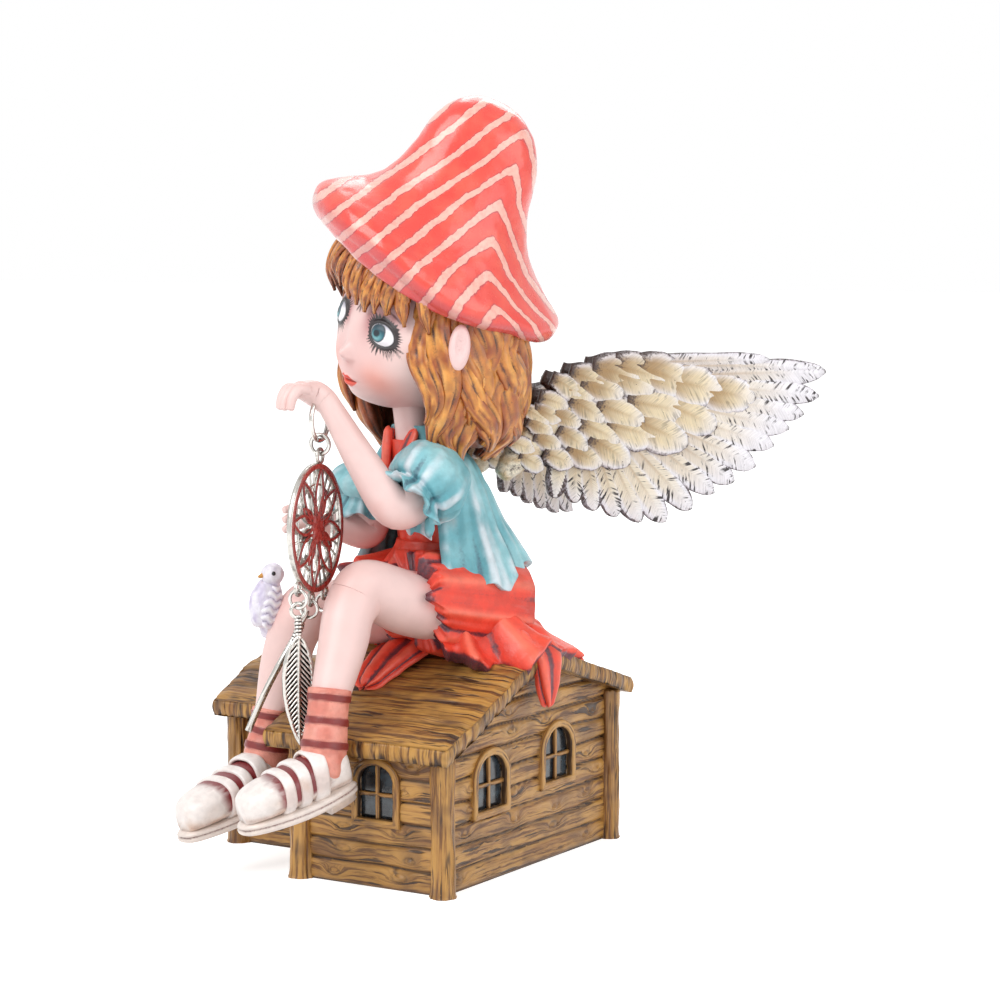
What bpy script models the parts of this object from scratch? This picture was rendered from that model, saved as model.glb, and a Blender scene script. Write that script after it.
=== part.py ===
"""Fairy in a mushroom hat, seated on the ridge of a timber cottage and holding a dreamcatcher charm.

The cottage, the fairy and the bird are one resin casting. The two wings are castings of their
own, pegged into the back of the coat. The charm is cast and bent metal: a ring through the raised
hand, a link, an openwork disc and three feathers on jump rings. Sizes are in millimetres.
"""

import math

import bpy
import bmesh
from mathutils import Matrix, Vector

METRE = 1000.0
WELD = 0.008
KNOT = 0.1
STRAIGHT = math.radians(4.0)
CASTING_FACETS = 6400
DISC_FACETS = 1240
WING_FACETS = 980
SEAT_GAP = 0.3

# Cottage plan: a front bay on the right and a recessed wing on the left
HOUSE_RIGHT = 38.0
HOUSE_LEFT = -38.0
HOUSE_BACK = 38.0
BAY_FRONT = -38.0
BAY_LEFT = -2.0
RECESS_FRONT = -15.0

# Cottage roofs
RIDGE_Y = 0.5
RIDGE_HEIGHT = 54.0
FRONT_EAVE_HEIGHT = 35.6
BACK_EAVE_HEIGHT = 41.0
LOW_RIDGE_HEIGHT = 46.5
LOW_FRONT_EAVE_HEIGHT = 36.6
LOW_BACK_EAVE_HEIGHT = 37.0
ROOF_OVERHANG = 4.2
BAY_ROOF_OVERHANG = 7.6
ROOF_THICKNESS = 4.4
BOARD_GROOVE = 0.5

# Cottage timber
POST_RADIUS = 2.7
POST_FLARE = 0.5
PLANK_COUNT = 5
PLANK_GROOVE = 0.6
WINDOW_WIDTH = 13.6
WINDOW_HEIGHT = 16.4
WINDOW_FRAME = 1.9
WINDOW_PROUD = 0.9
WINDOW_RECESS = 1.2
GLAZING_BAR = 0.7

# Fairy: where she sits and which way she faces
SEAT_X = 13.6
SEAT_Y = 3.0
FACING = math.radians(18.0)
HIP_SPREAD = 8.0
HIP_HEIGHT = RIDGE_HEIGHT + 7.0
NECK_HEIGHT = RIDGE_HEIGHT + 51.0
THIGH_RADIUS = 8.6
KNEE_RADIUS = 6.3
CALF_RADIUS = 6.0
ANKLE_RADIUS = 4.3

# Head and hat
HEAD_FORWARD = 7.0
HEAD_HEIGHT = RIDGE_HEIGHT + 75.0
HEAD_YAW = math.radians(4.0)
HEAD_WIDTH = 38.0
HEAD_DEPTH = 40.0
HEAD_TALL = 39.0
HAT_BRIM_RADIUS = 32.0
HAT_TALL = 42.0
HAT_CROWN_DRIFT = 2.0
HAT_LEAN_BACK = 0.275
HAT_LEAN_LEFT = 0.395
LOCK_COUNT = 17
LOCK_DEPTH = 1.7
LOCK_SWAY = 0.11
LOCK_WAVE = 17.0
LOCK_RADIUS = 2.7
HAIR_BACK = -5.2
HAIR_WIDTH = 44.0
HAIR_DEPTH = 38.0

# Wings
WING_SWEEP = math.radians(18.0)
WING_ROOT_SPREAD = 6.0
WING_ROOT_BACK = 9.6
WING_ROOT_HEIGHT = RIDGE_HEIGHT + 39.0
WING_PEG_RADIUS = 2.2
WING_PEG_LENGTH = 5.0

# Charm
CHARM_TURN = math.radians(77.5)
DISC_TILT = math.radians(10.0)
WIRE = 1.2
HAND_RING_RADIUS = 4.9
LINK_RADIUS = 2.3
LINK_WIRE = 1.0
DISC_RADIUS = 15.2
DISC_THICKNESS = 1.6
DISC_RIM = 1.5
PETALS = 8
PETAL_REACH = 10.2
HUB_RADIUS = 3.4
WEB = 0.7
JUMP_RADIUS = 2.1
JUMP_WIRE = 0.8
FEATHER_LENGTH = 25.6
FEATHER_WIDTH = 7.6
FEATHER_THICKNESS = 1.0
BARBS = 5
EYE_RADIUS = 1.7
TAB_SHARE = 0.86
EYE_WIRE = 0.9

FINISHES = {
    "Wood": ((0.27, 0.12, 0.03), 0.55, 0.0),
    "Pane": ((0.012, 0.018, 0.025), 0.3, 0.0),
    "Skin": ((0.83, 0.62, 0.6), 0.4, 0.0),
    "Hair": ((0.63, 0.22, 0.03), 0.45, 0.0),
    "Hat": ((0.81, 0.08, 0.05), 0.25, 0.0),
    "Coat": ((0.26, 0.56, 0.6), 0.5, 0.0),
    "Dress": ((0.82, 0.08, 0.04), 0.45, 0.0),
    "Sock": ((0.8, 0.33, 0.26), 0.5, 0.0),
    "Shoe": ((0.85, 0.77, 0.73), 0.35, 0.0),
    "Bird": ((0.7, 0.66, 0.77), 0.5, 0.0),
    "Wing": ((0.79, 0.64, 0.39), 0.5, 0.0),
    "Silver": ((0.48, 0.47, 0.45), 0.3, 1.0),
}

UP = Vector((0.0, 0.0, 1.0))
FORWARD = Vector((-math.sin(FACING), -math.cos(FACING), 0.0))
LEFT = Vector((math.cos(FACING), -math.sin(FACING), 0.0))
SEAT = Vector((SEAT_X, SEAT_Y, 0.0))


def clear_scene():
    """Starts from an empty file with one collection for the parts and one for the tools."""
    for obj in list(bpy.data.objects):
        bpy.data.objects.remove(obj)
    made = {}
    for name in ("Fairy figurine", "Cutters"):
        made[name] = bpy.data.collections.new(name)
        bpy.context.scene.collection.children.link(made[name])
    made["Cutters"].hide_render = True
    return made["Fairy figurine"], made["Cutters"]


PARTS, CUTTERS = clear_scene()


def make_finishes():
    """One Principled material for each painted or plated finish."""
    for name, (colour, roughness, metallic) in FINISHES.items():
        material = bpy.data.materials.new(name)
        material.use_nodes = True
        shader = material.node_tree.nodes["Principled BSDF"]
        shader.inputs["Base Color"].default_value = (*colour, 1.0)
        shader.inputs["Roughness"].default_value = roughness
        shader.inputs["Metallic"].default_value = metallic


def on_body(forward, left, height):
    """A point given in front of, to the left of and above the place where she sits."""
    return SEAT + FORWARD * forward + LEFT * left + UP * height


def on_head(forward, left, height):
    """A point measured from the middle of the head, which is turned a little further than the body."""
    turn = Matrix.Rotation(-HEAD_YAW, 3, "Z")
    return on_body(HEAD_FORWARD, 0.0, HEAD_HEIGHT) + turn @ (FORWARD * forward + LEFT * left) + UP * height


def solid(name, points, faces, finish):
    """A mesh object from points in millimetres, with its faces turned outwards."""
    mesh = bpy.data.meshes.new(name)
    mesh.from_pydata([Vector(point) for point in points], [], faces)
    shape = bmesh.new()
    shape.from_mesh(mesh)
    bmesh.ops.recalc_face_normals(shape, faces=shape.faces)
    shape.to_mesh(mesh)
    shape.free()
    mesh.materials.append(bpy.data.materials[finish])
    obj = bpy.data.objects.new(name, mesh)
    PARTS.objects.link(obj)
    return obj


def loft(name, sections, finish, ends=(None, None)):
    """Joins sections of equally many points, and closes each end on a point or on its middle."""
    count = len(sections[0])
    points = [point for section in sections for point in section]
    faces = []
    for row in range(len(sections) - 1):
        for k in range(count):
            a = row * count + k
            b = row * count + (k + 1) % count
            faces.append((a, b, b + count, a + count))
    for section, start, tip in ((sections[0], 0, ends[0]), (sections[-1], (len(sections) - 1) * count, ends[1])):
        middle = sum((Vector(point) for point in section), Vector()) / count
        points.append(middle if tip is None else Vector(tip))
        for k in range(count):
            faces.append((start + k, start + (k + 1) % count, len(points) - 1))
    return solid(name, points, faces, finish)


def ellipse(centre, across, upward, half_width, half_height, count, power=1.0):
    """A ring of points. A power under one squares its corners."""
    ring = []
    for k in range(count):
        angle = math.tau * k / count
        c = math.copysign(abs(math.cos(angle)) ** power, math.cos(angle))
        s = math.copysign(abs(math.sin(angle)) ** power, math.sin(angle))
        ring.append(centre + across * (half_width * c) + upward * (half_height * s))
    return ring


def spline(keys, steps):
    """Catmull-Rom values through the keys, each a tuple of numbers, with the ends kept."""
    out = []
    padded = [keys[0]] + list(keys) + [keys[-1]]
    for i in range(1, len(padded) - 2):
        for step in range(steps):
            t = step / steps
            row = []
            for a, b, c, d in zip(padded[i - 1], padded[i], padded[i + 1], padded[i + 2]):
                row.append(
                    0.5 * (2 * b + (c - a) * t + (2 * a - 5 * b + 4 * c - d) * t**2 + (3 * b - a - 3 * c + d) * t**3)
                )
            out.append(tuple(row))
    out.append(tuple(keys[-1]))
    return out


def limb(name, keys, finish, side=LEFT, count=12, steps=3, round_ends=(0.5, 0.5)):
    """A smooth tapered form along keys of (point, half width, half height), with rounded ends."""
    rows = spline([(*point, width, height) for point, width, height in keys], steps)
    path = [Vector(row[:3]) for row in rows]
    sections = []
    for i, row in enumerate(rows):
        ahead = (path[min(i + 1, len(path) - 1)] - path[max(i - 1, 0)]).normalized()
        across = (side - ahead * side.dot(ahead)).normalized()
        upward = ahead.cross(across)
        sections.append(ellipse(path[i], across, upward, row[3], row[4], count))
    start = path[0] + (path[0] - path[1]).normalized() * rows[0][3] * round_ends[0]
    end = path[-1] + (path[-1] - path[-2]).normalized() * rows[-1][3] * round_ends[1]
    return loft(name, sections, finish, (start, end))


def tube(name, path, radii, finish, closed=False, resolution=2):
    """A bent rod: a curve with a round bevel, turned into a welded mesh."""
    curve = bpy.data.curves.new(name, "CURVE")
    curve.dimensions = "3D"
    curve.bevel_depth = 1.0
    curve.bevel_resolution = resolution
    curve.use_fill_caps = True
    line = curve.splines.new("POLY")
    line.points.add(len(path) - 1)
    line.use_cyclic_u = closed
    for knot, point, radius in zip(line.points, path, radii):
        knot.co = (*point, 1.0)
        knot.radius = radius
    bent = bpy.data.objects.new(name + " curve", curve)
    PARTS.objects.link(bent)
    graph = bpy.context.evaluated_depsgraph_get()
    mesh = bpy.data.meshes.new_from_object(bent.evaluated_get(graph))
    shape = bmesh.new()
    shape.from_mesh(mesh)
    bmesh.ops.remove_doubles(shape, verts=shape.verts, dist=WELD)
    bmesh.ops.recalc_face_normals(shape, faces=shape.faces)
    shape.to_mesh(mesh)
    shape.free()
    bpy.data.objects.remove(bent)
    mesh.materials.clear()
    mesh.materials.append(bpy.data.materials[finish])
    obj = bpy.data.objects.new(name, mesh)
    PARTS.objects.link(obj)
    return obj


def box(name, low, high, finish):
    """A rectangular block between two corners."""
    shape = bmesh.new()
    bmesh.ops.create_cube(shape, size=1.0)
    for vertex in shape.verts:
        vertex.co = Vector(
            tuple(low[k] + (vertex.co[k] + 0.5) * (high[k] - low[k]) for k in range(3))
        )
    return from_shape(name, shape, finish)


def ball(name, centre, radii, finish, axes=(FORWARD, LEFT, UP), segments=16, rings=10):
    """An egg with its own three axes."""
    shape = bmesh.new()
    bmesh.ops.create_uvsphere(shape, u_segments=segments, v_segments=rings, radius=1.0)
    for vertex in shape.verts:
        place = vertex.co.copy()
        vertex.co = centre + sum((axes[k] * (radii[k] * place[k]) for k in range(3)), Vector())
    return from_shape(name, shape, finish)


def from_shape(name, shape, finish):
    """Ends a bmesh as an object."""
    bmesh.ops.recalc_face_normals(shape, faces=shape.faces)
    mesh = bpy.data.meshes.new(name)
    shape.to_mesh(mesh)
    shape.free()
    mesh.materials.append(bpy.data.materials[finish])
    obj = bpy.data.objects.new(name, mesh)
    PARTS.objects.link(obj)
    return obj


def prism(name, outline, start, end, finish):
    """A flat outline carried from one place to another: both are functions of an outline point."""
    points = [start(point) for point in outline] + [end(point) for point in outline]
    count = len(outline)
    faces = [tuple(range(count)), tuple(range(2 * count - 1, count - 1, -1))]
    faces += [(k, (k + 1) % count, (k + 1) % count + count, k + count) for k in range(count)]
    return solid(name, points, faces, finish)


def apply_boolean(target, others, operation):
    """Joins or cuts with all the others at once, and puts the spent ones away."""
    group = bpy.data.collections.new("Spent")
    CUTTERS.children.link(group)
    for other in others:
        PARTS.objects.unlink(other)
        group.objects.link(other)
    modifier = target.modifiers.new(operation.title(), "BOOLEAN")
    modifier.operation = operation
    modifier.solver = "EXACT"
    modifier.operand_type = "COLLECTION"
    modifier.collection = group
    modifier.use_self = True
    modifier.material_mode = "TRANSFER"
    graph = bpy.context.evaluated_depsgraph_get()
    mesh = bpy.data.meshes.new_from_object(target.evaluated_get(graph))
    target.modifiers.remove(modifier)
    target.data = mesh
    for other in others:
        bpy.data.objects.remove(other)
    bpy.data.collections.remove(group)
    return target


def shells(shape):
    """The groups of facets joined edge to edge, the largest first."""
    seen = set()
    groups = []
    for facet in shape.faces:
        if facet in seen:
            continue
        seen.add(facet)
        group = [facet]
        for member in group:
            for edge in member.edges:
                for other in edge.link_faces:
                    if other not in seen:
                        seen.add(other)
                        group.append(other)
        groups.append(group)
    return sorted(groups, key=len, reverse=True)


def keep_skin(shape):
    """Deletes every shell but the largest, which is the outer skin."""
    for group in shells(shape)[1:]:
        bmesh.ops.delete(shape, geom=group, context="FACES")


def untie(shape):
    """Draws each tiny knot of edges, where more than two facets meet, into one point."""
    for _ in range(3):
        knots = [edge for edge in shape.edges if len(edge.link_faces) != 2 and edge.calc_length() < KNOT]
        if knots:
            bmesh.ops.collapse(shape, edges=knots)


def turn_diagonals(shape):
    """Where the diagonals of two facets fell on one line, turns one of the two."""
    for edge in [edge for edge in shape.edges if len(edge.link_faces) == 4]:
        a, b = edge.verts
        pairs = [(f, g) for f in edge.link_faces for g in edge.link_faces if f is not g]
        for first, second in sorted(pairs, key=lambda pair: -pair[0].normal.dot(pair[1].normal)):
            loop = next(loop for loop in first.loops if loop.edge is edge)
            start, end = (a, b) if loop.vert is a else (b, a)
            c = next(vertex for vertex in first.verts if vertex not in (a, b))
            d = next(vertex for vertex in second.verts if vertex not in (a, b))
            if c is d or shape.edges.get((c, d)) is not None:
                continue
            halves = ((c, start, d), (d, end, c))
            along = first.normal
            turned = [(q.co - p.co).cross(r.co - p.co).dot(along) for p, q, r in halves]
            if min(turned) <= 0.0:
                continue
            finish = first.material_index
            bmesh.ops.delete(shape, geom=[first, second], context="FACES_KEEP_BOUNDARY")
            for half in halves:
                shape.faces.new(half).material_index = finish
            break


def tidy(body, most=None):
    """Welds what lies together, keeps the outer skin only, and thins the facets where it is flat."""
    shape = bmesh.new()
    shape.from_mesh(body.data)
    keep_skin(shape)
    bmesh.ops.remove_doubles(shape, verts=shape.verts, dist=WELD / 2)
    bmesh.ops.dissolve_degenerate(shape, edges=shape.edges, dist=WELD / 2)
    untie(shape)
    straight = [v for v in shape.verts if len(v.link_edges) == 2 and v.calc_edge_angle(0.0) < STRAIGHT]
    bmesh.ops.dissolve_verts(shape, verts=straight)
    bmesh.ops.triangulate(shape, faces=shape.faces)
    shape.normal_update()
    turn_diagonals(shape)
    untie(shape)
    keep_skin(shape)
    count = len(shape.faces)
    shape.to_mesh(body.data)
    shape.free()
    if most is not None and count > most:
        modifier = body.modifiers.new("Thin", "DECIMATE")
        modifier.ratio = most / count
        graph = bpy.context.evaluated_depsgraph_get()
        mesh = bpy.data.meshes.new_from_object(body.evaluated_get(graph))
        body.modifiers.remove(modifier)
        body.data = mesh
    body.data.shade_smooth()
    body.data.set_sharp_from_angle(angle=math.radians(40.0))
    return body


def join(name, pieces, most=None):
    """One closed body from overlapping forms, each of which keeps its own finish."""
    body = apply_boolean(pieces[0], pieces[1:], "UNION")
    body.name = name
    return tidy(body, most)


# Cottage


def roof_height(y):
    """Top of the main roof above a line across the house."""
    if y < RIDGE_Y:
        fall = (RIDGE_HEIGHT - FRONT_EAVE_HEIGHT) / (RIDGE_Y - BAY_FRONT + ROOF_OVERHANG)
        return RIDGE_HEIGHT - fall * (RIDGE_Y - y)
    fall = (RIDGE_HEIGHT - BACK_EAVE_HEIGHT) / (HOUSE_BACK + ROOF_OVERHANG - RIDGE_Y)
    return RIDGE_HEIGHT - fall * (y - RIDGE_Y)


def along_x(x):
    """Places an outline of (y, z) points at one x."""
    return lambda point: Vector((x, point[0], point[1]))


def roof_outline(front, back, front_top, ridge_top, back_top):
    """The bent section of a roof slab."""
    thick = ROOF_THICKNESS
    return [
        (front, front_top),
        (RIDGE_Y, ridge_top),
        (back, back_top),
        (back - 0.6, back_top - thick),
        (RIDGE_Y, ridge_top - thick),
        (front + 0.6, front_top - thick),
    ]


def cottage_walls():
    """The two wall blocks, each reaching into the underside of its roof."""
    under = ROOF_THICKNESS * 0.6
    main = [
        (BAY_FRONT, 0.0),
        (HOUSE_BACK, 0.0),
        (HOUSE_BACK, roof_height(HOUSE_BACK) - under),
        (RIDGE_Y, RIDGE_HEIGHT - under),
        (BAY_FRONT, roof_height(BAY_FRONT) - under),
    ]
    low = [
        (RECESS_FRONT, 0.0),
        (HOUSE_BACK - 0.4, 0.0),
        (HOUSE_BACK - 0.4, LOW_BACK_EAVE_HEIGHT - 1.0),
        (RIDGE_Y, LOW_RIDGE_HEIGHT - under),
        (RECESS_FRONT, LOW_FRONT_EAVE_HEIGHT - 1.0),
    ]
    return [
        prism("main walls", main, along_x(BAY_LEFT), along_x(HOUSE_RIGHT), "Wood"),
        prism("low walls", low, along_x(HOUSE_LEFT), along_x(BAY_LEFT + 3.0), "Wood"),
    ]


def cottage_roofs():
    """The main roof over the bay, and the lower roof over the recessed wing."""
    main = roof_outline(
        BAY_FRONT - ROOF_OVERHANG,
        HOUSE_BACK + ROOF_OVERHANG,
        FRONT_EAVE_HEIGHT,
        RIDGE_HEIGHT,
        BACK_EAVE_HEIGHT,
    )
    low = roof_outline(
        RECESS_FRONT - ROOF_OVERHANG,
        HOUSE_BACK + ROOF_OVERHANG - 0.5,
        LOW_FRONT_EAVE_HEIGHT,
        LOW_RIDGE_HEIGHT,
        LOW_BACK_EAVE_HEIGHT,
    )
    left = BAY_LEFT - BAY_ROOF_OVERHANG
    return [
        prism("main roof", main, along_x(left), along_x(HOUSE_RIGHT + ROOF_OVERHANG), "Wood"),
        prism("low roof", low, along_x(HOUSE_LEFT - ROOF_OVERHANG), along_x(left + 4.0), "Wood"),
    ]


def cottage_posts():
    """Peeled log posts at the corners, a little wider at the foot."""
    posts = []
    places = [
        (HOUSE_RIGHT, BAY_FRONT, FRONT_EAVE_HEIGHT),
        (BAY_LEFT, BAY_FRONT, FRONT_EAVE_HEIGHT),
        (HOUSE_RIGHT, HOUSE_BACK, BACK_EAVE_HEIGHT),
        (HOUSE_LEFT, RECESS_FRONT, LOW_FRONT_EAVE_HEIGHT),
        (HOUSE_LEFT, HOUSE_BACK, LOW_BACK_EAVE_HEIGHT),
    ]
    for k, (x, y, eave) in enumerate(places):
        shape = bmesh.new()
        bmesh.ops.create_cone(
            shape,
            cap_ends=True,
            segments=12,
            radius1=POST_RADIUS + POST_FLARE,
            radius2=POST_RADIUS,
            depth=eave - 2.0,
            matrix=Matrix.Translation((x, y, (eave - 2.0) / 2)) @ Matrix.Rotation(0.13, 4, "Z"),
        )
        posts.append(from_shape(f"post {k}", shape, "Wood"))
    return posts


def arch(width, height, steps=6):
    """A window outline with a straight sill and a round head, centred over its sill."""
    half = width / 2
    points = [(-half, 0.0), (half, 0.0)]
    for k in range(steps + 1):
        angle = math.pi * k / steps
        points.append((half * math.cos(angle), height - half * 0.8 + half * 0.8 * math.sin(angle)))
    return points


def window(k, place, outward, along, width):
    """Frame, glazing bars and the pocket for the dark pane: returns what is added and what is cut."""

    def at(depth):
        return lambda point: place + along * point[0] + UP * point[1] + outward * depth

    inner_width = width - 2 * WINDOW_FRAME
    inner = [
        (x, z + WINDOW_FRAME) for x, z in arch(inner_width, WINDOW_HEIGHT - 2 * WINDOW_FRAME)
    ]
    frame = prism(f"frame {k}", arch(width, WINDOW_HEIGHT), at(-0.7), at(WINDOW_PROUD), "Wood")
    pocket = prism(f"pocket {k}", inner, at(-WINDOW_RECESS), at(WINDOW_PROUD + 1.0), "Pane")
    bars = []
    half = GLAZING_BAR / 2
    reach = inner_width / 2 + 0.5
    low = WINDOW_FRAME - 0.5
    high = WINDOW_HEIGHT - WINDOW_FRAME + 0.4
    waist = WINDOW_HEIGHT * 0.46
    upright = [(-half, low), (half, low), (half, high), (-half, high)]
    level = [(-reach, waist - half), (reach, waist - half), (reach, waist + half), (-reach, waist + half)]
    for name, outline in (("upright", upright), ("level", level)):
        bars.append(prism(f"{name} bar {k}", outline, at(-WINDOW_RECESS - 0.5), at(0.1), "Wood"))
    return frame, pocket, bars


def cottage_grooves():
    """Saw cuts between the wall planks and between the roof boards."""
    cuts = []
    deep = PLANK_GROOVE
    pitch = (FRONT_EAVE_HEIGHT - ROOF_THICKNESS) / PLANK_COUNT
    inset = POST_RADIUS + 0.8
    for k in range(1, PLANK_COUNT):
        z = pitch * k
        half = PLANK_GROOVE / 2
        spans = [
            ((BAY_LEFT + inset, BAY_FRONT - 1.0), (HOUSE_RIGHT - inset, BAY_FRONT + deep)),
            ((HOUSE_RIGHT - deep, BAY_FRONT + inset), (HOUSE_RIGHT + 1.0, HOUSE_BACK - inset)),
            ((HOUSE_LEFT + inset, HOUSE_BACK - deep - 0.4), (HOUSE_RIGHT - inset, HOUSE_BACK + 1.0)),
            ((HOUSE_LEFT - 1.0, RECESS_FRONT + inset), (HOUSE_LEFT + deep, HOUSE_BACK - inset)),
            ((HOUSE_LEFT + inset, RECESS_FRONT - 1.0), (BAY_LEFT - 1.0, RECESS_FRONT + deep)),
        ]
        for n, (low, high) in enumerate(spans):
            cuts.append(box(f"plank cut {k} {n}", (*low, z - half), (*high, z + half), "Wood"))
    for n, share in enumerate((0.2, 0.4, 0.6, 0.8)):
        for side, end in (("front", BAY_FRONT - ROOF_OVERHANG), ("back", HOUSE_BACK + ROOF_OVERHANG)):
            y = RIDGE_Y + (end - RIDGE_Y) * share
            top = roof_height(y)
            low = (BAY_LEFT - BAY_ROOF_OVERHANG - 1.0, y - 0.3, top - BOARD_GROOVE)
            high = (HOUSE_RIGHT + ROOF_OVERHANG + 1.0, y + 0.3, top + 2.0)
            cuts.append(box(f"{side} board cut {n}", low, high, "Wood"))
    return cuts


def cottage():
    """The whole cottage as a list of forms to join, after its own cuts."""
    walls = cottage_walls()
    body = join("cottage", walls + cottage_posts() + cottage_roofs())
    body = apply_boolean(body, cottage_grooves(), "DIFFERENCE")
    windows = [
        window(0, Vector((19.7, BAY_FRONT, 14.4)), Vector((0, -1, 0)), Vector((1, 0, 0)), WINDOW_WIDTH),
        window(1, Vector((HOUSE_RIGHT, -18.0, 15.4)), Vector((1, 0, 0)), Vector((0, 1, 0)), WINDOW_WIDTH + 2.6),
        window(2, Vector((HOUSE_RIGHT, 12.4, 17.4)), Vector((1, 0, 0)), Vector((0, 1, 0)), WINDOW_WIDTH + 2.6),
    ]
    for frame, pocket, bars in windows:
        body = apply_boolean(body, [frame], "UNION")
        body = apply_boolean(body, [pocket], "DIFFERENCE")
        body = apply_boolean(body, bars, "UNION")
    return body


# Legs, socks and shoes

NEAR_LEG = {
    "hip": (0.0, HIP_SPREAD, HIP_HEIGHT),
    "knee": (35.6, 9.3, HIP_HEIGHT + 8.0),
    "calf": (41.6, 11.6, HIP_HEIGHT - 4.0),
    "sock": (47.2, 14.0, HIP_HEIGHT - 14.6),
    "ankle": (49.8, 15.2, HIP_HEIGHT - 27.0),
    "heel": (46.5, 16.2, HIP_HEIGHT - 35.0),
    "toe": (70.0, 12.2, HIP_HEIGHT - 41.5),
}
FAR_LEG = {
    "hip": (0.0, -HIP_SPREAD, HIP_HEIGHT - 0.5),
    "knee": (34.6, -13.7, HIP_HEIGHT + 1.0),
    "calf": (38.6, -16.4, HIP_HEIGHT - 14.0),
    "sock": (41.0, -17.4, HIP_HEIGHT - 24.0),
    "ankle": (42.6, -17.6, HIP_HEIGHT - 32.5),
    "heel": (41.0, -17.6, HIP_HEIGHT - 41.5),
    "toe": (68.0, -14.6, HIP_HEIGHT - 48.0),
}
SHOE_HALF_WIDTH = 6.0
SHOE_TALL = 10.5
SOLE_THICKNESS = 1.8
STRAP_WIDTH = 3.4


def leg(side, marks):
    """Thigh, knee and calf as one smooth form."""
    hip, knee, calf, sock = (on_body(*marks[name]) for name in ("hip", "knee", "calf", "sock"))
    middle = hip.lerp(knee, 0.55) - UP * 1.2
    shank = knee.lerp(calf, 0.45) + FORWARD * 1.0
    keys = [
        (hip, THIGH_RADIUS + 0.6, THIGH_RADIUS),
        (middle, THIGH_RADIUS - 0.6, THIGH_RADIUS - 0.8),
        (knee - FORWARD * 3.0, KNEE_RADIUS, KNEE_RADIUS + 0.4),
        (knee + FORWARD * 0.8 - UP * 2.6, KNEE_RADIUS - 0.1, KNEE_RADIUS + 0.2),
        (shank - UP * 1.0, CALF_RADIUS, CALF_RADIUS),
        (calf, CALF_RADIUS - 0.3, CALF_RADIUS - 0.2),
        (sock, ANKLE_RADIUS + 0.2, ANKLE_RADIUS + 0.2),
    ]
    return limb(f"{side} leg", keys, "Skin", count=14, steps=2, round_ends=(0.6, 0.3))


def sock(side, marks):
    """The sock, thicker than the skin, with three ribs that carry the stripes."""
    top, ankle, heel = (on_body(*marks[name]) for name in ("sock", "ankle", "heel"))
    radius = ANKLE_RADIUS + 0.5
    foot = heel.lerp(ankle, 0.3) + FORWARD * 3.5
    keys = [
        (top + UP * 0.6, radius, radius),
        (top.lerp(ankle, 0.5), radius, radius),
        (ankle, radius + 0.4, radius + 0.6),
        (foot, radius + 0.2, radius),
    ]
    pieces = [limb(f"{side} sock", keys, "Sock", count=14, steps=2, round_ends=(0.0, 0.5))]
    slope = (ankle - top).normalized()
    for k, share in enumerate((0.03, 0.5, 0.95)):
        middle = top.lerp(ankle, share)
        across = (LEFT - slope * LEFT.dot(slope)).normalized()
        upward = slope.cross(across)
        rib = [
            ellipse(middle + slope * step, across, upward, radius + grow, radius + grow, 14)
            for step, grow in ((-0.8, 0.0), (-0.5, 0.45), (0.5, 0.45), (0.8, 0.0))
        ]
        pieces.append(loft(f"{side} sock rib {k}", rib, "Sock"))
    return pieces


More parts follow.
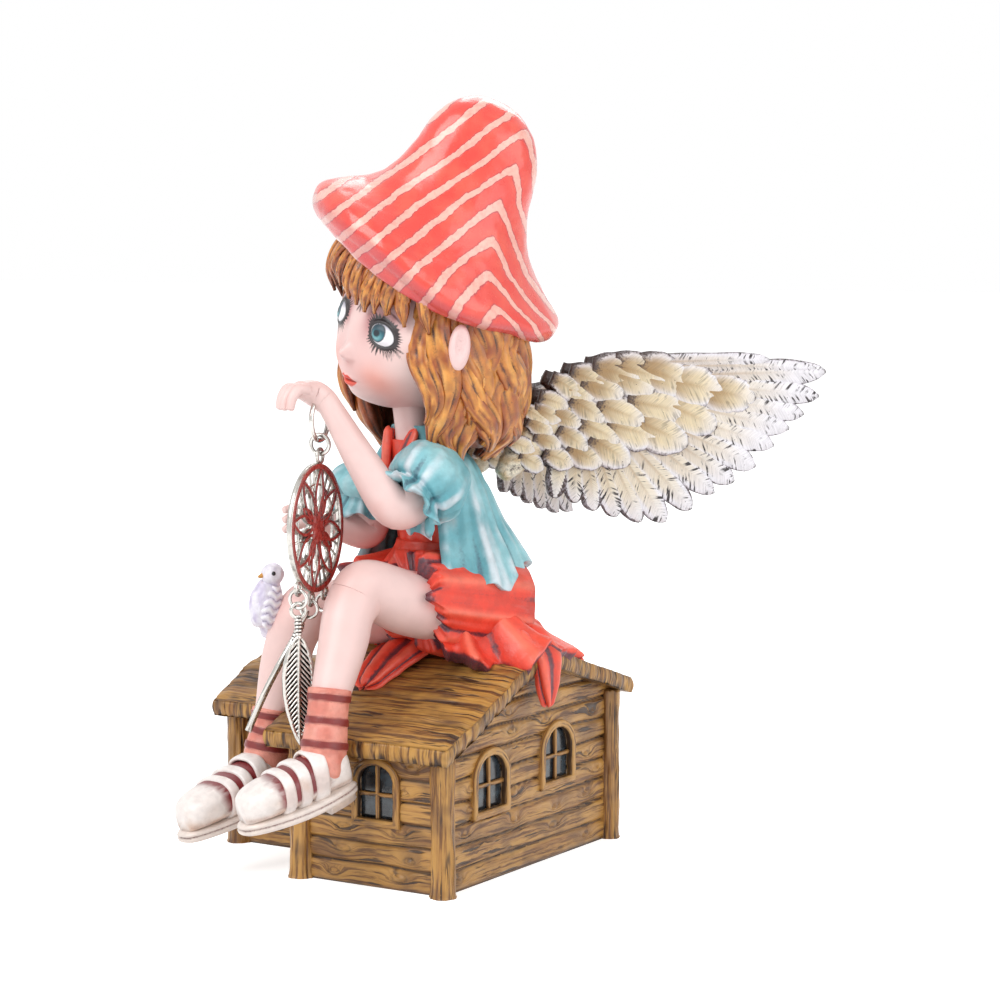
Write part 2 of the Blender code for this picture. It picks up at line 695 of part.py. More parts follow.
def shoe(side, marks):
    """Round-toed shoe: upper, welted sole, heel block and three straps over the instep."""
    heel, toe = on_body(*marks["heel"]), on_body(*marks["toe"])
    ahead = (toe - heel).normalized()
    across = (LEFT - ahead * LEFT.dot(ahead)).normalized()
    above = across.cross(ahead) * (1.0 if across.cross(ahead).z > 0 else -1.0)
    length = (toe - heel).length

    def profile(share):
        width = SHOE_HALF_WIDTH * (0.76 + 0.3 * math.sin(math.pi * min(1.0, share * 0.85)) ** 2)
        tall = SHOE_TALL * (1.0 - 0.32 * share)
        return width, tall

    shares = (-0.1, -0.06, 0.04, 0.2, 0.4, 0.6, 0.78, 0.9, 0.98, 1.02)
    narrow = (0.45, 0.8, 0.97, 1.0, 1.0, 1.03, 1.05, 0.98, 0.74, 0.4)
    sections = []
    for share, shrink in zip(shares, narrow):
        width, tall = profile(max(0.0, share))
        tall = tall * (0.55 + 0.45 * shrink)
        middle = heel + ahead * (length * share) + above * (tall / 2 - SHOE_TALL * 0.1)
        sections.append(ellipse(middle, across, above, width * shrink, tall / 2, 14, 0.8))
    pieces = [loft(f"{side} shoe upper", sections, "Shoe")]
    outline = []
    count = 20
    for k in range(count):
        angle = math.tau * k / count
        share = 0.46 - 0.6 * math.cos(angle)
        width = (SHOE_HALF_WIDTH + 0.5) * (0.86 + 0.16 * math.sin(math.pi * min(1.0, share)))
        outline.append((length * share, width * math.copysign(abs(math.sin(angle)) ** 0.7, math.sin(angle))))
    lower = heel - above * SHOE_TALL * 0.1
    pieces.append(
        prism(
            f"{side} sole",
            outline,
            lambda point: lower + ahead * point[0] + across * point[1] - above * SOLE_THICKNESS,
            lambda point: lower + ahead * point[0] + across * point[1],
            "Shoe",
        )
    )
    heel_depth = SOLE_THICKNESS * 2.0
    block = [point for point in outline if point[0] < length * 0.22]
    block += [(length * 0.22, -SHOE_HALF_WIDTH * 0.8), (length * 0.22, SHOE_HALF_WIDTH * 0.8)]
    block.sort(key=lambda point: math.atan2(point[1], point[0] - length * 0.1))
    pieces.append(
        prism(
            f"{side} heel block",
            block,
            lambda point: lower + ahead * (point[0] + 0.5) + across * (point[1] * 0.92) - above * heel_depth,
            lambda point: lower + ahead * (point[0] + 0.5) + across * (point[1] * 0.92) + above * 0.8,
            "Shoe",
        )
    )
    for k, share in enumerate((0.3, 0.48, 0.65)):
        width, tall = profile(share)
        base = heel + ahead * (length * share) + above * (tall / 2 - SHOE_TALL * 0.1)
        grow = 0.9 if k == 0 else 0.7
        half = STRAP_WIDTH * (0.62 if k == 0 else 0.45)
        rise = 1.15 if k == 0 else 1.0
        rings = []
        for step, swell in ((-half, -0.9), (-half * 0.86, grow), (half * 0.86, grow), (half, -0.9)):
            rings.append(
                ellipse(
                    base + ahead * step,
                    across,
                    above,
                    width + swell * 0.6,
                    (tall / 2) * rise + swell,
                    14,
                    0.8,
                )
            )
        pieces.append(loft(f"{side} strap {k}", rings, "Shoe"))
    return pieces


# Torso, coat and dress


def torso():
    """The dress from the seat to the neckline, and the neck."""
    stations = [
        (0.0, 15.5, 12.5, RIDGE_HEIGHT + 1.0),
        (0.5, 15.0, 12.0, RIDGE_HEIGHT + 10.0),
        (2.5, 11.5, 9.5, RIDGE_HEIGHT + 20.0),
        (5.0, 11.5, 9.0, RIDGE_HEIGHT + 32.0),
        (8.0, 11.0, 8.0, RIDGE_HEIGHT + 43.0),
        (11.0, 6.5, 5.5, NECK_HEIGHT - 2.5),
    ]
    rings = [ellipse(on_body(f, 0, z), LEFT, FORWARD, w, d, 20) for f, w, d, z in stations]
    neck = [
        (on_body(11.0, 0.0, NECK_HEIGHT - 6.0), 4.4, 4.4),
        (on_body(12.0, 0.0, NECK_HEIGHT), 3.9, 3.9),
        (on_body(12.6, 0.0, NECK_HEIGHT + 8.0), 4.2, 4.2),
    ]
    return [loft("dress body", rings, "Dress"), limb("neck", neck, "Skin", count=12, steps=2)]


COAT_HEM_HEIGHT = RIDGE_HEIGHT + 17.0
COAT_OPENING = math.radians(52.0)
COAT_THICKNESS = 2.6
COAT_FOLDS = 7


def coat():
    """A flared cape-like coat: sections open at the front, each an outer and an inner arc."""
    stations = [
        (11.0, 6.6, 5.8, NECK_HEIGHT - 1.0, 0.0),
        (8.2, 13.6, 9.6, NECK_HEIGHT - 7.5, 0.01),
        (6.0, 15.0, 12.4, NECK_HEIGHT - 15.0, 0.02),
        (4.6, 16.4, 14.6, NECK_HEIGHT - 23.0, 0.035),
        (3.4, 18.6, 17.4, COAT_HEM_HEIGHT + 4.0, 0.05),
        (3.0, 20.4, 19.4, COAT_HEM_HEIGHT - 1.0, 0.06),
    ]
    count = 22
    sections = []
    for forward, width, depth, height, wave in stations:
        outer = []
        inner = []
        for k in range(count):
            turn = COAT_OPENING + (math.tau - 2 * COAT_OPENING) * k / (count - 1)
            fold = 1.0 + wave * math.cos(COAT_FOLDS * turn + 0.6)
            rise = UP * (wave * 30.0 * math.cos(2 * turn + 0.7))
            for ring, inset in ((outer, 0.0), (inner, COAT_THICKNESS)):
                spot = on_body(forward, 0.0, height)
                spot += FORWARD * ((depth * fold - inset) * math.cos(turn))
                spot += LEFT * ((width * fold - inset) * math.sin(turn)) + rise
                ring.append(spot)
        sections.append(outer + inner[::-1])
    points = [point for section in sections for point in section]
    size = 2 * count
    faces = []
    for row in range(len(sections) - 1):
        for k in range(size):
            a = row * size + k
            b = row * size + (k + 1) % size
            faces.append((a, b, b + size, a + size))
    for start in (0, (len(sections) - 1) * size):
        for k in range(count - 1):
            faces.append((start + k, start + k + 1, start + size - 2 - k, start + size - 1 - k))
    return solid("coat", points, faces, "Coat")


def sleeve(side, shoulder, puff, cuff, reach):
    """A puffed sleeve whose gathered cuff opens like a frill."""
    outward = LEFT if side == "near" else -LEFT
    path = (cuff - puff).normalized()
    across = (LEFT - path * LEFT.dot(path)).normalized()
    upward = path.cross(across)
    stations = [
        (shoulder, reach * 0.62, 0.0),
        (shoulder.lerp(puff, 0.55) + UP * 0.8, reach * 0.9, 0.03),
        (puff, reach, 0.05),
        (puff.lerp(cuff, 0.62), reach * 0.82, 0.04),
        (cuff - path * 1.6, reach * 0.66, 0.04),
        (cuff + path * 0.8, reach * 0.88, 0.09),
        (cuff + path * 1.8, reach * 0.8, 0.1),
    ]
    count = 18
    rings = []
    for middle, radius, wave in stations:
        ring = []
        for k in range(count):
            angle = math.tau * k / count
            swell = radius * (1.0 + wave * math.cos(6 * angle + 0.5))
            ring.append(middle + across * (swell * math.cos(angle)) + upward * (swell * math.sin(angle)))
        rings.append(ring)
    return loft(f"{side} sleeve", rings, "Coat", (shoulder - outward * 2.0, cuff - path * 1.2))


SKIRT_FOLDS = 11
# How far the hem reaches from the seat, by the angle from straight ahead towards her left
SKIRT_REACH = (
    (0, 25.0, 19.5),
    (30, 25.0, 17.0),
    (55, 23.0, 6.0),
    (75, 25.0, 0.0),
    (90, 30.5, 0.0),
    (110, 30.5, 0.0),
    (135, 27.0, 0.0),
    (180, 22.0, 0.0),
    (225, 19.0, 0.0),
    (270, 19.0, 0.0),
    (305, 22.0, 5.0),
    (335, 25.0, 16.0),
    (360, 25.0, 19.5),
)


def skirt_reach(degrees):
    """Reach of the hem, and its height over the roof, at an angle."""
    for (a, reach_a, lift_a), (b, reach_b, lift_b) in zip(SKIRT_REACH, SKIRT_REACH[1:]):
        if a <= degrees <= b:
            share = (degrees - a) / (b - a)
            ease = share * share * (3 - 2 * share)
            return reach_a + (reach_b - reach_a) * ease, lift_a + (lift_b - lift_a) * ease
    return SKIRT_REACH[0][1:]


def skirt():
    """The folded skirt, gathered at the waist and spread over the thighs and the roof."""
    count = 44
    levels = ((0.0, 0.0), (0.14, 0.30), (0.42, 0.66), (0.74, 0.90), (1.0, 1.0))
    waist = RIDGE_HEIGHT + 24.0
    sections = []
    for out, down in levels:
        ring = []
        for k in range(count):
            degrees = 360.0 * k / count
            angle = math.radians(degrees)
            reach, lift = skirt_reach(degrees)
            fold = 1.0 + 0.075 * out * math.cos(SKIRT_FOLDS * angle + 0.9)
            start = 10.0
            far = (start + (reach - start) * out) * fold
            spot = on_body(4.0 * (1 - out) + far * math.cos(angle), far * math.sin(angle), 0.0)
            x = min(spot.x, HOUSE_RIGHT + ROOF_OVERHANG + 1.2)
            spot.x = x
            ground = roof_height(spot.y) + lift + 0.9 + 0.9 * math.cos(SKIRT_FOLDS * angle)
            ridge = 0.8 * math.cos(SKIRT_FOLDS * angle + 0.9) * out
            spot.z = waist + (ground - waist) * down + ridge * (1 - out)
            ring.append(spot)
        sections.append(ring)
    under = []
    for spot in sections[-1]:
        inward = (on_body(0, 0, 0) - Vector((spot.x, spot.y, 0.0))).normalized()
        low = spot + inward * 2.4
        low.z = spot.z - 3.4
        under.append(low)
    sections.append(under)
    base = on_body(0.0, 0.0, RIDGE_HEIGHT - 3.0)
    return loft("skirt", sections, "Dress", (on_body(4.0, 0.0, waist + 1.0), base))


def skirt_tongues():
    """Cloth that hangs between the legs, over the verge of the gable and over the ridge."""
    verge = HOUSE_RIGHT + ROOF_OVERHANG
    between = [
        (on_body(8.0, -1.0, roof_height(SEAT_Y - 8.0) + 2.5), 8.0, 3.0),
        (on_body(17.0, -1.0, roof_height(SEAT_Y - 16.0) + 1.8), 7.0, 2.6),
        (on_body(25.5, 1.0, roof_height(SEAT_Y - 25.0) + 0.9), 4.2, 2.0),
    ]
    drip = [
        (Vector((verge - 4.0, 1.0, RIDGE_HEIGHT + 0.8)), 6.0, 2.6),
        (Vector((verge + 0.2, 0.4, RIDGE_HEIGHT - 3.0)), 5.4, 1.9),
        (Vector((verge + 0.5, 0.2, RIDGE_HEIGHT - 9.0)), 3.6, 1.7),
        (Vector((verge + 0.2, 0.8, RIDGE_HEIGHT - 13.6)), 1.6, 1.3),
    ]
    tail = [
        (on_body(-14.0, 12.0, RIDGE_HEIGHT + 1.0), 5.0, 2.6),
        (Vector((verge - 8.0, 13.0, roof_height(13.0) + 1.0)), 5.6, 2.0),
        (Vector((verge - 3.0, 19.0, roof_height(19.0) + 0.6)), 3.0, 1.4),
    ]
    return [
        limb("tongue between", between, "Dress", side=LEFT, count=10, steps=2),
        limb("tongue over verge", drip, "Dress", side=Vector((0, 1, 0)), count=10, steps=2),
        limb("tongue behind", tail, "Dress", side=Vector((0, 1, 0)), count=10, steps=2),
    ]


# Arms and hands

NEAR_SHOULDER = (9.0, 11.0, NECK_HEIGHT - 8.0)
NEAR_PUFF = (17.0, 13.0, NECK_HEIGHT - 12.0)
NEAR_CUFF = (22.4, 12.8, NECK_HEIGHT - 15.6)
NEAR_ELBOW = (27.4, 12.0, NECK_HEIGHT - 18.4)
NEAR_WRIST = (37.6, 3.0, NECK_HEIGHT + 5.2)
FAR_SHOULDER = (10.0, -11.0, NECK_HEIGHT - 8.0)
FAR_PUFF = (15.4, -13.6, NECK_HEIGHT - 13.0)
FAR_CUFF = (15.6, -14.2, NECK_HEIGHT - 18.5)
FAR_ELBOW = (13.4, -14.2, NECK_HEIGHT - 26.0)
FAR_WRIST = (28.4, -15.2, NECK_HEIGHT - 22.6)

# The hole through the raised hand carries the ring, so both take their place from here
HOLD_POINT = (38.9, -0.6, NECK_HEIGHT + 8.2)
HOLD_HOLE = 1.15
HAND_HALF_WIDTH = 3.4
FINGER_RADIUS = 1.25


def near_hand():
    """The raised hand: an arched palm with four fingers curled down in front, and the thumb."""
    hold = on_body(*HOLD_POINT)
    wrist = on_body(*NEAR_WRIST)
    palm = [
        (wrist, 2.6, 2.9),
        (wrist.lerp(hold, 0.5) + FORWARD * 0.6 + UP * 1.2, HAND_HALF_WIDTH - 0.5, 3.0),
        (hold + FORWARD * 1.8 + UP * 1.4, HAND_HALF_WIDTH, 3.0),
        (hold + FORWARD * 5.4 + UP * 2.4, HAND_HALF_WIDTH - 0.2, 2.2),
    ]
    pieces = [limb("near palm", palm, "Skin", count=14, steps=2)]
    for k, (aside, reach) in enumerate(((2.5, 0.9), (0.85, 1.0), (-0.85, 0.96), (-2.4, 0.8))):
        knuckle = hold + FORWARD * 5.2 + UP * 2.4 + LEFT * aside
        finger = [
            (knuckle, FINGER_RADIUS, FINGER_RADIUS),
            (knuckle + FORWARD * 2.8 * reach + UP * 0.1, FINGER_RADIUS, FINGER_RADIUS),
            (knuckle + FORWARD * 4.8 * reach - UP * 1.7, FINGER_RADIUS * 0.92, FINGER_RADIUS * 0.92),
            (knuckle + FORWARD * 5.6 * reach - UP * 4.2, FINGER_RADIUS * 0.8, FINGER_RADIUS * 0.8),
        ]
        pieces.append(limb(f"near finger {k}", finger, "Skin", count=8, steps=2))
    return pieces


def far_hand():
    """The lowered hand, held beside the disc."""
    wrist = on_body(*FAR_WRIST)
    palm = [
        (wrist, 2.8, 2.6),
        (wrist + FORWARD * 3.6 + UP * 0.8, 3.4, 2.2),
        (wrist + FORWARD * 6.6 + UP * 1.2, 3.0, 1.9),
    ]
    pieces = [limb("far palm", palm, "Skin", count=10, steps=2)]
    for k, lift in enumerate((3.6, 1.6, -0.4)):
        start = wrist + FORWARD * 5.6 + UP * lift * 0.6
        finger = [
            (start, 1.2, 1.2),
            (start + FORWARD * 2.6 + UP * lift * 0.4, 1.15, 1.15),
            (start + FORWARD * 4.8 + UP * (lift * 0.6 - 0.8), 0.9, 0.9),
        ]
        pieces.append(limb(f"far finger {k}", finger, "Skin", count=8, steps=2))
    return pieces


def arms():
    """Both arms, from inside their sleeves to the wrists."""
    near = [
        (on_body(*NEAR_CUFF) - FORWARD * 3.0, 4.8, 4.8),
        (on_body(*NEAR_ELBOW) - FORWARD * 0.6 + UP * 1.2, 4.9, 4.9),
        (on_body(*NEAR_ELBOW).lerp(on_body(*NEAR_WRIST), 0.5), 3.9, 4.0),
        (on_body(*NEAR_WRIST), 2.7, 2.9),
    ]
    far = [
        (on_body(*FAR_CUFF) + UP * 2.0, 4.8, 4.8),
        (on_body(*FAR_ELBOW) + FORWARD * 1.0 + UP * 1.0, 4.8, 4.8),
        (on_body(*FAR_ELBOW).lerp(on_body(*FAR_WRIST), 0.6), 3.6, 3.7),
        (on_body(*FAR_WRIST), 2.8, 2.6),
    ]
    return [
        limb("near arm", near, "Skin", count=14, steps=2),
        limb("far arm", far, "Skin", count=14, steps=2),
    ]


# Head, hair and hat


def head():
    """Round skull narrowing to a small chin, with a nose, lips and one ear beyond the hair."""
    shape = bmesh.new()
    bmesh.ops.create_uvsphere(shape, u_segments=22, v_segments=14, radius=1.0)
    for vertex in shape.verts:
        ahead, aside, rise = vertex.co
        low = max(0.0, -rise - 0.1)
        narrow = 1.0 - 0.42 * low**1.5
        fore = 1.0 + (0.04 if ahead > 0 else 0.0) - 0.12 * low**2
        push = 2.2 * low * max(0.0, ahead)
        brow = -0.8 * math.exp(-((rise - 0.02) ** 2) / 0.02) * max(0.0, ahead) ** 4
        nose = 3.4 * math.exp(-((rise + 0.22) ** 2) / 0.012 - aside**2 / 0.012) * max(0.0, ahead)
        vertex.co = on_head(
            HEAD_DEPTH / 2 * ahead * fore + push * 0.4 + brow + nose,
            HEAD_WIDTH / 2 * aside * narrow,
            HEAD_TALL / 2 * rise,
        )
    pieces = [from_shape("head", shape, "Skin")]
    for side, sign in (("near", 1.0), ("far", -1.0)):
        middle = on_head(5.6, sign * (HEAD_WIDTH / 2 + 0.2), -4.0)
        tilt = (UP - FORWARD * 0.25).normalized()
        axes = (FORWARD, LEFT, tilt)
        pieces.append(ball(f"{side} ear", middle, (3.0, 2.0, 5.4), "Skin", axes, 12, 8))
    return pieces


def hair_volume():
    """The hair round the back of the head, with its locks carved as wavy ridges."""
    stations = (
        (17.0, 0.86, 0.30),
        (8.0, 0.97, 0.55),
        (0.0, 1.0, 0.8),
        (-7.0, 0.98, 1.0),
        (-13.5, 0.99, 1.1),
        (-19.5, 0.93, 1.2),
        (-25.0, 0.82, 1.3),
        (-29.5, 0.62, 1.3),
    )
    per_lock = 3
    count = LOCK_COUNT * per_lock
    rings = []
    for height, wide, carved in stations:
        sway = LOCK_SWAY * math.sin(math.tau * (height + 4.0) / LOCK_WAVE)
        ring = []
        for k in range(count):
            turn = math.tau * k / count
            lock = k // per_lock
            swing = sway * (1.0 if lock % 2 else 0.7)
            ridge = 0.0 if k % per_lock == 0 else LOCK_DEPTH * carved
            fall = 1.6 * math.sin(lock * 2.4) * (1.0 if height < -20.0 else 0.0)
            ring.append(
                on_head(
                    HAIR_BACK + (HAIR_DEPTH / 2 * wide - LOCK_DEPTH + ridge) * math.cos(turn + swing),
                    (HAIR_WIDTH / 2 * wide - LOCK_DEPTH + ridge) * math.sin(turn + swing),
                    height + fall,
                )
            )
        rings.append(ring)
    return loft("hair volume", rings, "Hair")


def front_locks():
    """Free locks that fall in front of the ears to the shoulders."""
    pieces = []
    starts = ((11.0, 17.4, -25.0), (14.6, 14.8, -27.5), (6.5, -18.0, -24.0), (10.0, -17.0, -22.0))
    for n, (ahead, aside, bottom) in enumerate(starts):
        path = []
        radii = []
        for k in range(7):
            down = k / 6
            height = 12.0 + (bottom - 12.0) * down
            wave = 1.5 * math.sin(math.tau * 0.95 * down + n)
            path.append(
                on_head(
                    ahead + 2.2 * math.sin(math.pi * down) - 3.2 * down + wave * 0.6,
                    aside * (1.0 - 0.16 * down) + wave * 0.5,
                    height,
                )
            )
            radii.append(LOCK_RADIUS * (0.8 + 0.3 * math.sin(math.pi * min(1.0, down * 1.2))) * (1.0 - 0.7 * down**3))
        pieces.append(tube(f"front lock {n}", path, radii, "Hair", resolution=1))
    return pieces


def fringe():
    """Thick strands of the fringe, swept forward from under the brim."""
    pieces = []
    for n, aside in enumerate((-14.5, -9.0, -3.2, 2.6, 8.2, 13.8)):
        curve = math.sqrt(max(0.05, 1.0 - (aside / 20.5) ** 2))
        out = 20.5 * curve
        drop = 8.2 if abs(aside) < 9 else 4.5
        path = [
            on_head(out - 5.0, aside * 0.92, 18.0),
            on_head(out - 0.6, aside * 0.98, 14.0),
            on_head(out + 1.8, aside, drop + 2.2),
            on_head(out + 0.2, aside * 1.04, drop - 3.8),
        ]
        radii = (3.2, 3.5, 3.0, 0.8)
        pieces.append(tube(f"fringe {n}", path, radii, "Hair", resolution=1))
    return pieces


def hat():
    """A soft mushroom cap: a drooping brim and a lobed crown that leans back and to her left."""
    axis = (UP * 0.877 - FORWARD * HAT_LEAN_BACK + LEFT * HAT_LEAN_LEFT).normalized()
    ahead = (FORWARD - axis * FORWARD.dot(axis)).normalized()
    aside = axis.cross(ahead)
    base = on_body(5.0, -1.0, HEAD_HEIGHT + 17.0)
    profile = [
        (-4.4, 0.60, 0.0),
        (-5.2, 0.86, 0.0),
        (-4.0, 0.96, 0.0),
        (-1.4, 1.0, 0.0),
        (1.4, 0.965, 0.004),
        (5.0, 0.83, 0.01),
        (10.5, 0.66, 0.03),
        (17.0, 0.535, 0.05),
        (24.0, 0.46, 0.06),
        (31.0, 0.41, 0.07),
        (37.0, 0.32, 0.08),
        (40.8, 0.18, 0.07),
    ]
    count = 30
    rings = []
    for rise, share, lobes in profile:
        ring = []
        height = rise * HAT_TALL / 42.0
        drift = (FORWARD - LEFT) * (HAT_CROWN_DRIFT * max(0.0, rise) / 42.0)
        for k in range(count):
            angle = math.tau * k / count
            lobe = 1.0 + lobes * math.cos(3 * angle + 0.6)
            radius = HAT_BRIM_RADIUS * share * lobe
            droop = 2.4 * max(0.0, share - 0.6) / 0.4 * math.cos(2 * angle + math.radians(60.0))
            ring.append(
                base
                + drift
                + ahead * (radius * math.cos(angle))
                + aside * (radius * math.sin(angle))
                + axis * (height + droop)
            )
        rings.append(ring)
    return loft("hat", rings, "Hat", (base, base + axis * HAT_TALL))


# Bird


def bird():
    """A small dove perched against the far knee."""
    chest = on_body(42.0, -18.6, HIP_HEIGHT + 2.6)
    crown = on_body(41.0, -17.2, HIP_HEIGHT + 9.4)
    lean = (UP + FORWARD * -0.25).normalized()
    side = LEFT
    fore = lean.cross(side) * -1.0
    beak = [
        (crown + FORWARD * 1.8 - LEFT * 0.6, 1.0, 0.9),
        (crown + FORWARD * 3.2 - LEFT * 0.9 - UP * 0.3, 0.5, 0.45),
    ]
    tail = [
        (chest - UP * 4.0 - LEFT * 0.6, 2.6, 1.6),
        (chest - UP * 8.0 - LEFT * 1.4 - FORWARD * 1.0, 1.8, 0.9),
    ]
    return [
        ball("bird body", chest, (3.9, 3.7, 6.2), "Bird", (fore, side, lean), 14, 10),
        ball("bird head", crown, (2.7, 2.6, 2.7), "Bird", (fore, side, lean), 12, 8),
        ball("bird wing", chest + LEFT * 2.2 - UP * 0.8, (2.6, 2.0, 5.2), "Bird", (fore, side, lean), 10, 8),
        limb("bird beak", beak, "Bird", count=8, steps=1),
        limb("bird tail", tail, "Bird", count=8, steps=2),
    ]


# Wings

# Outer edge of the wing, as reach from the fan's centre by the angle above the level, in degrees
WING_EDGE = (
    (-46, 22.0),
    (-38, 30.0),
    (-31, 46.0),
    (-25, 62.0),
    (-17, 72.0),
    (-10, 80.0),
    (-3, 88.0),
    (3, 96.0),
    (7.5, 103.0),
    (11, 88.0),
    (17, 60.0),
    (26, 33.0),
)
WING_FAN = (-12.0, 12.0)
# Each row of feathers: where it starts and ends on the fan, half thickness, count, first and last angle
WING_ROWS = (
    (24.0, 33.0, 2.7, 5, 14.0, -36.0),
    (27.0, 42.0, 2.2, 6, 18.0, -34.0),
    (34.0, 53.0, 1.75, 7, 17.0, -28.0),
    (43.0, 100.0, 1.25, 11, 11.5, -27.0),
)


def wing_edge(degrees):
    """Reach of the outline at an angle."""
    for (a, reach_a), (b, reach_b) in zip(WING_EDGE, WING_EDGE[1:]):
        if a <= degrees <= b:
            return reach_a + (reach_b - reach_a) * (degrees - a) / (b - a)
    return WING_EDGE[0][1]


def wing_frame(sign):
    """Root of a wing, and its two directions: out to the tip and through the thickness."""
    root = on_body(-WING_ROOT_BACK, sign * WING_ROOT_SPREAD, WING_ROOT_HEIGHT)
    outward = -FORWARD * math.cos(WING_SWEEP) + LEFT * (sign * math.sin(WING_SWEEP))
    through = UP.cross(outward)
    return root, outward, through


def wing_feather(name, place, tilt, begin, end, half_width, half_thick):
    """A round-ended vane with a raised shaft on both faces."""
    ahead = Vector((math.cos(tilt), math.sin(tilt)))
    aside = Vector((-ahead.y, ahead.x))
    centre = Vector(WING_FAN)
    length = end - begin
    stations = ((0.0, 0.6), (0.6, 1.0), (0.92, 0.78))
    rings = []
    for share, wide in stations:
        middle = centre + ahead * (begin + length * share)
        thick = half_thick * (1.0 - 0.35 * share)
        ring = []
        for lateral, normal in ((1.0, 0.0), (0.0, 1.0), (-1.0, 0.0), (0.0, -1.0)):
            spot = middle + aside * (half_width * wide * lateral)
            ring.append(place(spot.x, spot.y, thick * normal))
        rings.append(ring)
    tip = centre + ahead * end
    root = centre + ahead * begin
    return loft(name, rings, "Wing", (place(root.x, root.y, 0.0), place(tip.x, tip.y, 0.0)))


def wing(name, sign):
    """Arm, rows of feathers and the peg that seats in the coat."""
    root, outward, through = wing_frame(sign)

    def place(reach, rise, depth):
        bow = 2.4 * math.sin(min(1.0, max(0.0, reach / 86.0)) * math.pi)
        return root + outward * reach + UP * rise + through * (depth + bow * sign)

    arm = [
        (place(0.5, 0.0, 0.0), 4.2, 3.2),
        (place(10.0, 6.0, 0.0), 4.0, 2.8),
        (place(21.0, 17.0, 0.0), 4.0, 2.6),
        (place(38.0, 25.0, 0.0), 3.0, 2.0),
        (place(56.0, 27.0, 0.0), 1.6, 1.2),
    ]
    pieces = [limb(f"{name} arm", arm, "Wing", side=UP.cross(through), count=10, steps=2)]
    for row, (begin, end, thick, count, first, last) in enumerate(WING_ROWS):
        for k in range(count):
            degrees = first + (last - first) * k / (count - 1)
            reach = min(end, wing_edge(degrees))
            pitch = math.radians(abs(first - last) / (count - 1))
            half_width = min(5.2, 0.62 * pitch * (begin + reach) / 2 + 0.9)
            pieces.append(
                wing_feather(
                    f"{name} feather {row} {k}",
                    place,
                    math.radians(degrees),
                    begin - 3.0,
                    reach,
                    half_width,
                    thick + 0.12 * (k % 2),
                )
            )
    inward = (FORWARD * math.cos(WING_SWEEP) - LEFT * (sign * math.sin(WING_SWEEP))).normalized()
    start = root + outward * 2.0
    end = root + inward * WING_PEG_LENGTH
    pieces.append(tube(f"{name} peg", [start, end], [WING_PEG_RADIUS] * 2, "Wing"))
    return join(name, pieces, WING_FACETS)


def wing_socket(sign):
    """The hole in the coat's back for a wing's peg, with its clearance."""
    root, outward, _ = wing_frame(sign)
    start = root + outward * 12.0
    end = root - outward * (WING_PEG_LENGTH + SEAT_GAP)
    return tube("wing socket", [start, end], [WING_PEG_RADIUS + SEAT_GAP] * 2, "Coat")


# Charm

# The disc's plane, upright and turned from the front of the house
DISC_NORMAL = Vector((math.sin(CHARM_TURN), math.cos(CHARM_TURN), 0.0))
DISC_ALONG = UP.cross(DISC_NORMAL)
# The disc's own directions, swung a little forward on its link
DISC_UP = UP * math.cos(DISC_TILT) + DISC_ALONG * math.sin(DISC_TILT)
DISC_ACROSS = DISC_UP.cross(DISC_NORMAL)


def ring(name, centre, along, radius, wire, sides=12, resolution=0):
    """A closed wire ring in the plane of one level direction and the vertical."""
    path = [
        centre + along * (radius * math.cos(math.tau * k / sides)) + UP * (radius * math.sin(math.tau * k / sides))
        for k in range(sides)
    ]
    return tube(name, path, [wire / 2] * sides, "Silver", closed=True, resolution=resolution)


def charm_places():
    """Heights and centres of the hanging chain, each link resting on the one above."""
    hold = on_body(*HOLD_POINT)
    ring_centre = hold - UP * HAND_RING_RADIUS
    ring_bottom = ring_centre - UP * HAND_RING_RADIUS
    contact = (WIRE + LINK_WIRE) / 2 + SEAT_GAP
    link_centre = ring_bottom + UP * contact - UP * LINK_RADIUS
    link_bottom = link_centre - UP * LINK_RADIUS
    bail_contact = (LINK_WIRE + EYE_WIRE) / 2 + SEAT_GAP
    bail_centre = link_bottom + UP * bail_contact - UP * EYE_RADIUS
    disc_centre = bail_centre - DISC_UP * (EYE_RADIUS + DISC_RADIUS)
    return {
        "hold": hold,
        "ring": ring_centre,
        "ring bottom": ring_bottom,
        "link": link_centre,
        "link bottom": link_bottom,
        "bail": bail_centre,
        "disc": disc_centre,
    }


TAB_ANGLES = (-118.0, -90.0, -62.0)


def disc_point(centre, radius, degrees, depth=0.0):
    """A point of the disc by radius and angle in its own plane."""
    angle = math.radians(degrees)
    flat = DISC_ACROSS * (radius * math.cos(angle)) + DISC_UP * (radius * math.sin(angle))
    return centre + flat + DISC_NORMAL * depth


def disc_windows():
    """The openings of the disc as (radius, degrees) marks: leaves round the hub, and drops outside them."""
    pitch = 360.0 / PETALS
    edge = DISC_RADIUS - DISC_RIM
    start = HUB_RADIUS + WEB
    span = PETAL_REACH - start
    windows = []
    for k in range(PETALS):
        middle = pitch * k
        leaf = [(start, 0.0), (start + span * 0.45, 0.3), (PETAL_REACH, 0.0), (start + span * 0.45, -0.3)]
        drop = [(PETAL_REACH - 2.0, 0.5), (edge, 0.6), (edge, 0.4)]
        side = [(PETAL_REACH + 1.0, 0.17), (edge, 0.28), (edge, 0.07)]
        other = [(reach, 1.0 - share) for reach, share in side]
        for marks in (leaf, drop, side, other):
            windows.append([(reach, middle + share * pitch) for reach, share in marks])
    return windows


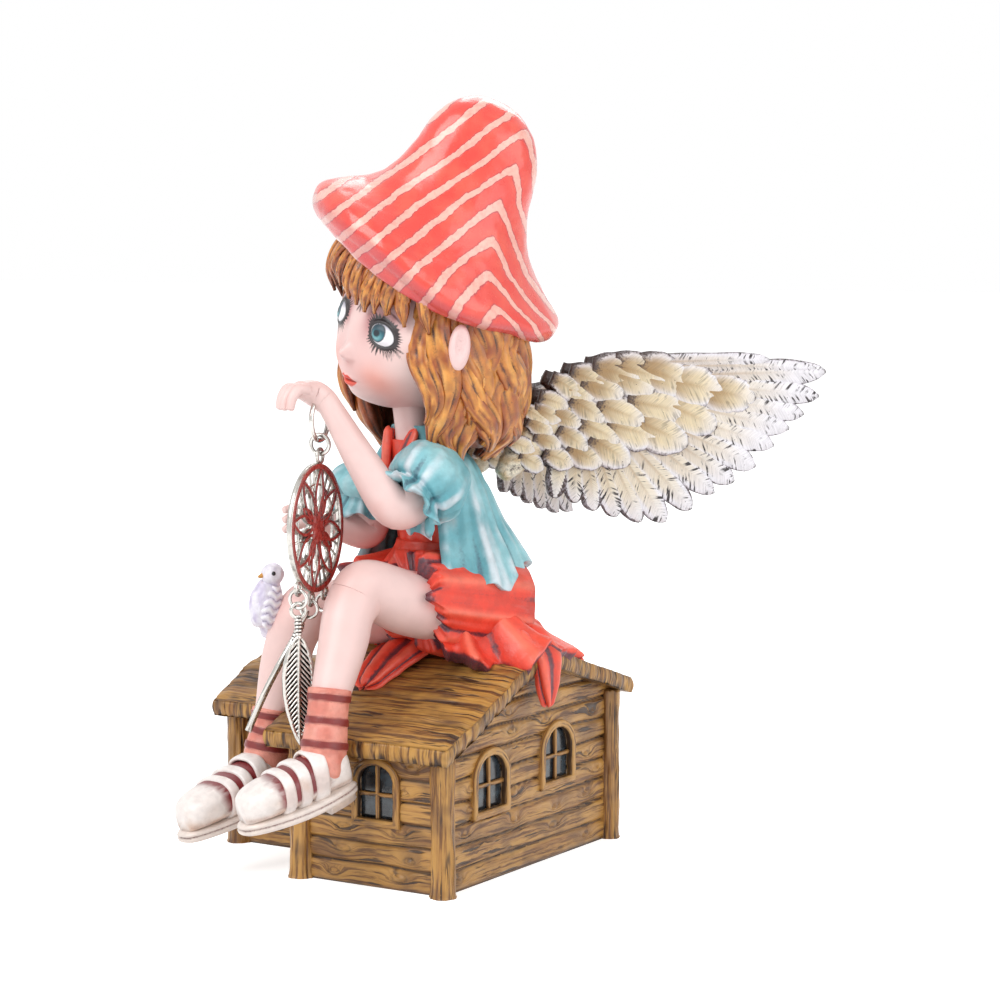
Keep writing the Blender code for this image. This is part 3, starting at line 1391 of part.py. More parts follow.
def disc(places):
    """A pierced plate with a raised rim and hub, a bail above and three tabs below."""
    centre = places["disc"]
    sides = 24
    curve = bpy.data.curves.new("plate", "CURVE")
    curve.dimensions = "2D"
    curve.fill_mode = "BOTH"
    curve.extrude = DISC_THICKNESS * 0.34
    edge = [(DISC_RADIUS - 0.4, 360.0 * k / sides) for k in range(sides)]
    for marks in [edge] + disc_windows():
        line = curve.splines.new("POLY")
        line.points.add(len(marks) - 1)
        line.use_cyclic_u = True
        for knot, (reach, degrees) in zip(line.points, marks):
            angle = math.radians(degrees)
            knot.co = (reach * math.cos(angle), reach * math.sin(angle), 0.0, 1.0)
    flat = bpy.data.objects.new("plate curve", curve)
    PARTS.objects.link(flat)
    graph = bpy.context.evaluated_depsgraph_get()
    mesh = bpy.data.meshes.new_from_object(flat.evaluated_get(graph))
    bpy.data.objects.remove(flat)
    stand = Matrix((DISC_ACROSS, DISC_UP, DISC_NORMAL)).transposed().to_4x4()
    mesh.transform(Matrix.Translation(centre) @ stand)
    shape = bmesh.new()
    shape.from_mesh(mesh)
    bmesh.ops.remove_doubles(shape, verts=shape.verts, dist=WELD)
    plate = from_shape("plate", shape, "Silver")
    rim = []
    for radius, depth in (
        (DISC_RADIUS - DISC_RIM, -1),
        (DISC_RADIUS - DISC_RIM, 1),
        (DISC_RADIUS, 1),
        (DISC_RADIUS, -1),
    ):
        rim.append(
            [disc_point(centre, radius, 360.0 * k / sides, depth * DISC_THICKNESS / 2) for k in range(sides)]
        )
    points = [point for circle in rim for point in circle]
    faces = []
    for row in range(4):
        for k in range(sides):
            a = row * sides + k
            b = row * sides + (k + 1) % sides
            c = ((row + 1) % 4) * sides
            faces.append((a, b, c + (k + 1) % sides, c + k))
    pieces = [plate, solid("rim", points, faces, "Silver")]
    shape = bmesh.new()
    bmesh.ops.create_cone(
        shape,
        cap_ends=True,
        segments=12,
        radius1=HUB_RADIUS,
        radius2=HUB_RADIUS,
        depth=DISC_THICKNESS,
        matrix=Matrix.Translation(centre) @ stand,
    )
    pieces.append(from_shape("hub", shape, "Silver"))
    pieces.append(ring("bail", places["bail"], DISC_ALONG, EYE_RADIUS, EYE_WIRE, 10))
    for k, degrees in enumerate(TAB_ANGLES):
        pieces.append(ring(f"tab {k}", tab_centre(places, degrees), DISC_ALONG, EYE_RADIUS * TAB_SHARE, EYE_WIRE, 10))
    return join("dreamcatcher_disc", pieces, DISC_FACETS)


def tab_centre(places, degrees):
    """Middle of the loop that carries a jump ring."""
    return disc_point(places["disc"], DISC_RADIUS + EYE_RADIUS * TAB_SHARE, degrees)


# The lean of each jump ring, and the turn about the upright of the feathers on the first two
RING_LEANS = (0.0, math.radians(28.0), 0.0)
FEATHER_YAWS = (math.radians(-52.0), math.radians(15.0))


def charm_feather(name, hang, yaw):
    """A cast feather: eye, bound stem, shaft and a vane with slots between its barbs."""
    across = (Matrix.Rotation(yaw, 3, "Z") @ DISC_ALONG).normalized()
    through = UP.cross(across)
    eye = ring(f"{name} eye", hang, across, EYE_RADIUS, EYE_WIRE, 10)
    stem_top = hang - UP * (EYE_RADIUS - 0.2)
    blade_top = stem_top - UP * 4.2
    pieces = [eye]
    stem = [stem_top, stem_top - UP * 1.4, stem_top - UP * 3.2, blade_top - UP * 1.0]
    pieces.append(tube(f"{name} stem", stem, [0.8, 0.95, 0.85, 0.8], "Silver", resolution=0))
    outline = []
    stations = ((0.0, 0.12), (0.12, 0.64), (0.36, 1.0), (0.62, 0.9), (0.86, 0.5), (1.0, 0.04))
    for down, wide in stations:
        outline.append((FEATHER_WIDTH / 2 * wide, -FEATHER_LENGTH * down))
    outline += [(-x, y) for x, y in reversed(outline)]

    def at(depth):
        return lambda point: blade_top + across * point[0] + UP * point[1] + through * depth

    blade = prism(f"{name} vane", outline, at(-FEATHER_THICKNESS / 2), at(FEATHER_THICKNESS / 2), "Silver")
    slots = []
    for k in range(BARBS):
        down = -FEATHER_LENGTH * (0.16 + 0.7 * k / BARBS)
        wide = FEATHER_WIDTH / 2 * (0.92 - 0.5 * max(0.0, (k - 1.5) / 3.5))
        for sign in (-1.0, 1.0):
            slot = [
                (sign * 0.75, down - 2.0),
                (sign * wide * 0.8, down),
                (sign * wide * 0.8, down - 0.75),
                (sign * 0.75, down - 2.75),
            ]
            slots.append(prism(f"{name} slot {k} {sign}", slot, at(-1.0), at(1.0), "Silver"))
    blade = apply_boolean(blade, slots, "DIFFERENCE")
    shaft = [blade_top + UP * 0.4, blade_top - UP * (FEATHER_LENGTH - 1.2)]
    pieces += [blade, tube(f"{name} shaft", shaft, [0.78, 0.66], "Silver", resolution=0)]
    return join(name, pieces)


def hang_at(obj, point, about=None, lean=0.0):
    """Leans an object about a wire, then moves its origin to the point it swings about."""
    if about is not None:
        swing = Matrix.Translation(about) @ Matrix.Rotation(lean, 4, DISC_ALONG) @ Matrix.Translation(-about)
        obj.data.transform(swing)
        point = swing @ point
    obj.data.transform(Matrix.Translation(-point))
    obj.location = point
    return obj


def charm():
    """The whole hanging chain. Each link's origin is the middle of the wire that carries it."""
    places = charm_places()
    hang_at(ring("hand_ring", places["ring"], DISC_ALONG, HAND_RING_RADIUS, WIRE, 18, 1), places["hold"])
    hang_at(ring("link_ring", places["link"], DISC_NORMAL, LINK_RADIUS, LINK_WIRE), places["ring bottom"])
    hang_at(disc(places), places["link bottom"])
    jump_contact = (EYE_WIRE + JUMP_WIRE) / 2 + SEAT_GAP
    for k, degrees in enumerate(TAB_ANGLES):
        tab = tab_centre(places, degrees)
        tab_bottom = tab - UP * (EYE_RADIUS * TAB_SHARE)
        jump = tab_bottom + UP * jump_contact - UP * JUMP_RADIUS
        jump_bottom = jump - UP * JUMP_RADIUS
        link = ring(f"feather_ring_{k + 1}", jump, DISC_NORMAL, JUMP_RADIUS, JUMP_WIRE, 10)
        hang_at(link, tab_bottom, tab_bottom, RING_LEANS[k])
        if k < len(FEATHER_YAWS):
            hang = jump_bottom + UP * jump_contact - UP * EYE_RADIUS
            feather = charm_feather(f"feather_{k + 1}", hang, FEATHER_YAWS[k])
            hang_at(feather, jump_bottom, tab_bottom, RING_LEANS[k])
    return places


def pierced_hand(places):
    """The raised hand, with a tunnel that follows the ring it holds."""
    hand = join("hand", near_hand())
    tunnel = ring("tunnel", places["ring"], DISC_ALONG, HAND_RING_RADIUS, 2 * HOLD_HOLE, 26, 1)
    return apply_boolean(hand, [tunnel], "DIFFERENCE")


def dressed_back():
    """Dress and coat, with the sockets for the two wings."""
    bodice, neck = torso()
    body = apply_boolean(bodice, [coat()], "UNION")
    return [apply_boolean(body, [wing_socket(1.0), wing_socket(-1.0)], "DIFFERENCE"), neck]


def casting(places):
    """Joins the cottage, the fairy and the bird."""
    pieces = [cottage()]
    pieces += dressed_back()
    pieces += [skirt()] + skirt_tongues()
    for side, marks in (("near", NEAR_LEG), ("far", FAR_LEG)):
        pieces.append(leg(side, marks))
        pieces += sock(side, marks)
        pieces += shoe(side, marks)
    pieces += arms()
    pieces.append(pierced_hand(places))
    pieces += far_hand()
    near = (on_body(*NEAR_SHOULDER), on_body(*NEAR_PUFF), on_body(*NEAR_CUFF))
    far = (on_body(*FAR_SHOULDER), on_body(*FAR_PUFF), on_body(*FAR_CUFF))
    pieces.append(sleeve("near", *near, 9.3))
    pieces.append(sleeve("far", *far, 8.4))
    pieces += head()
    pieces += [hair_volume()] + front_locks() + fringe()
    pieces.append(hat())
    pieces += bird()
    return join("figurine_casting", pieces, CASTING_FACETS)


def build():
    """Makes every piece, and turns its millimetres into metres."""
    make_finishes()
    casting(charm())
    wing("wing_left", 1.0)
    wing("wing_right", -1.0)
    for obj in PARTS.objects:
        obj.data.transform(Matrix.Scale(1.0 / METRE, 4))
        obj.location /= METRE


if __name__ == "__main__":
    build()
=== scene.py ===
"""Looks of the seated fairy figurine: painted resin, cast feathers and a plated charm.

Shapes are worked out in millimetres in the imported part's own frame and turned to metres
when a piece is made. Paint that follows a form travels as point attributes, and the fine
detail between the points comes from procedural nodes.
"""

import logging
import math
from math import cos, pi, radians, sin, tau
from dataclasses import dataclass, field
from enum import Enum

import bpy
import numpy as np
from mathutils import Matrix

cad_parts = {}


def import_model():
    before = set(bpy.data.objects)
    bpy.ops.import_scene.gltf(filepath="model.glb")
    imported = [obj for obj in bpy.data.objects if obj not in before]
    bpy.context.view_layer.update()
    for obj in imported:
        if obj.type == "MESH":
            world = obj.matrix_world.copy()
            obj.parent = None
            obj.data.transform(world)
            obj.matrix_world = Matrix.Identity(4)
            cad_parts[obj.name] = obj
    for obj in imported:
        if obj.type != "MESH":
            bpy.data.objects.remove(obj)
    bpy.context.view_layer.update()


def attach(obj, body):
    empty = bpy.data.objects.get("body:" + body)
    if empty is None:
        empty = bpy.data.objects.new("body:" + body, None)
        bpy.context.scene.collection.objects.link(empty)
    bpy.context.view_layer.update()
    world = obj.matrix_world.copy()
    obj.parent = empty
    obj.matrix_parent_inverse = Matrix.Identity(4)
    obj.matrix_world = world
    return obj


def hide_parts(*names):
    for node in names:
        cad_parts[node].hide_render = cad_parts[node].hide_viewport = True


LOG = logging.getLogger("fairy")
MM = 0.001
# A piece with more faces than this keeps this share of them
THIN_FROM = 9000
THIN_SHARE = 0.55


class Slot(str, Enum):
    """Material slots of the record."""

    RESIN = "resin_wood"
    WING = "wing_paint"
    SILVER = "antique_silver"


def vec(*parts: float) -> np.ndarray:
    """A point or a direction."""
    return np.array(parts, float)


def unit(v: np.ndarray) -> np.ndarray:
    """The direction of a vector, or of each row of several."""
    return v / np.maximum(np.linalg.norm(v, axis=-1, keepdims=True), 1e-9)


def turned(v: np.ndarray, degrees: float) -> np.ndarray:
    """A vector turned about the upright."""
    c, s = cos(radians(degrees)), sin(radians(degrees))
    return vec(c * v[0] - s * v[1], s * v[0] + c * v[1], v[2])


UP = vec(0, 0, 1)
RIDGE = 54.0
NECK = RIDGE + 51.0
HIP = RIDGE + 7.0
SEAT = vec(13.6, 3.0, 0)
FORWARD = turned(vec(0, -1, 0), -18.0)
LEFT = turned(vec(1, 0, 0), -18.0)
HEAD_AT = SEAT + FORWARD * 7.0 + UP * (RIDGE + 75.0)
HEAD_F = turned(FORWARD, -4.0)
HEAD_L = turned(LEFT, -4.0)
ROLL = radians(17.0)
FACE_L = HEAD_L * cos(ROLL) - UP * sin(ROLL)
FACE_U = UP * cos(ROLL) + HEAD_L * sin(ROLL)


def on_body(forward, left, height) -> np.ndarray:
    """Points in front of, to the left of and above the seat.

    Args:
        forward: distance ahead, a number or an array.
        left: distance to her left.
        height: height over the table.

    Returns:
        An array whose last axis is x, y, z.
    """
    return SEAT + np.multiply.outer(forward, FORWARD) + np.multiply.outer(left, LEFT) + np.multiply.outer(height, UP)


def on_head(forward, left, height) -> np.ndarray:
    """Points measured from the middle of the head."""
    return HEAD_AT + np.multiply.outer(forward, HEAD_F) + np.multiply.outer(left, HEAD_L) + np.multiply.outer(height, UP)


def smooth(low: float, high: float, x: np.ndarray) -> np.ndarray:
    """A soft step from 0 at low to 1 at high."""
    t = np.clip((x - low) / (high - low), 0, 1)
    return t * t * (3 - 2 * t)


def soft(wave: np.ndarray, power: float) -> np.ndarray:
    """A sine or cosine made blunt, for rounded squares."""
    return np.sign(wave) * np.abs(wave) ** power


def turns(count: int) -> np.ndarray:
    """Even angles round a whole turn."""
    return tau * np.arange(count) / count


def bell(x: np.ndarray, width: float) -> np.ndarray:
    """A soft bump one high and about two widths across."""
    return np.exp(-((x / width) ** 2))


def rgb(code: str) -> np.ndarray:
    """A hex sRGB colour as linear light.

    Args:
        code: six hex digits.

    Returns:
        Three linear channels.
    """
    c = np.array([int(code[i : i + 2], 16) / 255 for i in (0, 2, 4)])
    return np.where(c <= 0.04045, c / 12.92, ((c + 0.055) / 1.055) ** 2.4)


def linear(paint: "str | np.ndarray") -> np.ndarray:
    """Linear light of a hex colour. Linear colours stay as they are."""
    return rgb(paint) if isinstance(paint, str) else paint


def blend(a: "str | np.ndarray", b: "str | np.ndarray", share: np.ndarray) -> np.ndarray:
    """Colours a moved towards b by a share at each point."""
    share = np.asarray(share, float)[..., None]
    return linear(a) * (1 - share) + linear(b) * share


def noise(points: np.ndarray, size: float, seed: int = 0) -> np.ndarray:
    """Smooth value noise from -1 to 1 with cells of one size.

    Args:
        points: places, the last axis x, y, z.
        size: cell size in millimetres, one number or three.
        seed: picks another field.

    Returns:
        One value a point.
    """
    p = points / np.asarray(size, float) + 1000.0
    base = np.floor(p).astype(np.int64)
    f = p - base
    f = f * f * (3 - 2 * f)
    total = 0.0
    for corner in range(8):
        step = np.array([corner & 1, corner >> 1 & 1, corner >> 2])
        q = base + step
        h = (q[..., 0] * 374761393 + q[..., 1] * 668265263 + q[..., 2] * 2147483647 + seed * 97531) & 0xFFFFFFFF
        h = ((h ^ (h >> 13)) * 1274126177) & 0xFFFFFFFF
        h = (h ^ (h >> 16)) / 0xFFFFFFFF
        total = total + h * np.prod(np.where(step, f, 1 - f), axis=-1)
    return total * 2 - 1


def fbm(points: np.ndarray, size: float, octaves: int = 3, seed: int = 0) -> np.ndarray:
    """Noise summed over halving cell sizes."""
    size = np.asarray(size, float)
    return sum(noise(points, size / 2**k, seed + k) / 2**k for k in range(octaves)) / 1.5


def curve(keys, steps: int) -> np.ndarray:
    """Catmull-Rom rows through the keys, ends kept.

    Args:
        keys: rows of equally many numbers.
        steps: rows made for each stretch.

    Returns:
        An array of rows.
    """
    k = np.array(keys, float)
    k = np.vstack([k[:1], k, k[-1:]])
    t = (np.arange(steps) / steps)[:, None]
    out = []
    for i in range(1, len(k) - 2):
        a, b, c, d = k[i - 1 : i + 3]
        out.append(0.5 * (2 * b + (c - a) * t + (2 * a - 5 * b + 4 * c - d) * t**2 + (3 * b - a - 3 * c + d) * t**3))
    return np.vstack(out + [k[-1:]])


@dataclass
class Shell:
    """A surface being built: points in millimetres, faces, and values carried by the points."""

    points: np.ndarray
    quads: np.ndarray
    tris: np.ndarray
    u: np.ndarray
    v: np.ndarray
    paint: np.ndarray = None
    marks: dict = field(default_factory=dict)

    def normals(self) -> np.ndarray:
        """Unit normals at the points."""
        total = np.zeros_like(self.points)
        for faces in (self.quads, self.tris):
            if len(faces):
                p = self.points[faces]
                n = np.cross(p[:, 2] - p[:, 0], p[:, -1] - p[:, 1])
                for k in range(faces.shape[1]):
                    for axis in range(3):
                        total[:, axis] += np.bincount(faces[:, k], n[:, axis], len(total))
        return unit(total)

    def outward(self) -> "Shell":
        """Turns every face out, judged by the volume inside."""
        volume = 0.0
        middle = self.points.mean(0)
        for faces in (self.quads, self.tris):
            for k in range(1, faces.shape[1] - 1):
                a, b, c = (self.points[faces[:, i]] - middle for i in (0, k, k + 1))
                volume += np.einsum("ij,ij", a, np.cross(b, c))
        if volume < 0:
            self.quads = self.quads[:, ::-1]
            self.tris = self.tris[:, ::-1]
        return self

    def push(self, amount: np.ndarray) -> "Shell":
        """Moves the points along their normals."""
        self.points = self.points + self.normals() * np.asarray(amount)[..., None]
        return self

    def colour(self, paint: np.ndarray, **marks: np.ndarray) -> "Shell":
        """Sets the paint, a hex colour or linear ones, and any marks. Wash stays from 0 to 1."""
        self.paint = np.broadcast_to(linear(paint), self.points.shape)
        for name, value in marks.items():
            value = np.asarray(value, float)
            value = np.clip(value, 0, 1) if name == "wash" else value
            self.marks[name] = np.broadcast_to(value, (len(self.points),) + value.shape[1:])
        return self


def loft(rings: np.ndarray, start: np.ndarray = None, end: np.ndarray = None) -> Shell:
    """Joins closed rings and closes both ends on a point.

    Args:
        rings: rows by points by x, y, z.
        start: end point before the first ring, or its middle.
        end: end point after the last ring, or its middle.

    Returns:
        A closed shell. u runs along the rows and v round them, both from 0 to 1.
    """
    rows, cols = rings.shape[:2]
    a = (np.arange(rows - 1)[:, None] * cols + np.arange(cols)[None, :]).ravel()
    b = (np.arange(rows - 1)[:, None] * cols + (np.arange(cols)[None, :] + 1) % cols).ravel()
    quads = np.stack([a, b, b + cols, a + cols], 1)
    first = rings[0].mean(0) if start is None else start
    last = rings[-1].mean(0) if end is None else end
    points = np.vstack([rings.reshape(-1, 3), first, last])
    k = np.arange(cols)
    n = rows * cols
    low = np.stack([(k + 1) % cols, k, np.full(cols, n)], 1)
    high = np.stack([n - cols + k, n - cols + (k + 1) % cols, np.full(cols, n + 1)], 1)
    u = np.append(np.repeat(np.linspace(0, 1, rows), cols), [0, 1])
    v = np.append(np.tile(k / cols, rows), [0, 0])
    return Shell(points, quads, np.vstack([low, high]), u, v).outward()


def merge(shells: list) -> Shell:
    """Several shells as one, with their paint and marks."""
    start = np.cumsum([0] + [len(s.points) for s in shells])
    both = {name for s in shells for name in s.marks}
    out = Shell(
        np.vstack([s.points for s in shells]),
        np.vstack([s.quads + n for s, n in zip(shells, start)]),
        np.vstack([s.tris + n for s, n in zip(shells, start)]),
        np.concatenate([s.u for s in shells]),
        np.concatenate([s.v for s in shells]),
        np.vstack([s.paint for s in shells]) if shells[0].paint is not None else None,
    )
    for name in both:
        out.marks[name] = np.concatenate([s.marks[name] for s in shells])
    return out


def frames(path: np.ndarray, side: np.ndarray) -> tuple:
    """Directions along, across and up for each point of a path.

    Args:
        path: the points.
        side: the direction that across stays nearest to.

    Returns:
        Three arrays of directions.
    """
    ahead = unit(np.gradient(path, axis=0))
    across = unit(side - ahead * (ahead @ side)[:, None] if side.ndim == 1 else side - ahead * np.sum(ahead * side, -1, keepdims=True))
    return ahead, across, np.cross(ahead, across)


def limb(keys, side: np.ndarray = LEFT, count: int = 40, steps: int = 14, ends=(0.5, 0.5), power: float = 1.0) -> Shell:
    """A smooth tapered form along a path, with domed ends.

    Args:
        keys: (point, half width, half height) along the path.
        side: direction that the width lies along.
        count: points in a ring.
        steps: rings for each stretch.
        ends: how far each end domes out, as a share of its width.
        power: under one squares the section.

    Returns:
        The shell.
    """
    rows = curve([(*p, w, h) for p, w, h in keys], steps)
    path = rows[:, :3]
    ahead, across, upward = frames(path, side)
    caps = 6
    turn = turns(count)
    c = np.sign(np.cos(turn)) * np.abs(np.cos(turn)) ** power
    s = np.sign(np.sin(turn)) * np.abs(np.sin(turn)) ** power
    blocks = []
    for index, sign, share in ((0, -1, ends[0]), (-1, 1, ends[1])):
        if share > 0:
            lat = np.linspace(pi / 2, 0, caps + 1)[1:-1]
            centre = path[index] + sign * ahead[index] * (rows[index, 3] * share * np.sin(lat))[:, None]
            size = rows[index, 3:5] * np.cos(lat)[:, None]
            block = (centre, size, index)
            blocks.append(block)
        else:
            blocks.append(None)
    centre, size = path, rows[:, 3:5]
    acr, upw = across, upward
    if blocks[0]:
        centre, size = np.vstack([blocks[0][0], centre]), np.vstack([blocks[0][1], size])
        acr = np.vstack([np.repeat(across[:1], caps - 1, 0), acr])
        upw = np.vstack([np.repeat(upward[:1], caps - 1, 0), upw])
    if blocks[1]:
        centre, size = np.vstack([centre, blocks[1][0][::-1]]), np.vstack([size, blocks[1][1][::-1]])
        acr = np.vstack([acr, np.repeat(across[-1:], caps - 1, 0)])
        upw = np.vstack([upw, np.repeat(upward[-1:], caps - 1, 0)])
    rings = (
        centre[:, None]
        + acr[:, None] * (size[:, 0, None] * c)[..., None]
        + upw[:, None] * (size[:, 1, None] * s)[..., None]
    )
    start = path[0] - ahead[0] * rows[0, 3] * ends[0]
    end = path[-1] + ahead[-1] * rows[-1, 3] * ends[1]
    return loft(rings, start, end)


def ball(centre, radii, axes=(FORWARD, LEFT, UP), rows: int = 30, cols: int = 40) -> Shell:
    """An egg with its own three axes."""
    lat = np.linspace(0, pi, rows + 2)[1:-1]
    lon = turns(cols)
    x = np.sin(lat)[:, None] * np.cos(lon)
    y = np.sin(lat)[:, None] * np.sin(lon)
    z = np.repeat(np.cos(lat)[:, None], cols, 1)
    place = sum(np.multiply.outer(c * r, a) for c, r, a in zip((x, y, z), radii, axes))
    pole = axes[2] * radii[2]
    return loft(centre + place, centre + pole, centre - pole)


def thin(obj: bpy.types.Object) -> None:
    """Drops the points of a dense piece that its shape doesn't need, and keeps the plain mesh."""
    if len(obj.data.polygons) < THIN_FROM:
        return
    modifier = obj.modifiers.new("thin", "DECIMATE")
    modifier.ratio = THIN_SHARE
    graph = bpy.context.evaluated_depsgraph_get()
    mesh = bpy.data.meshes.new_from_object(obj.evaluated_get(graph), preserve_all_data_layers=True, depsgraph=graph)
    obj.modifiers.remove(modifier)
    old, obj.data = obj.data, mesh
    bpy.data.meshes.remove(old)
    mesh.name = obj.name


def make(name: str, shell: Shell, material, body: str = "figurine", slot: Slot = Slot.RESIN, nodes=()) -> bpy.types.Object:
    """Makes a piece of the model, in metres.

    Args:
        name: the piece's name.
        shell: its surface, with paint and marks.
        material: the Blender material.
        body: the CAD body that it rides on.
        slot: the record's material slot; not used.
        nodes: CAD nodes that it stands for.

    Returns:
        The object.
    """
    mesh = bpy.data.meshes.new(name)
    loops = np.concatenate([shell.quads.ravel(), shell.tris.ravel()])
    sizes = np.concatenate([np.full(len(shell.quads), 4), np.full(len(shell.tris), 3)])
    mesh.vertices.add(len(shell.points))
    mesh.vertices.foreach_set("co", (shell.points * MM).astype(np.float32).ravel())
    mesh.loops.add(len(loops))
    mesh.loops.foreach_set("vertex_index", loops.astype(np.int32))
    mesh.polygons.add(len(sizes))
    mesh.polygons.foreach_set("loop_start", np.concatenate([[0], np.cumsum(sizes)[:-1]]).astype(np.int32))
    mesh.update(calc_edges=True)
    mesh.validate()
    if shell.paint is not None:
        rgba = np.ones((len(shell.points), 4), np.float32)
        rgba[:, :3] = shell.paint
        mesh.attributes.new("paint", "FLOAT_COLOR", "POINT").data.foreach_set("color", rgba.ravel())
    for mark, value in shell.marks.items():
        if value.ndim == 1:
            mesh.attributes.new(mark, "FLOAT", "POINT").data.foreach_set("value", value.astype(np.float32))
        else:
            data = mesh.attributes.new(mark, "FLOAT_VECTOR", "POINT").data
            data.foreach_set("vector", value.astype(np.float32).ravel())
    mesh.materials.append(material)
    mesh.polygons.foreach_set("use_smooth", np.ones(len(mesh.polygons), bool))
    obj = bpy.data.objects.new(name, mesh)
    bpy.context.scene.collection.objects.link(obj)
    thin(obj)
    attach(obj, body)
    if nodes:
        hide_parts(*nodes)
    LOG.info("%s: %d faces", name, len(obj.data.polygons))
    return obj


@dataclass(frozen=True)
class Paint:
    """How one paint looks: what settles in its grooves, its gloss and its brushwork."""

    name: str
    wash: str
    rough: tuple = (0.34, 0.5)
    coat: float = 0.15
    mottle: float = 0.08
    mottle_mm: float = 3.0
    bump: float = 0.15
    bump_mm: float = 0.5
    specks: float = 0.0


class Graph:
    """A material's node tree with one small call to add a node."""

    def __init__(self, name: str) -> None:
        self.material = bpy.data.materials.new(name)
        self.material.use_nodes = True
        self.tree = self.material.node_tree
        self.shader = self.tree.nodes["Principled BSDF"]

    def add(self, kind: str, inputs: dict = None, **settings):
        """Adds a node.

        Args:
            kind: Blender's node type.
            inputs: sockets by name or number, each set to a value or linked from a socket.
            settings: attributes of the node.

        Returns:
            The node.
        """
        node = self.tree.nodes.new(kind)
        for key, value in settings.items():
            setattr(node, key, value)
        for key, value in (inputs or {}).items():
            self.set(node.inputs[key], value)
        return node

    def set(self, socket, value) -> None:
        """Sets or links one socket."""
        if isinstance(value, bpy.types.NodeSocket):
            self.tree.links.new(value, socket)
        elif isinstance(value, str):
            socket.default_value = (*rgb(value), 1.0)
        else:
            socket.default_value = value

    def math(self, operation: str, a, b=0.0, clamp: bool = False):
        """A sum of two sockets or numbers."""
        return self.add("ShaderNodeMath", {0: a, 1: b}, operation=operation, use_clamp=clamp).outputs[0]

    def ramp(self, value, low: float, high: float, to_low: float = 0.0, to_high: float = 1.0):
        """A clamped smooth rescaling."""
        node = self.add("ShaderNodeMapRange", {0: value, 1: low, 2: high, 3: to_low, 4: to_high})
        node.interpolation_type = "SMOOTHSTEP"
        return node.outputs[0]

    def mix(self, share, a, b, how: str = "MIX"):
        """One colour over another."""
        node = self.add("ShaderNodeMix", data_type="RGBA", blend_type=how)
        for socket, value in ((node.inputs[0], share), (node.inputs[6], a), (node.inputs[7], b)):
            self.set(socket, value)
        return node.outputs[2]

    def mark(self, name: str):
        """A value that the points carry."""
        return self.add("ShaderNodeAttribute", attribute_name=name)

    def grain(self, size_mm: float, vector=None, detail: float = 3.0, rough: float = 0.55):
        """Noise with cells of a real size, on the object's own coordinates unless others are given."""
        if vector is None:
            vector = self.add("ShaderNodeTexCoord").outputs["Object"]
            size_mm = size_mm * MM
        return self.add(
            "ShaderNodeTexNoise", {"Vector": vector, "Scale": 1 / size_mm, "Detail": detail, "Roughness": rough}
        ).outputs[0]

    def bump(self, height, distance_mm: float, strength: float = 0.5) -> None:
        """Fine relief on the surface."""
        node = self.add("ShaderNodeBump", {"Height": height, "Distance": distance_mm * MM, "Strength": strength})
        self.set(self.shader.inputs["Normal"], node.outputs[0])

    def finish(self, colour, roughness, metallic: float = 0.0, coat: float = 0.0):
        """Links the surface's main sockets and returns the material."""
        self.set(self.shader.inputs["Base Color"], colour)
        self.set(self.shader.inputs["Roughness"], roughness)
        self.set(self.shader.inputs["Metallic"], metallic)
        self.set(self.shader.inputs["Coat Weight"], coat)
        self.set(self.shader.inputs["Coat Roughness"], 0.18)
        return self.material


def painted(paint: Paint):
    """Hand-painted resin: the points' paint with brushy unevenness, and a dark wash where it is cut in. Some pieces
    also carry painted shade in their wash mark.
    """
    g = Graph(paint.name)
    wide = g.grain(paint.mottle_mm)
    fine = g.grain(paint.bump_mm)
    shade = g.ramp(wide, 0.3, 0.7, 1 - paint.mottle, 1 + paint.mottle)
    colour = g.mix(1.0, g.mark("paint").outputs["Color"], g.add("ShaderNodeCombineColor", {0: shade, 1: shade, 2: shade}).outputs[0], "MULTIPLY")
    depth = g.math("ADD", g.mark("wash").outputs["Fac"], g.ramp(fine, 0.4, 0.75, -0.12, 0.12))
    if paint.specks:
        dots = g.grain(0.9, detail=1.0)
        depth = g.math("MAXIMUM", depth, g.ramp(dots, 0.74, 0.78, 0.0, paint.specks))
    colour = g.mix(g.ramp(depth, 0.1, 0.9), colour, paint.wash)
    g.bump(fine, paint.bump)
    return g.finish(colour, g.ramp(wide, 0.3, 0.7, *paint.rough), coat=paint.coat)


def hat_paint():
    """Glossy coral hat: pale hand-painted bands with a thin mauve edge where each groove holds wash."""
    g = Graph("coral_gloss_resin_paint")
    where = g.mark("stripe").outputs["Fac"]
    wobble = g.math("MULTIPLY", g.math("SUBTRACT", g.grain(2.2), 0.5), 0.22)
    part = g.math("FRACT", g.math("ADD", where, wobble))
    away = g.math("ABSOLUTE", g.math("SUBTRACT", part, 0.5))
    band = g.ramp(away, 0.150, 0.138)
    edge = g.math("MULTIPLY", g.ramp(away, 0.125, 0.15), g.ramp(away, 0.2, 0.165))
    red = g.mix(g.ramp(g.grain(6.0), 0.35, 0.7), "E8453A", "EE5A48")
    pale = g.mix(g.ramp(g.grain(1.2), 0.4, 0.7), "F6B9A9", "EFA698")
    colour = g.mix(band, red, pale)
    colour = g.mix(g.math("MULTIPLY", edge, 0.55), colour, "A63C4A")
    # On the hat the wash mark is painted shade on the underside of the cap, mixed towards mauve.
    colour = g.mix(g.math("MULTIPLY", g.mark("wash").outputs["Fac"], 0.6), colour, "8E3550")
    dots = g.ramp(g.grain(0.5, detail=1.0), 0.78, 0.8, 0.0, 0.5)
    colour = g.mix(g.math("MULTIPLY", dots, band), colour, "8C5A55")
    g.bump(g.math("SUBTRACT", g.grain(2.5), g.math("MULTIPLY", edge, 0.6)), 0.16)
    return g.finish(colour, g.ramp(g.grain(4.0), 0.3, 0.7, 0.2, 0.32), coat=0.45)


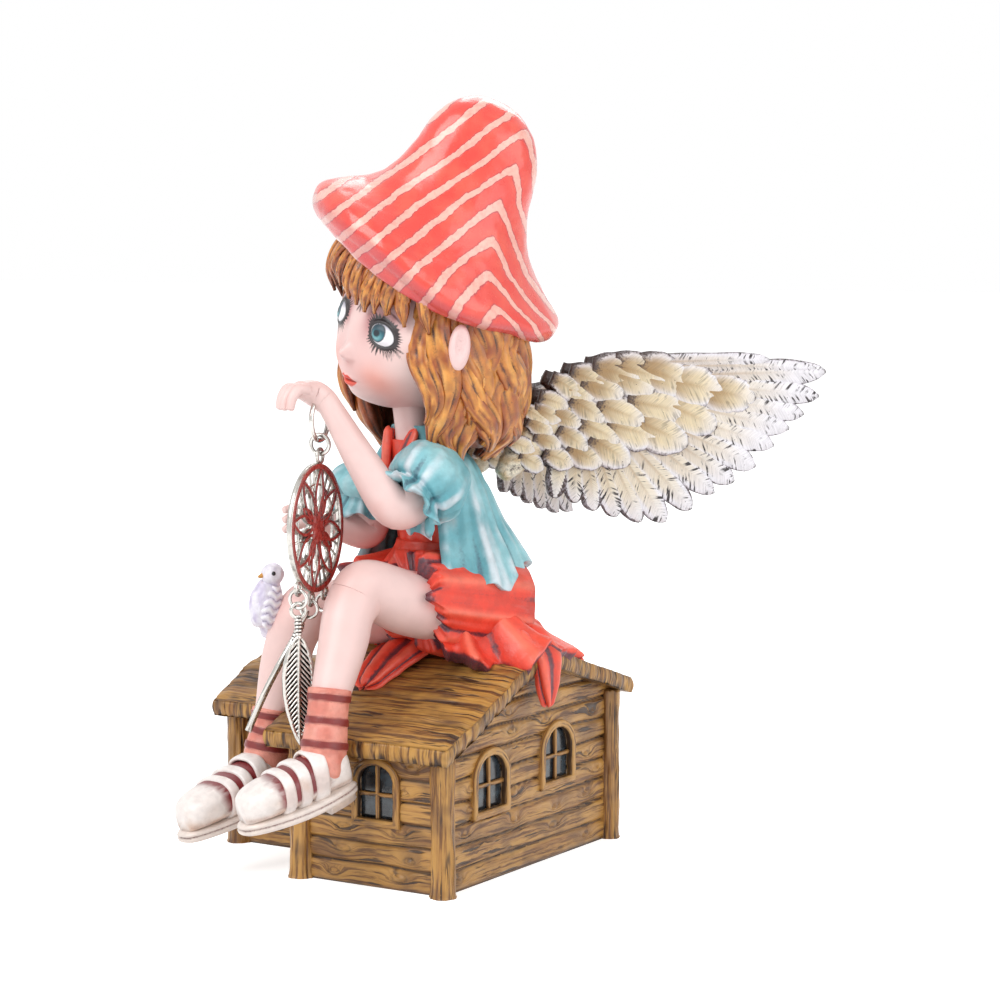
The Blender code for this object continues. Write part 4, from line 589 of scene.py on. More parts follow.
def wood_paint(name: str, light: str, middle: str, dark: str):
    """Weathered timber cast in resin: long dry-brushed fibres, dark checks and wash in the joints."""
    g = Graph(name)
    along = g.mark("grain").outputs["Vector"]
    long = g.add("ShaderNodeMapping", {"Vector": along, "Scale": (0.05, 1.0, 1.0)}).outputs[0]
    fibre = g.grain(0.85, long, 4.0, 0.62)
    broad = g.grain(2.6, long, 2.0)
    patch = g.grain(9.0, along, 2.0)
    check = g.add("ShaderNodeMapping", {"Vector": along, "Scale": (0.09, 1.0, 1.0), "Location": (7.0, 3.0, 1.0)}).outputs[0]
    cracks = g.ramp(g.grain(1.15, check, 2.0), 0.60, 0.68)
    tone = g.math("ADD", g.math("MULTIPLY", fibre, 0.6), g.math("MULTIPLY", broad, 0.4))
    colour = g.mix(g.ramp(tone, 0.36, 0.6), middle, light)
    colour = g.mix(g.ramp(patch, 0.42, 0.7, 0.0, 0.6), colour, dark)
    colour = g.mix(g.ramp(fibre, 0.5, 0.36, 0.0, 0.85), colour, dark)
    colour = g.mix(g.math("MULTIPLY", cracks, 0.9), colour, "2A170D")
    # The wash mark darkens joints and knots, and on the walls it also carries painted shade at their foot.
    depth = g.math("ADD", g.mark("wash").outputs["Fac"], g.ramp(broad, 0.35, 0.7, -0.15, 0.15))
    colour = g.mix(g.ramp(depth, 0.1, 0.95), colour, "2A170D")
    g.bump(g.math("SUBTRACT", fibre, g.math("MULTIPLY", cracks, 0.8)), 0.45, 0.7)
    return g.finish(colour, g.ramp(fibre, 0.3, 0.7, 0.5, 0.34), coat=0.12)


def wing_finish():
    """Cream and lilac feathers with soft brown shafts and loose dark strokes along the barbs."""
    g = Graph("feather_resin_paint")
    vane = g.mark("vane").outputs["Vector"]
    barb = g.add("ShaderNodeMapping", {"Vector": vane, "Scale": (1.0, 0.16, 1.0)}).outputs[0]
    strokes = g.grain(0.75, barb, 1.0)
    patch = g.ramp(g.grain(3.4), 0.42, 0.55)
    mask = g.math("MULTIPLY", g.ramp(strokes, 0.55, 0.6), g.math("MULTIPLY", patch, g.mark("stroke").outputs["Fac"]), True)
    lines = g.grain(0.28, g.add("ShaderNodeMapping", {"Vector": vane, "Scale": (1.0, 0.05, 1.0)}).outputs[0], 2.0)
    shade = g.ramp(lines, 0.35, 0.7, 0.86, 1.05)
    colour = g.mix(1.0, g.mark("paint").outputs["Color"], g.add("ShaderNodeCombineColor", {0: shade, 1: shade, 2: shade}).outputs[0], "MULTIPLY")
    # The wash mark darkens the feathers' outlines and grooves, and is painted shade at each root where the row above
    # overlaps.
    depth = g.math("ADD", g.mark("wash").outputs["Fac"], g.ramp(g.grain(0.6), 0.4, 0.7, -0.15, 0.25))
    colour = g.mix(g.ramp(depth, 0.2, 0.95), colour, "453430")
    dots = g.ramp(g.grain(0.5, detail=1.0), 0.75, 0.78, 0.0, 0.8)
    colour = g.mix(g.math("MAXIMUM", mask, dots), colour, "2A2224")
    g.bump(lines, 0.22, 0.6)
    return g.finish(colour, g.ramp(lines, 0.3, 0.7, 0.42, 0.55), coat=0.1)


def silver(name: str, pale: str = "C9C6C0", rough: float = 0.2):
    """Antique plating: bright on the high places, blackened where polishing can't reach."""
    g = Graph(name)
    blotch = g.grain(1.6)
    depth = g.math("ADD", g.mark("wash").outputs["Fac"], g.ramp(blotch, 0.45, 0.8, 0.0, 0.35))
    colour = g.mix(g.ramp(depth, 0.2, 0.95), pale, "1E1B1A")
    g.bump(g.grain(0.7), 0.05)
    return g.finish(colour, g.ramp(depth, 0.0, 1.0, rough, 0.5), 1.0)


def pane_paint():
    """Dark glazed panes: near black with a bluish cloud and a high gloss."""
    g = Graph("dark_gloss_pane_paint")
    colour = g.mix(g.ramp(g.grain(3.5), 0.4, 0.65), "171C22", "36424A")
    g.bump(g.grain(2.0), 0.1)
    return g.finish(colour, g.ramp(g.grain(1.5), 0.3, 0.7, 0.12, 0.25), coat=0.4)


class Finishes:
    """Every material of the figurine, made once."""

    def __init__(self) -> None:
        # Matte pink skin with a faint satin varnish
        self.skin = painted(Paint("skin_matte_resin_paint", "9A5A58", (0.4, 0.5), 0.1, 0.025, 5.0, 0.03, 0.7))
        # Face: the same skin, smoother so that the painted features stay crisp
        self.face = painted(Paint("face_matte_resin_paint", "9A5A58", (0.38, 0.46), 0.1, 0.012, 5.0, 0.01, 0.7))
        # Hair: satin amber over a red-brown wash, which also paints shade on the side of each lock towards the head
        self.hair = painted(Paint("hair_satin_resin_paint", "44200F", (0.28, 0.42), 0.3, 0.16, 2.0, 0.16, 0.35, 0.5))
        # Coat: dry-brushed turquoise with chalky high places
        self.coat = painted(Paint("coat_drybrushed_resin_paint", "4E6E7C", (0.42, 0.6), 0.08, 0.09, 2.2, 0.25, 0.6, 0.25))
        # Dress: orange-red with a plum wash in its folds, which also paints shade under the hem and inside the torn
        # edges
        self.dress = painted(Paint("dress_satin_resin_paint", "54303C", (0.36, 0.5), 0.15, 0.1, 3.0, 0.2, 0.6))
        # Socks: salmon with maroon bands
        self.sock = painted(Paint("sock_satin_resin_paint", "6E2A2C", (0.38, 0.5), 0.12, 0.08, 2.0, 0.14, 0.5))
        # Shoes: off-white leather look with a tan wash
        self.shoe = painted(Paint("shoe_gloss_resin_paint", "6A2024", (0.3, 0.45), 0.25, 0.07, 2.0, 0.12, 0.5))
        # Bird: lilac grey plumage, softly brushed
        self.bird = painted(Paint("bird_satin_resin_paint", "6E6288", (0.4, 0.55), 0.1, 0.08, 1.2, 0.2, 0.35))
        self.hat = hat_paint()
        # Beak and eyes: small glossy touches
        self.hat_plain = painted(Paint("beak_gloss_resin_paint", "3A2616", (0.2, 0.3), 0.4, 0.04, 1.0, 0.03, 0.4))
        self.wood = wood_paint("timber_wall_resin_paint", "BE8E48", "94642F", "58361B")
        self.roof = wood_paint("timber_roof_resin_paint", "C09048", "8A5C2C", "4C2E18")
        self.wing = wing_finish()
        self.silver = silver("antique_silver_plate")
        self.bright = silver("polished_silver_plate", "D2CFCA", 0.14)
        # Red enamel flooded into the disc's outer ring, glossy over the plating
        self.enamel = painted(Paint("red_enamel", "2E1414", (0.2, 0.35), 0.5, 0.2, 1.4, 0.08, 0.5))
        self.pane = pane_paint()


VIEW_R = turned(vec(1, 0, 0), 32.0)
VIEW_B = vec(0.527, -0.844, 0.096)
VIEW_U = vec(-0.051, 0.081, 0.995)
CENTRE = vec(29.1, 0.9, 88.0)


@dataclass
class Hat:
    """The soft mushroom hat with its painted bands."""

    brim: float = 32.0
    tall: float = 42.0
    pitch: float = 35.0
    phase: float = 0.07
    count: int = 220

    def sheet(self, points: np.ndarray) -> tuple:
        """Places seen square on from the front, right and down in steps of 0.24 mm."""
        rel = points - CENTRE
        near = 667.0 / (667.0 - rel @ VIEW_B)
        return rel @ VIEW_R / 0.24 * near, -(rel @ VIEW_U) / 0.24 * near

    def lean(self, shell: Shell, share: np.ndarray) -> None:
        """Lets the soft brim sag at the near right and lifts it over the brow."""
        x, y = self.sheet(shell.points)
        sag = smooth(5, 45, x) * smooth(-285, -205, y)
        side = smooth(0, 30, x) * bell(y + 305, 60)
        lift = bell(x + 125, 52) * smooth(0.55, 1.0, share) * smooth(-0.2, 0.3, shell.normals() @ VIEW_B)
        shell.points = shell.points + np.outer(1.4 * sag + 1.3 * side, VIEW_R) + np.outer(3.6 * lift - 3.4 * sag, VIEW_U)

    def bands(self, points: np.ndarray) -> np.ndarray:
        """Runs of the painted bands: nested chevrons that climb from the near brim over a crest."""
        x, y = self.sheet(points)
        down = np.array([-440, -400, -382, -335, -295, -260, -225, -195, -175])
        crest = np.array([32, 30, 28, 15, -2, -8, -12, -5, 5])
        off = x - np.interp(y, down, crest)
        left, right = np.maximum(-off, 0), np.maximum(off, 0)
        climb = (-175 - y) + 0.94 * (np.hypot(left, 5) - 5) + 2.0 * (np.hypot(right, 4) - 4)
        return climb / self.pitch + self.phase + 0.09 * fbm(points, 9.0, 2, 3)

    def build(self, finishes: Finishes) -> None:
        """Makes the cap from a brim profile swept round a leaning axis."""
        axis = unit(UP * 0.877 - FORWARD * 0.275 + LEFT * 0.395)
        ahead = unit(FORWARD - axis * (FORWARD @ axis))
        aside = np.cross(axis, ahead)
        base = on_body(5.0, -1.0, RIDGE + 92.0)
        profile = [
            (-3.2, 0.56, 0.0), (-4.4, 0.62, 0.0), (-5.3, 0.78, 0.0), (-5.2, 0.9, 0.0), (-4.0, 0.97, 0.0), (-1.4, 1.0, 0.0),
            (1.4, 0.965, 0.004), (5.0, 0.83, 0.012), (10.5, 0.66, 0.035), (17.0, 0.535, 0.055), (24.0, 0.46, 0.065),
            (31.0, 0.41, 0.075), (37.0, 0.32, 0.08), (40.8, 0.18, 0.07), (41.8, 0.07, 0.02),
        ]
        rows = curve(profile, 11)
        turn = turns(self.count)
        rise, share, lobes = rows.T
        radius = self.brim * share[:, None] * (1 + lobes[:, None] * np.cos(3 * turn + 0.6))
        droop = 2.4 * np.maximum(0, share - 0.6)[:, None] / 0.4 * np.cos(2 * turn + radians(60))
        drift = (FORWARD - LEFT) * 2.0
        rings = (
            base
            + np.multiply.outer(radius * np.cos(turn), ahead)
            + np.multiply.outer(radius * np.sin(turn), aside)
            + np.multiply.outer(rise[:, None] + droop, axis)
            + np.multiply.outer(np.maximum(0, rise)[:, None] / 42.0 * np.ones_like(turn), drift)
        )
        top = rings[-1].mean(0)
        shell = loft(rings, base - axis * 2.5, top + axis * 0.25)
        self.lean(shell, np.append(np.repeat(share, self.count), [0, 0]))
        shell.push(0.55 * fbm(shell.points, 9.0, 2, 5) + 0.12 * fbm(shell.points, 2.0, 2, 9))
        stripe = self.bands(shell.points)
        # Painted shade: faces of the cap that turn downward, under the brim, are darkened towards mauve through the
        # wash mark.
        under = smooth(0.2, -0.4, shell.normals() @ axis)
        shell.colour("E8453A", stripe=stripe, wash=0.55 * under)
        make("hat", shell, finishes.hat, nodes=("figurine_casting",))


@dataclass
class Head:
    """Face, ear and neck, all one pink skin with painted features."""

    tall: float = 19.5
    wide: float = 20.0
    deep: float = 21.4
    middle: float = 0.2
    eye_aside: float = 8.9
    eye_rise: float = 1.7

    def surface(self, theta: np.ndarray, h: np.ndarray, grow: float = 0.0) -> np.ndarray:
        """The skull before its features, as (ahead, aside, up) in the tilted face frame."""
        z = np.clip(h / (self.tall + grow), -1, 1)
        low = np.clip(-z, 0, 1)
        p = 2.1 + 1.1 * smooth(0, 0.5, low)
        front = (self.deep + grow) * np.maximum(0, 1 - np.abs(z) ** p) ** (1 / p)
        back = (18.5 + grow) * np.sqrt(np.maximum(0, 1 - z * z))
        side = np.where(z < 0, np.maximum(0, 1 - low**2.3) ** 0.4545 * (1 - 0.2 * low), np.sqrt(np.maximum(0, 1 - z * z)))
        side = (self.wide + grow) * side
        c, s = np.cos(theta), np.sin(theta)
        c = np.where(c > 0, np.abs(c) ** 0.78, c)
        return np.stack([c * np.where(c > 0, front, back), s * side, h + 0 * theta], -1)

    def place(self, local: np.ndarray) -> np.ndarray:
        """Face-frame places as points."""
        return HEAD_AT + local[..., :1] * HEAD_F + local[..., 1:2] * FACE_L + local[..., 2:3] * FACE_U

    def eye(self, a: np.ndarray, h: np.ndarray, side: float) -> tuple:
        """How far outside the eye's outline each place is, in millimetres, and its angle round the eye."""
        x = (a - self.middle) * side - self.eye_aside
        y = h - self.eye_rise
        x = x + 0.22 * y
        k = np.sqrt((x / 3.25) ** 2 + (y / np.where(y > 0, 2.75, 2.6)) ** 2)
        return (k - 1) * 2.9, np.arctan2(y, x)

    def relief(self, a: np.ndarray, h: np.ndarray) -> np.ndarray:
        """Nose, lips, chin, cheeks and lids, as a push forward."""
        m = a - self.middle
        out = 0.8 * bell(m, 1.7) * smooth(7, -2, h) * smooth(-8.5, -5.5, h) + 2.1 * bell(m, 1.9) * bell(h + 5.5, 1.9)
        out += 0.6 * (bell(m - 1.7, 0.8) + bell(m + 1.7, 0.8)) * bell(h + 6.5, 0.9)
        out += 0.9 * bell(m, 5) * bell(h + 11, 5) + 1.2 * bell(m, 4.2) * bell(h + 16.6, 2.4)
        out += 0.7 * bell(m, 2.5) * bell(h + 11.4, 0.7) + 0.9 * bell(m, 2.0) * bell(h + 13.1, 0.8)
        out -= 0.8 * bell(m, 2.7) * bell(h + 12.2 - 0.02 * m * m, 0.28) + 0.4 * bell(m, 2.4) * bell(h + 14.9, 0.8)
        for side in (-1, 1):
            gap, _ = self.eye(a, h, side)
            out += 0.7 * smooth(0.1, -1.6, gap) + 0.28 * bell(gap - 0.35, 0.3)
            out += 0.7 * bell(m * side - 8.5, 5) * bell(h + 8.5, 4.5)
            out -= 0.5 * bell(m * side - 8.5, 4) * bell(h - 6.2, 1.6)
            out -= 0.5 * bell(m * side - 4.4, 1.6) * bell(h - 2.0, 3.0)
        return out

    def features(self, a: np.ndarray, h: np.ndarray) -> np.ndarray:
        """The hand-painted face as linear colours, with painted shade at the top of each eye white, in the nostrils and
        under the nose.
        """
        m = a - self.middle
        where = np.stack([a, h, 0 * a], -1)
        paint = blend("EDD2CD", "E6C0BC", smooth(-0.3, 0.8, fbm(where, 9.0, 2, 2)))
        for side in (-1, 1):
            x = m * side
            paint = blend(paint, "EE8A72", 0.6 * bell(x - 8.4, 4.0) * bell(h + 10.0, 3.8))
            shadow = 0.9 * bell(x - 9.0, 4.4) * bell(h - 5.8, 2.3) + 0.85 * bell(x - 4.6, 1.9) * bell(h - 3.4, 3.6)
            paint = blend(paint, "B97A7C", np.clip(shadow, 0, 0.8))
            brow = curve([(-0.6, 5.0), (0.4, 7.0), (3.6, 8.3), (8.0, 7.4), (12.0, 5.6)], 16)
            near = np.sqrt(((np.stack([x, h], -1)[:, None] - brow) ** 2).sum(-1))
            paint = blend(paint, "5E3C3C", 0.85 * smooth(0.34, 0.14, near.min(1)))
            gap, angle = self.eye(a, h, side)
            count = 38
            saw = 1 - np.abs(2 * ((angle * count / tau + 0.35 * np.sin(5 * angle)) % 1.0) - 1)
            reach = 2.0 * smooth(-0.2, -0.8, np.sin(angle)) + 1.5 * smooth(0.2, 0.8, np.sin(angle)) * smooth(0.5, -0.7, np.cos(angle))
            reach = (reach + 0.7) * (0.85 + 0.25 * np.sin(9 * angle + side))
            lash = smooth(0.12, -0.08, gap - 0.6 - 0.5 * smooth(0, 0.7, np.sin(angle)) - reach * saw**1.1)
            paint = blend(paint, "141317", 0.97 * lash)
            # The white greys towards its top edge, under the upper lid: painted shade.
            white = blend("F2F0F4", "A9A8B8", smooth(1.2, 2.6, h - self.eye_rise))
            look = np.hypot(m * side - self.eye_aside + side * 0.75, h - self.eye_rise - 0.3) * 0.93
            iris = blend("5C9EA6", "2C6C7A", smooth(0.6, 1.7, look))
            iris = blend(iris, "1B3E4C", smooth(-0.6, 1.6, h - self.eye_rise))
            iris = blend(iris, "8FC3C6", 0.6 * bell(look - 1.15, 0.4) * smooth(0.2, -1.2, h - self.eye_rise))
            iris = blend(iris, "12222C", smooth(0.85, 0.7, look))
            iris = blend(iris, "142028", smooth(1.72, 1.9, look))
            eye = blend(white, iris, smooth(2.06, 1.94, look))
            eye = blend(eye, "141317", smooth(-0.34, -0.16, gap))
            paint = blend(paint, eye, smooth(0.1, -0.06, gap))
        line = -12.2 + 0.02 * m * m
        upper = smooth(0.12, -0.1, h - (-10.75 - 0.16 * m * m - 0.35 * bell(m, 0.6))) * smooth(-0.1, 0.1, h - line)
        lower = smooth(-0.12, 0.1, h - (-14.0 + 0.2 * m * m)) * smooth(0.1, -0.1, h - line)
        lips = np.clip(upper + lower, 0, 1) * smooth(3.05, 2.7, np.abs(m))
        paint = blend(paint, blend("E8604E", "D9402F", upper), lips)
        paint = blend(paint, "7E2320", 0.8 * bell(h - line, 0.2) * smooth(3.1, 2.4, np.abs(m)))
        # Painted shade: darker pink in the nostrils and under the nose.
        for side in (-1, 1):
            paint = blend(paint, "C97F76", 0.7 * bell(m * side - 1.1, 0.5) * bell(h + 7.4, 0.4))
        return blend(paint, "D9958C", 0.4 * bell(m, 2.2) * bell(h + 8.0, 1.0))

    def build(self, finishes: Finishes) -> None:
        """Makes the face with dense rows where it is painted, then the ears and the neck."""
        lat = np.concatenate(
            [np.linspace(-89, -62, 12)[:-1], np.degrees(np.arcsin(np.linspace(-17.2, 10.2, 172) / self.tall)), np.linspace(33, 89, 22)]
        )
        lon = np.concatenate([np.linspace(-62, 68, 285), np.linspace(68, 298, 60)[1:-1]])
        h = self.tall * np.sin(np.radians(lat))
        theta, height = np.meshgrid(np.radians(lon), h)
        local = self.surface(theta, height)
        front = smooth(0.0, 0.35, np.cos(theta))
        local[..., 0] += self.relief(local[..., 1].ravel(), height.ravel()).reshape(height.shape) * front
        rings = self.place(local)
        shell = loft(rings)
        a = np.append(local[..., 1].ravel(), [0, 0])
        hh = np.append(height.ravel(), [-self.tall, self.tall])
        shell.colour(self.features(a, hh), wash=0.0)
        make("face", shell, finishes.face, nodes=("figurine_casting",))
        parts = []
        for side in (1.0, -1.0):
            tilt = unit(UP - HEAD_F * 0.12)
            out = unit(HEAD_L * side + HEAD_F * 0.35)
            ear = ball(on_head(6.6, side * 22.6, -3.8), (2.6, 1.7, 5.4), (np.cross(out, tilt), out, tilt), 40, 48)
            rel = ear.points - ear.points.mean(0)
            y, z = rel @ np.cross(out, tilt), rel @ tilt
            dish = np.sqrt((y / 1.7) ** 2 + ((z - 0.6) / 3.9) ** 2)
            facing = smooth(0.0, 0.5, ear.normals() @ out)
            ear.points = ear.points - out * (0.8 * smooth(1.05, 0.4, dish) * facing)[:, None]
            wash = 0.3 * smooth(1.0, 0.35, dish) * facing * smooth(-5, 1, z)
            ear.colour("EDCBC8", wash=wash)
            parts.append(ear)
        neck = [(on_body(11.0, 0, NECK - 6), 4.6, 4.6), (on_body(12.0, 0, NECK), 4.0, 4.0), (on_body(12.6, 0, NECK + 9), 4.6, 4.6)]
        parts.append(limb(neck).colour("E9C9C5", wash=0.0))
        make("ears_and_neck", merge(parts), finishes.skin, nodes=("figurine_casting",))


@dataclass
class Hair:
    """A dark base, long wavy locks round the head and a heavy fringe."""

    half_width: float = 20.4
    half_depth: float = 15.6
    back: float = -3.6

    def width_at(self, height: np.ndarray) -> np.ndarray:
        """How wide the hair is at a height, as a share."""
        keys = np.array([(-32, 0.62), (-29, 0.78), (-25, 0.9), (-19, 0.98), (-12, 1.02), (-4, 1.0), (4, 1.0), (10, 0.97), (18, 0.84), (24, 0.6)])
        return np.interp(height, keys[:, 0], keys[:, 1])

    def lock(self, theta: float, top: float, bottom: float, wide: float, sway: float, waves: float, phase: float, lift: float, seed: int) -> Shell:
        """One ribbed lock that falls in waves over the base."""
        t = np.linspace(0, 1, 60)
        height = top + (bottom - top) * t
        turn = radians(theta) + radians(sway) * np.sin(tau * waves * t + phase) * (0.25 + 0.75 * t)
        share = self.width_at(height)
        out = lift + 1.1 * np.sin(tau * waves * t + phase + 1.4) * t
        ahead = self.back + (self.half_depth * share + out) * np.cos(turn)
        aside = (self.half_width * share + out) * np.sin(turn)
        path = HEAD_AT + np.outer(ahead, HEAD_F) + np.outer(aside, HEAD_L) + np.outer(height, UP)
        outward = unit(np.outer(np.cos(turn), HEAD_F) + np.outer(np.sin(turn), HEAD_L))
        size = wide * (0.8 + 0.3 * np.sin(pi * np.clip(t * 1.1, 0, 1))) * (1 - 0.6 * smooth(0.84, 1.0, t))
        return self.ribbed(path, outward, size, 0.62, seed)

    def ribbed(self, path: np.ndarray, outward: np.ndarray, size: np.ndarray, flat: float, seed: int, strands: int = 7) -> Shell:
        """A tapering lock with strand grooves along it."""
        ahead = unit(np.gradient(path, axis=0))
        across = unit(np.cross(ahead, outward))
        upward = np.cross(across, ahead)
        upward = upward * np.sign(np.sum(upward * outward, -1, keepdims=True))
        count = 30
        v = turns(count)
        t = np.linspace(0, 1, len(path))[:, None]
        drift = 0.8 * np.sin(3.1 * t + seed) + 1.3 * t
        groove = np.abs(np.sin(strands * v / 2 + drift + 0.5 * np.sin(7 * t + seed * 1.7)))
        groove = 1 - np.minimum(1, groove * 1.7)
        deep = 0.24 * np.minimum(size, 3.2)[:, None] * groove
        w, s = size[:, None] - deep, size[:, None] * flat - deep
        rings = path[:, None] + across[:, None] * (w * np.cos(v))[..., None] + upward[:, None] * (s * np.sin(v))[..., None]
        shell = loft(rings)
        face = np.append((np.sin(v)[None, :] * np.ones_like(t)).ravel(), [0, 0])
        cut = np.append(groove.ravel(), [0, 0])
        along = np.append((t * np.ones_like(v)[None, :]).ravel(), [0, 1])
        streak = fbm(np.stack([along * 14, np.append(np.tile(v * 5, len(path)), [0, 0]), 0 * along + seed * 3.3], -1), 1.0, 2, seed)
        # Painted light and shade: each lock is lighter on its face that turns away from the head, with a pale painted
        # highlight along that face, and darker on its side towards the head.
        paint = blend("A4531F", "DB953F", smooth(0.1, 0.95, face) * smooth(-0.45, 0.45, streak))
        paint = blend(paint, "F0BE74", 0.5 * smooth(0.7, 1.0, face) * smooth(0.1, 0.8, streak))
        paint = blend(paint, "7A3A1E", 0.75 * smooth(0.35, -0.35, face))
        paint = blend(paint, "7A3418", 0.75 * smooth(0.1, -0.6, streak))
        # The wash is dark paint in the strand grooves, and painted shade on the side of each lock towards the head.
        return shell.colour(paint, wash=0.95 * cut + 0.6 * smooth(0.15, -0.6, face))

    def build(self, finishes: Finishes, head: Head) -> None:
        """Makes the base, the locks of two layers and the fringe."""
        heights = np.linspace(22, -28, 60)
        turn = turns(96)
        share = self.width_at(heights)[:, None] * 0.955
        ahead = self.back + self.half_depth * share * np.cos(turn)
        ahead = np.minimum(ahead, (1.0 + 12.0 * smooth(-19, -10, heights))[:, None])
        aside = self.half_width * share * np.sin(turn)
        rings = HEAD_AT + ahead[..., None] * HEAD_F + aside[..., None] * HEAD_L + heights[:, None, None] * UP
        base = loft(rings)
        base.push(0.5 * fbm(base.points, (3, 3, 14), 2, 4))
        base.colour(blend("8A4A22", "5C2C18", smooth(-0.4, 0.4, fbm(base.points, (2, 2, 9), 2, 8))), wash=0.35)
        locks = [base]
        for k in range(14):
            theta = 52 + 256 * k / 13
            top = 17 - 10 * bell(theta - 150, 75)
            locks.append(self.lock(theta, top, -30 - 1.6 * sin(k * 2.3), 4.9, 8, 1.6, 1.9 * k, 0.5, k))
        for k in range(12):
            theta = 62 + 236 * k / 11
            top = 14 - 9 * bell(theta - 150, 75)
            locks.append(self.lock(theta + 3 * sin(k * 4.1), top, -26.5 - 3.0 * sin(k * 1.9 + 1), 3.7, 11, 1.8, 2.6 * k + 1, 1.9, 30 + k))
        for theta, top, bottom, wide, sway, phase in (
            (57, 15, -24, 3.6, 7, 2.4), (68, 16, -26, 3.5, 9, 0.6), (101, 4, -22, 3.6, 10, 2.0), (-52, 14, -12, 3.0, 5, 0.5), (-60, 14, -22, 3.4, 8, 0.5), (-70, 14, -26, 3.6, 8, 2.2)
        ):
            locks.append(self.lock(theta, top, bottom, wide, sway, 1.35, phase, 2.0, 60 + int(theta)))
        for theta, top, bottom, wide, lift, phase in ((41, 12, -22, 3.2, 5.2, 1.0), (49, 13, -27, 3.6, 4.2, 2.6), (-46, 12, -20, 3.2, 4.8, 0.4)):
            locks.append(self.lock(theta, top, bottom, wide, 6, 1.35, phase, lift, 90 + int(theta)))
        make("hair_locks", merge(locks), finishes.hair, nodes=("figurine_casting",))
        fringe = []
        for layer, step, offset, grow in ((0, 3.0, 0.0, 0.0), (1, 3.6, 1.4, 1.0)):
            for n, a in enumerate(np.arange(-19.5, 19.0, step) + offset):
                low = 6.6 + 1.5 * sin(n * 2.2 + layer) + (0.9 if a < -4 else 0.0) - 8.0 * smooth(-13, -19, a) - 1.2 * smooth(10, 17, a)
                h = np.linspace(17.5, low, 40)
                t = np.linspace(0, 1, 40)
                theta = np.arcsin(np.clip((a + 0.8 * np.sin(2.6 * t + n)) / 20.5, -0.99, 0.99)) * (0.86 + 0.14 * t)
                off = 4.6 * (1 - t) ** 1.2 + 1.3 + grow * (1 - 0.6 * t) + 1.2 * np.sin(pi * t) + 2.6 * smooth(-9, -19, a)
                local = head.surface(theta, np.minimum(h, 16.5))
                flat = unit(np.stack([np.cos(theta), np.sin(theta), 0.5 + 0 * t], -1))
                local[:, 2] = h
                path = head.place(local + flat * off[:, None])
                outward = unit(path - HEAD_AT)
                size = (1.95 + 0.35 * sin(n * 1.7)) * (1 - 0.75 * smooth(0.7, 1.0, t)) * (0.85 + 0.15 * t)
                fringe.append(self.ribbed(path, outward, size, 0.75, 90 + n + 40 * layer, 7))
        make("hair_fringe", merge(fringe), finishes.hair, nodes=("figurine_casting",))


SKIN, BLUSH = rgb("EBCBC6"), rgb("DE9C92")


def slab(outer: np.ndarray, inner: np.ndarray) -> Shell:
    """A sheet with thickness, from two matching grids joined along their edges."""
    rows, cols = outer.shape[:2]
    n = rows * cols
    a = (np.arange(rows - 1)[:, None] * cols + np.arange(cols - 1)[None, :]).ravel()
    top = np.stack([a, a + 1, a + 1 + cols, a + cols], 1)
    low = top[:, ::-1] + n
    grid = np.arange(n).reshape(rows, cols)
    rim = np.concatenate([grid[0, :], grid[1:, -1], grid[-1, -2::-1], grid[-2::-1, 0]])
    side = np.stack([rim[:-1], rim[:-1] + n, rim[1:] + n, rim[1:]], 1)
    u, v = np.meshgrid(np.linspace(0, 1, rows), np.linspace(0, 1, cols), indexing="ij")
    points = np.vstack([outer.reshape(-1, 3), inner.reshape(-1, 3)])
    return Shell(points, np.vstack([top, low, side]), np.zeros((0, 3), int), np.tile(u.ravel(), 2), np.tile(v.ravel(), 2)).outward()


def torus(rings: np.ndarray) -> Shell:
    """Closed rings joined in a closed loop."""
    rows, cols = rings.shape[:2]
    i, j = np.meshgrid(np.arange(rows), np.arange(cols), indexing="ij")
    a, b = i * cols + j, i * cols + (j + 1) % cols
    c, d = (i + 1) % rows * cols + (j + 1) % cols, (i + 1) % rows * cols + j
    quads = np.stack([a.ravel(), b.ravel(), c.ravel(), d.ravel()], 1)
    return Shell(rings.reshape(-1, 3), quads, np.zeros((0, 3), int), (i / rows).ravel(), (j / cols).ravel()).outward()


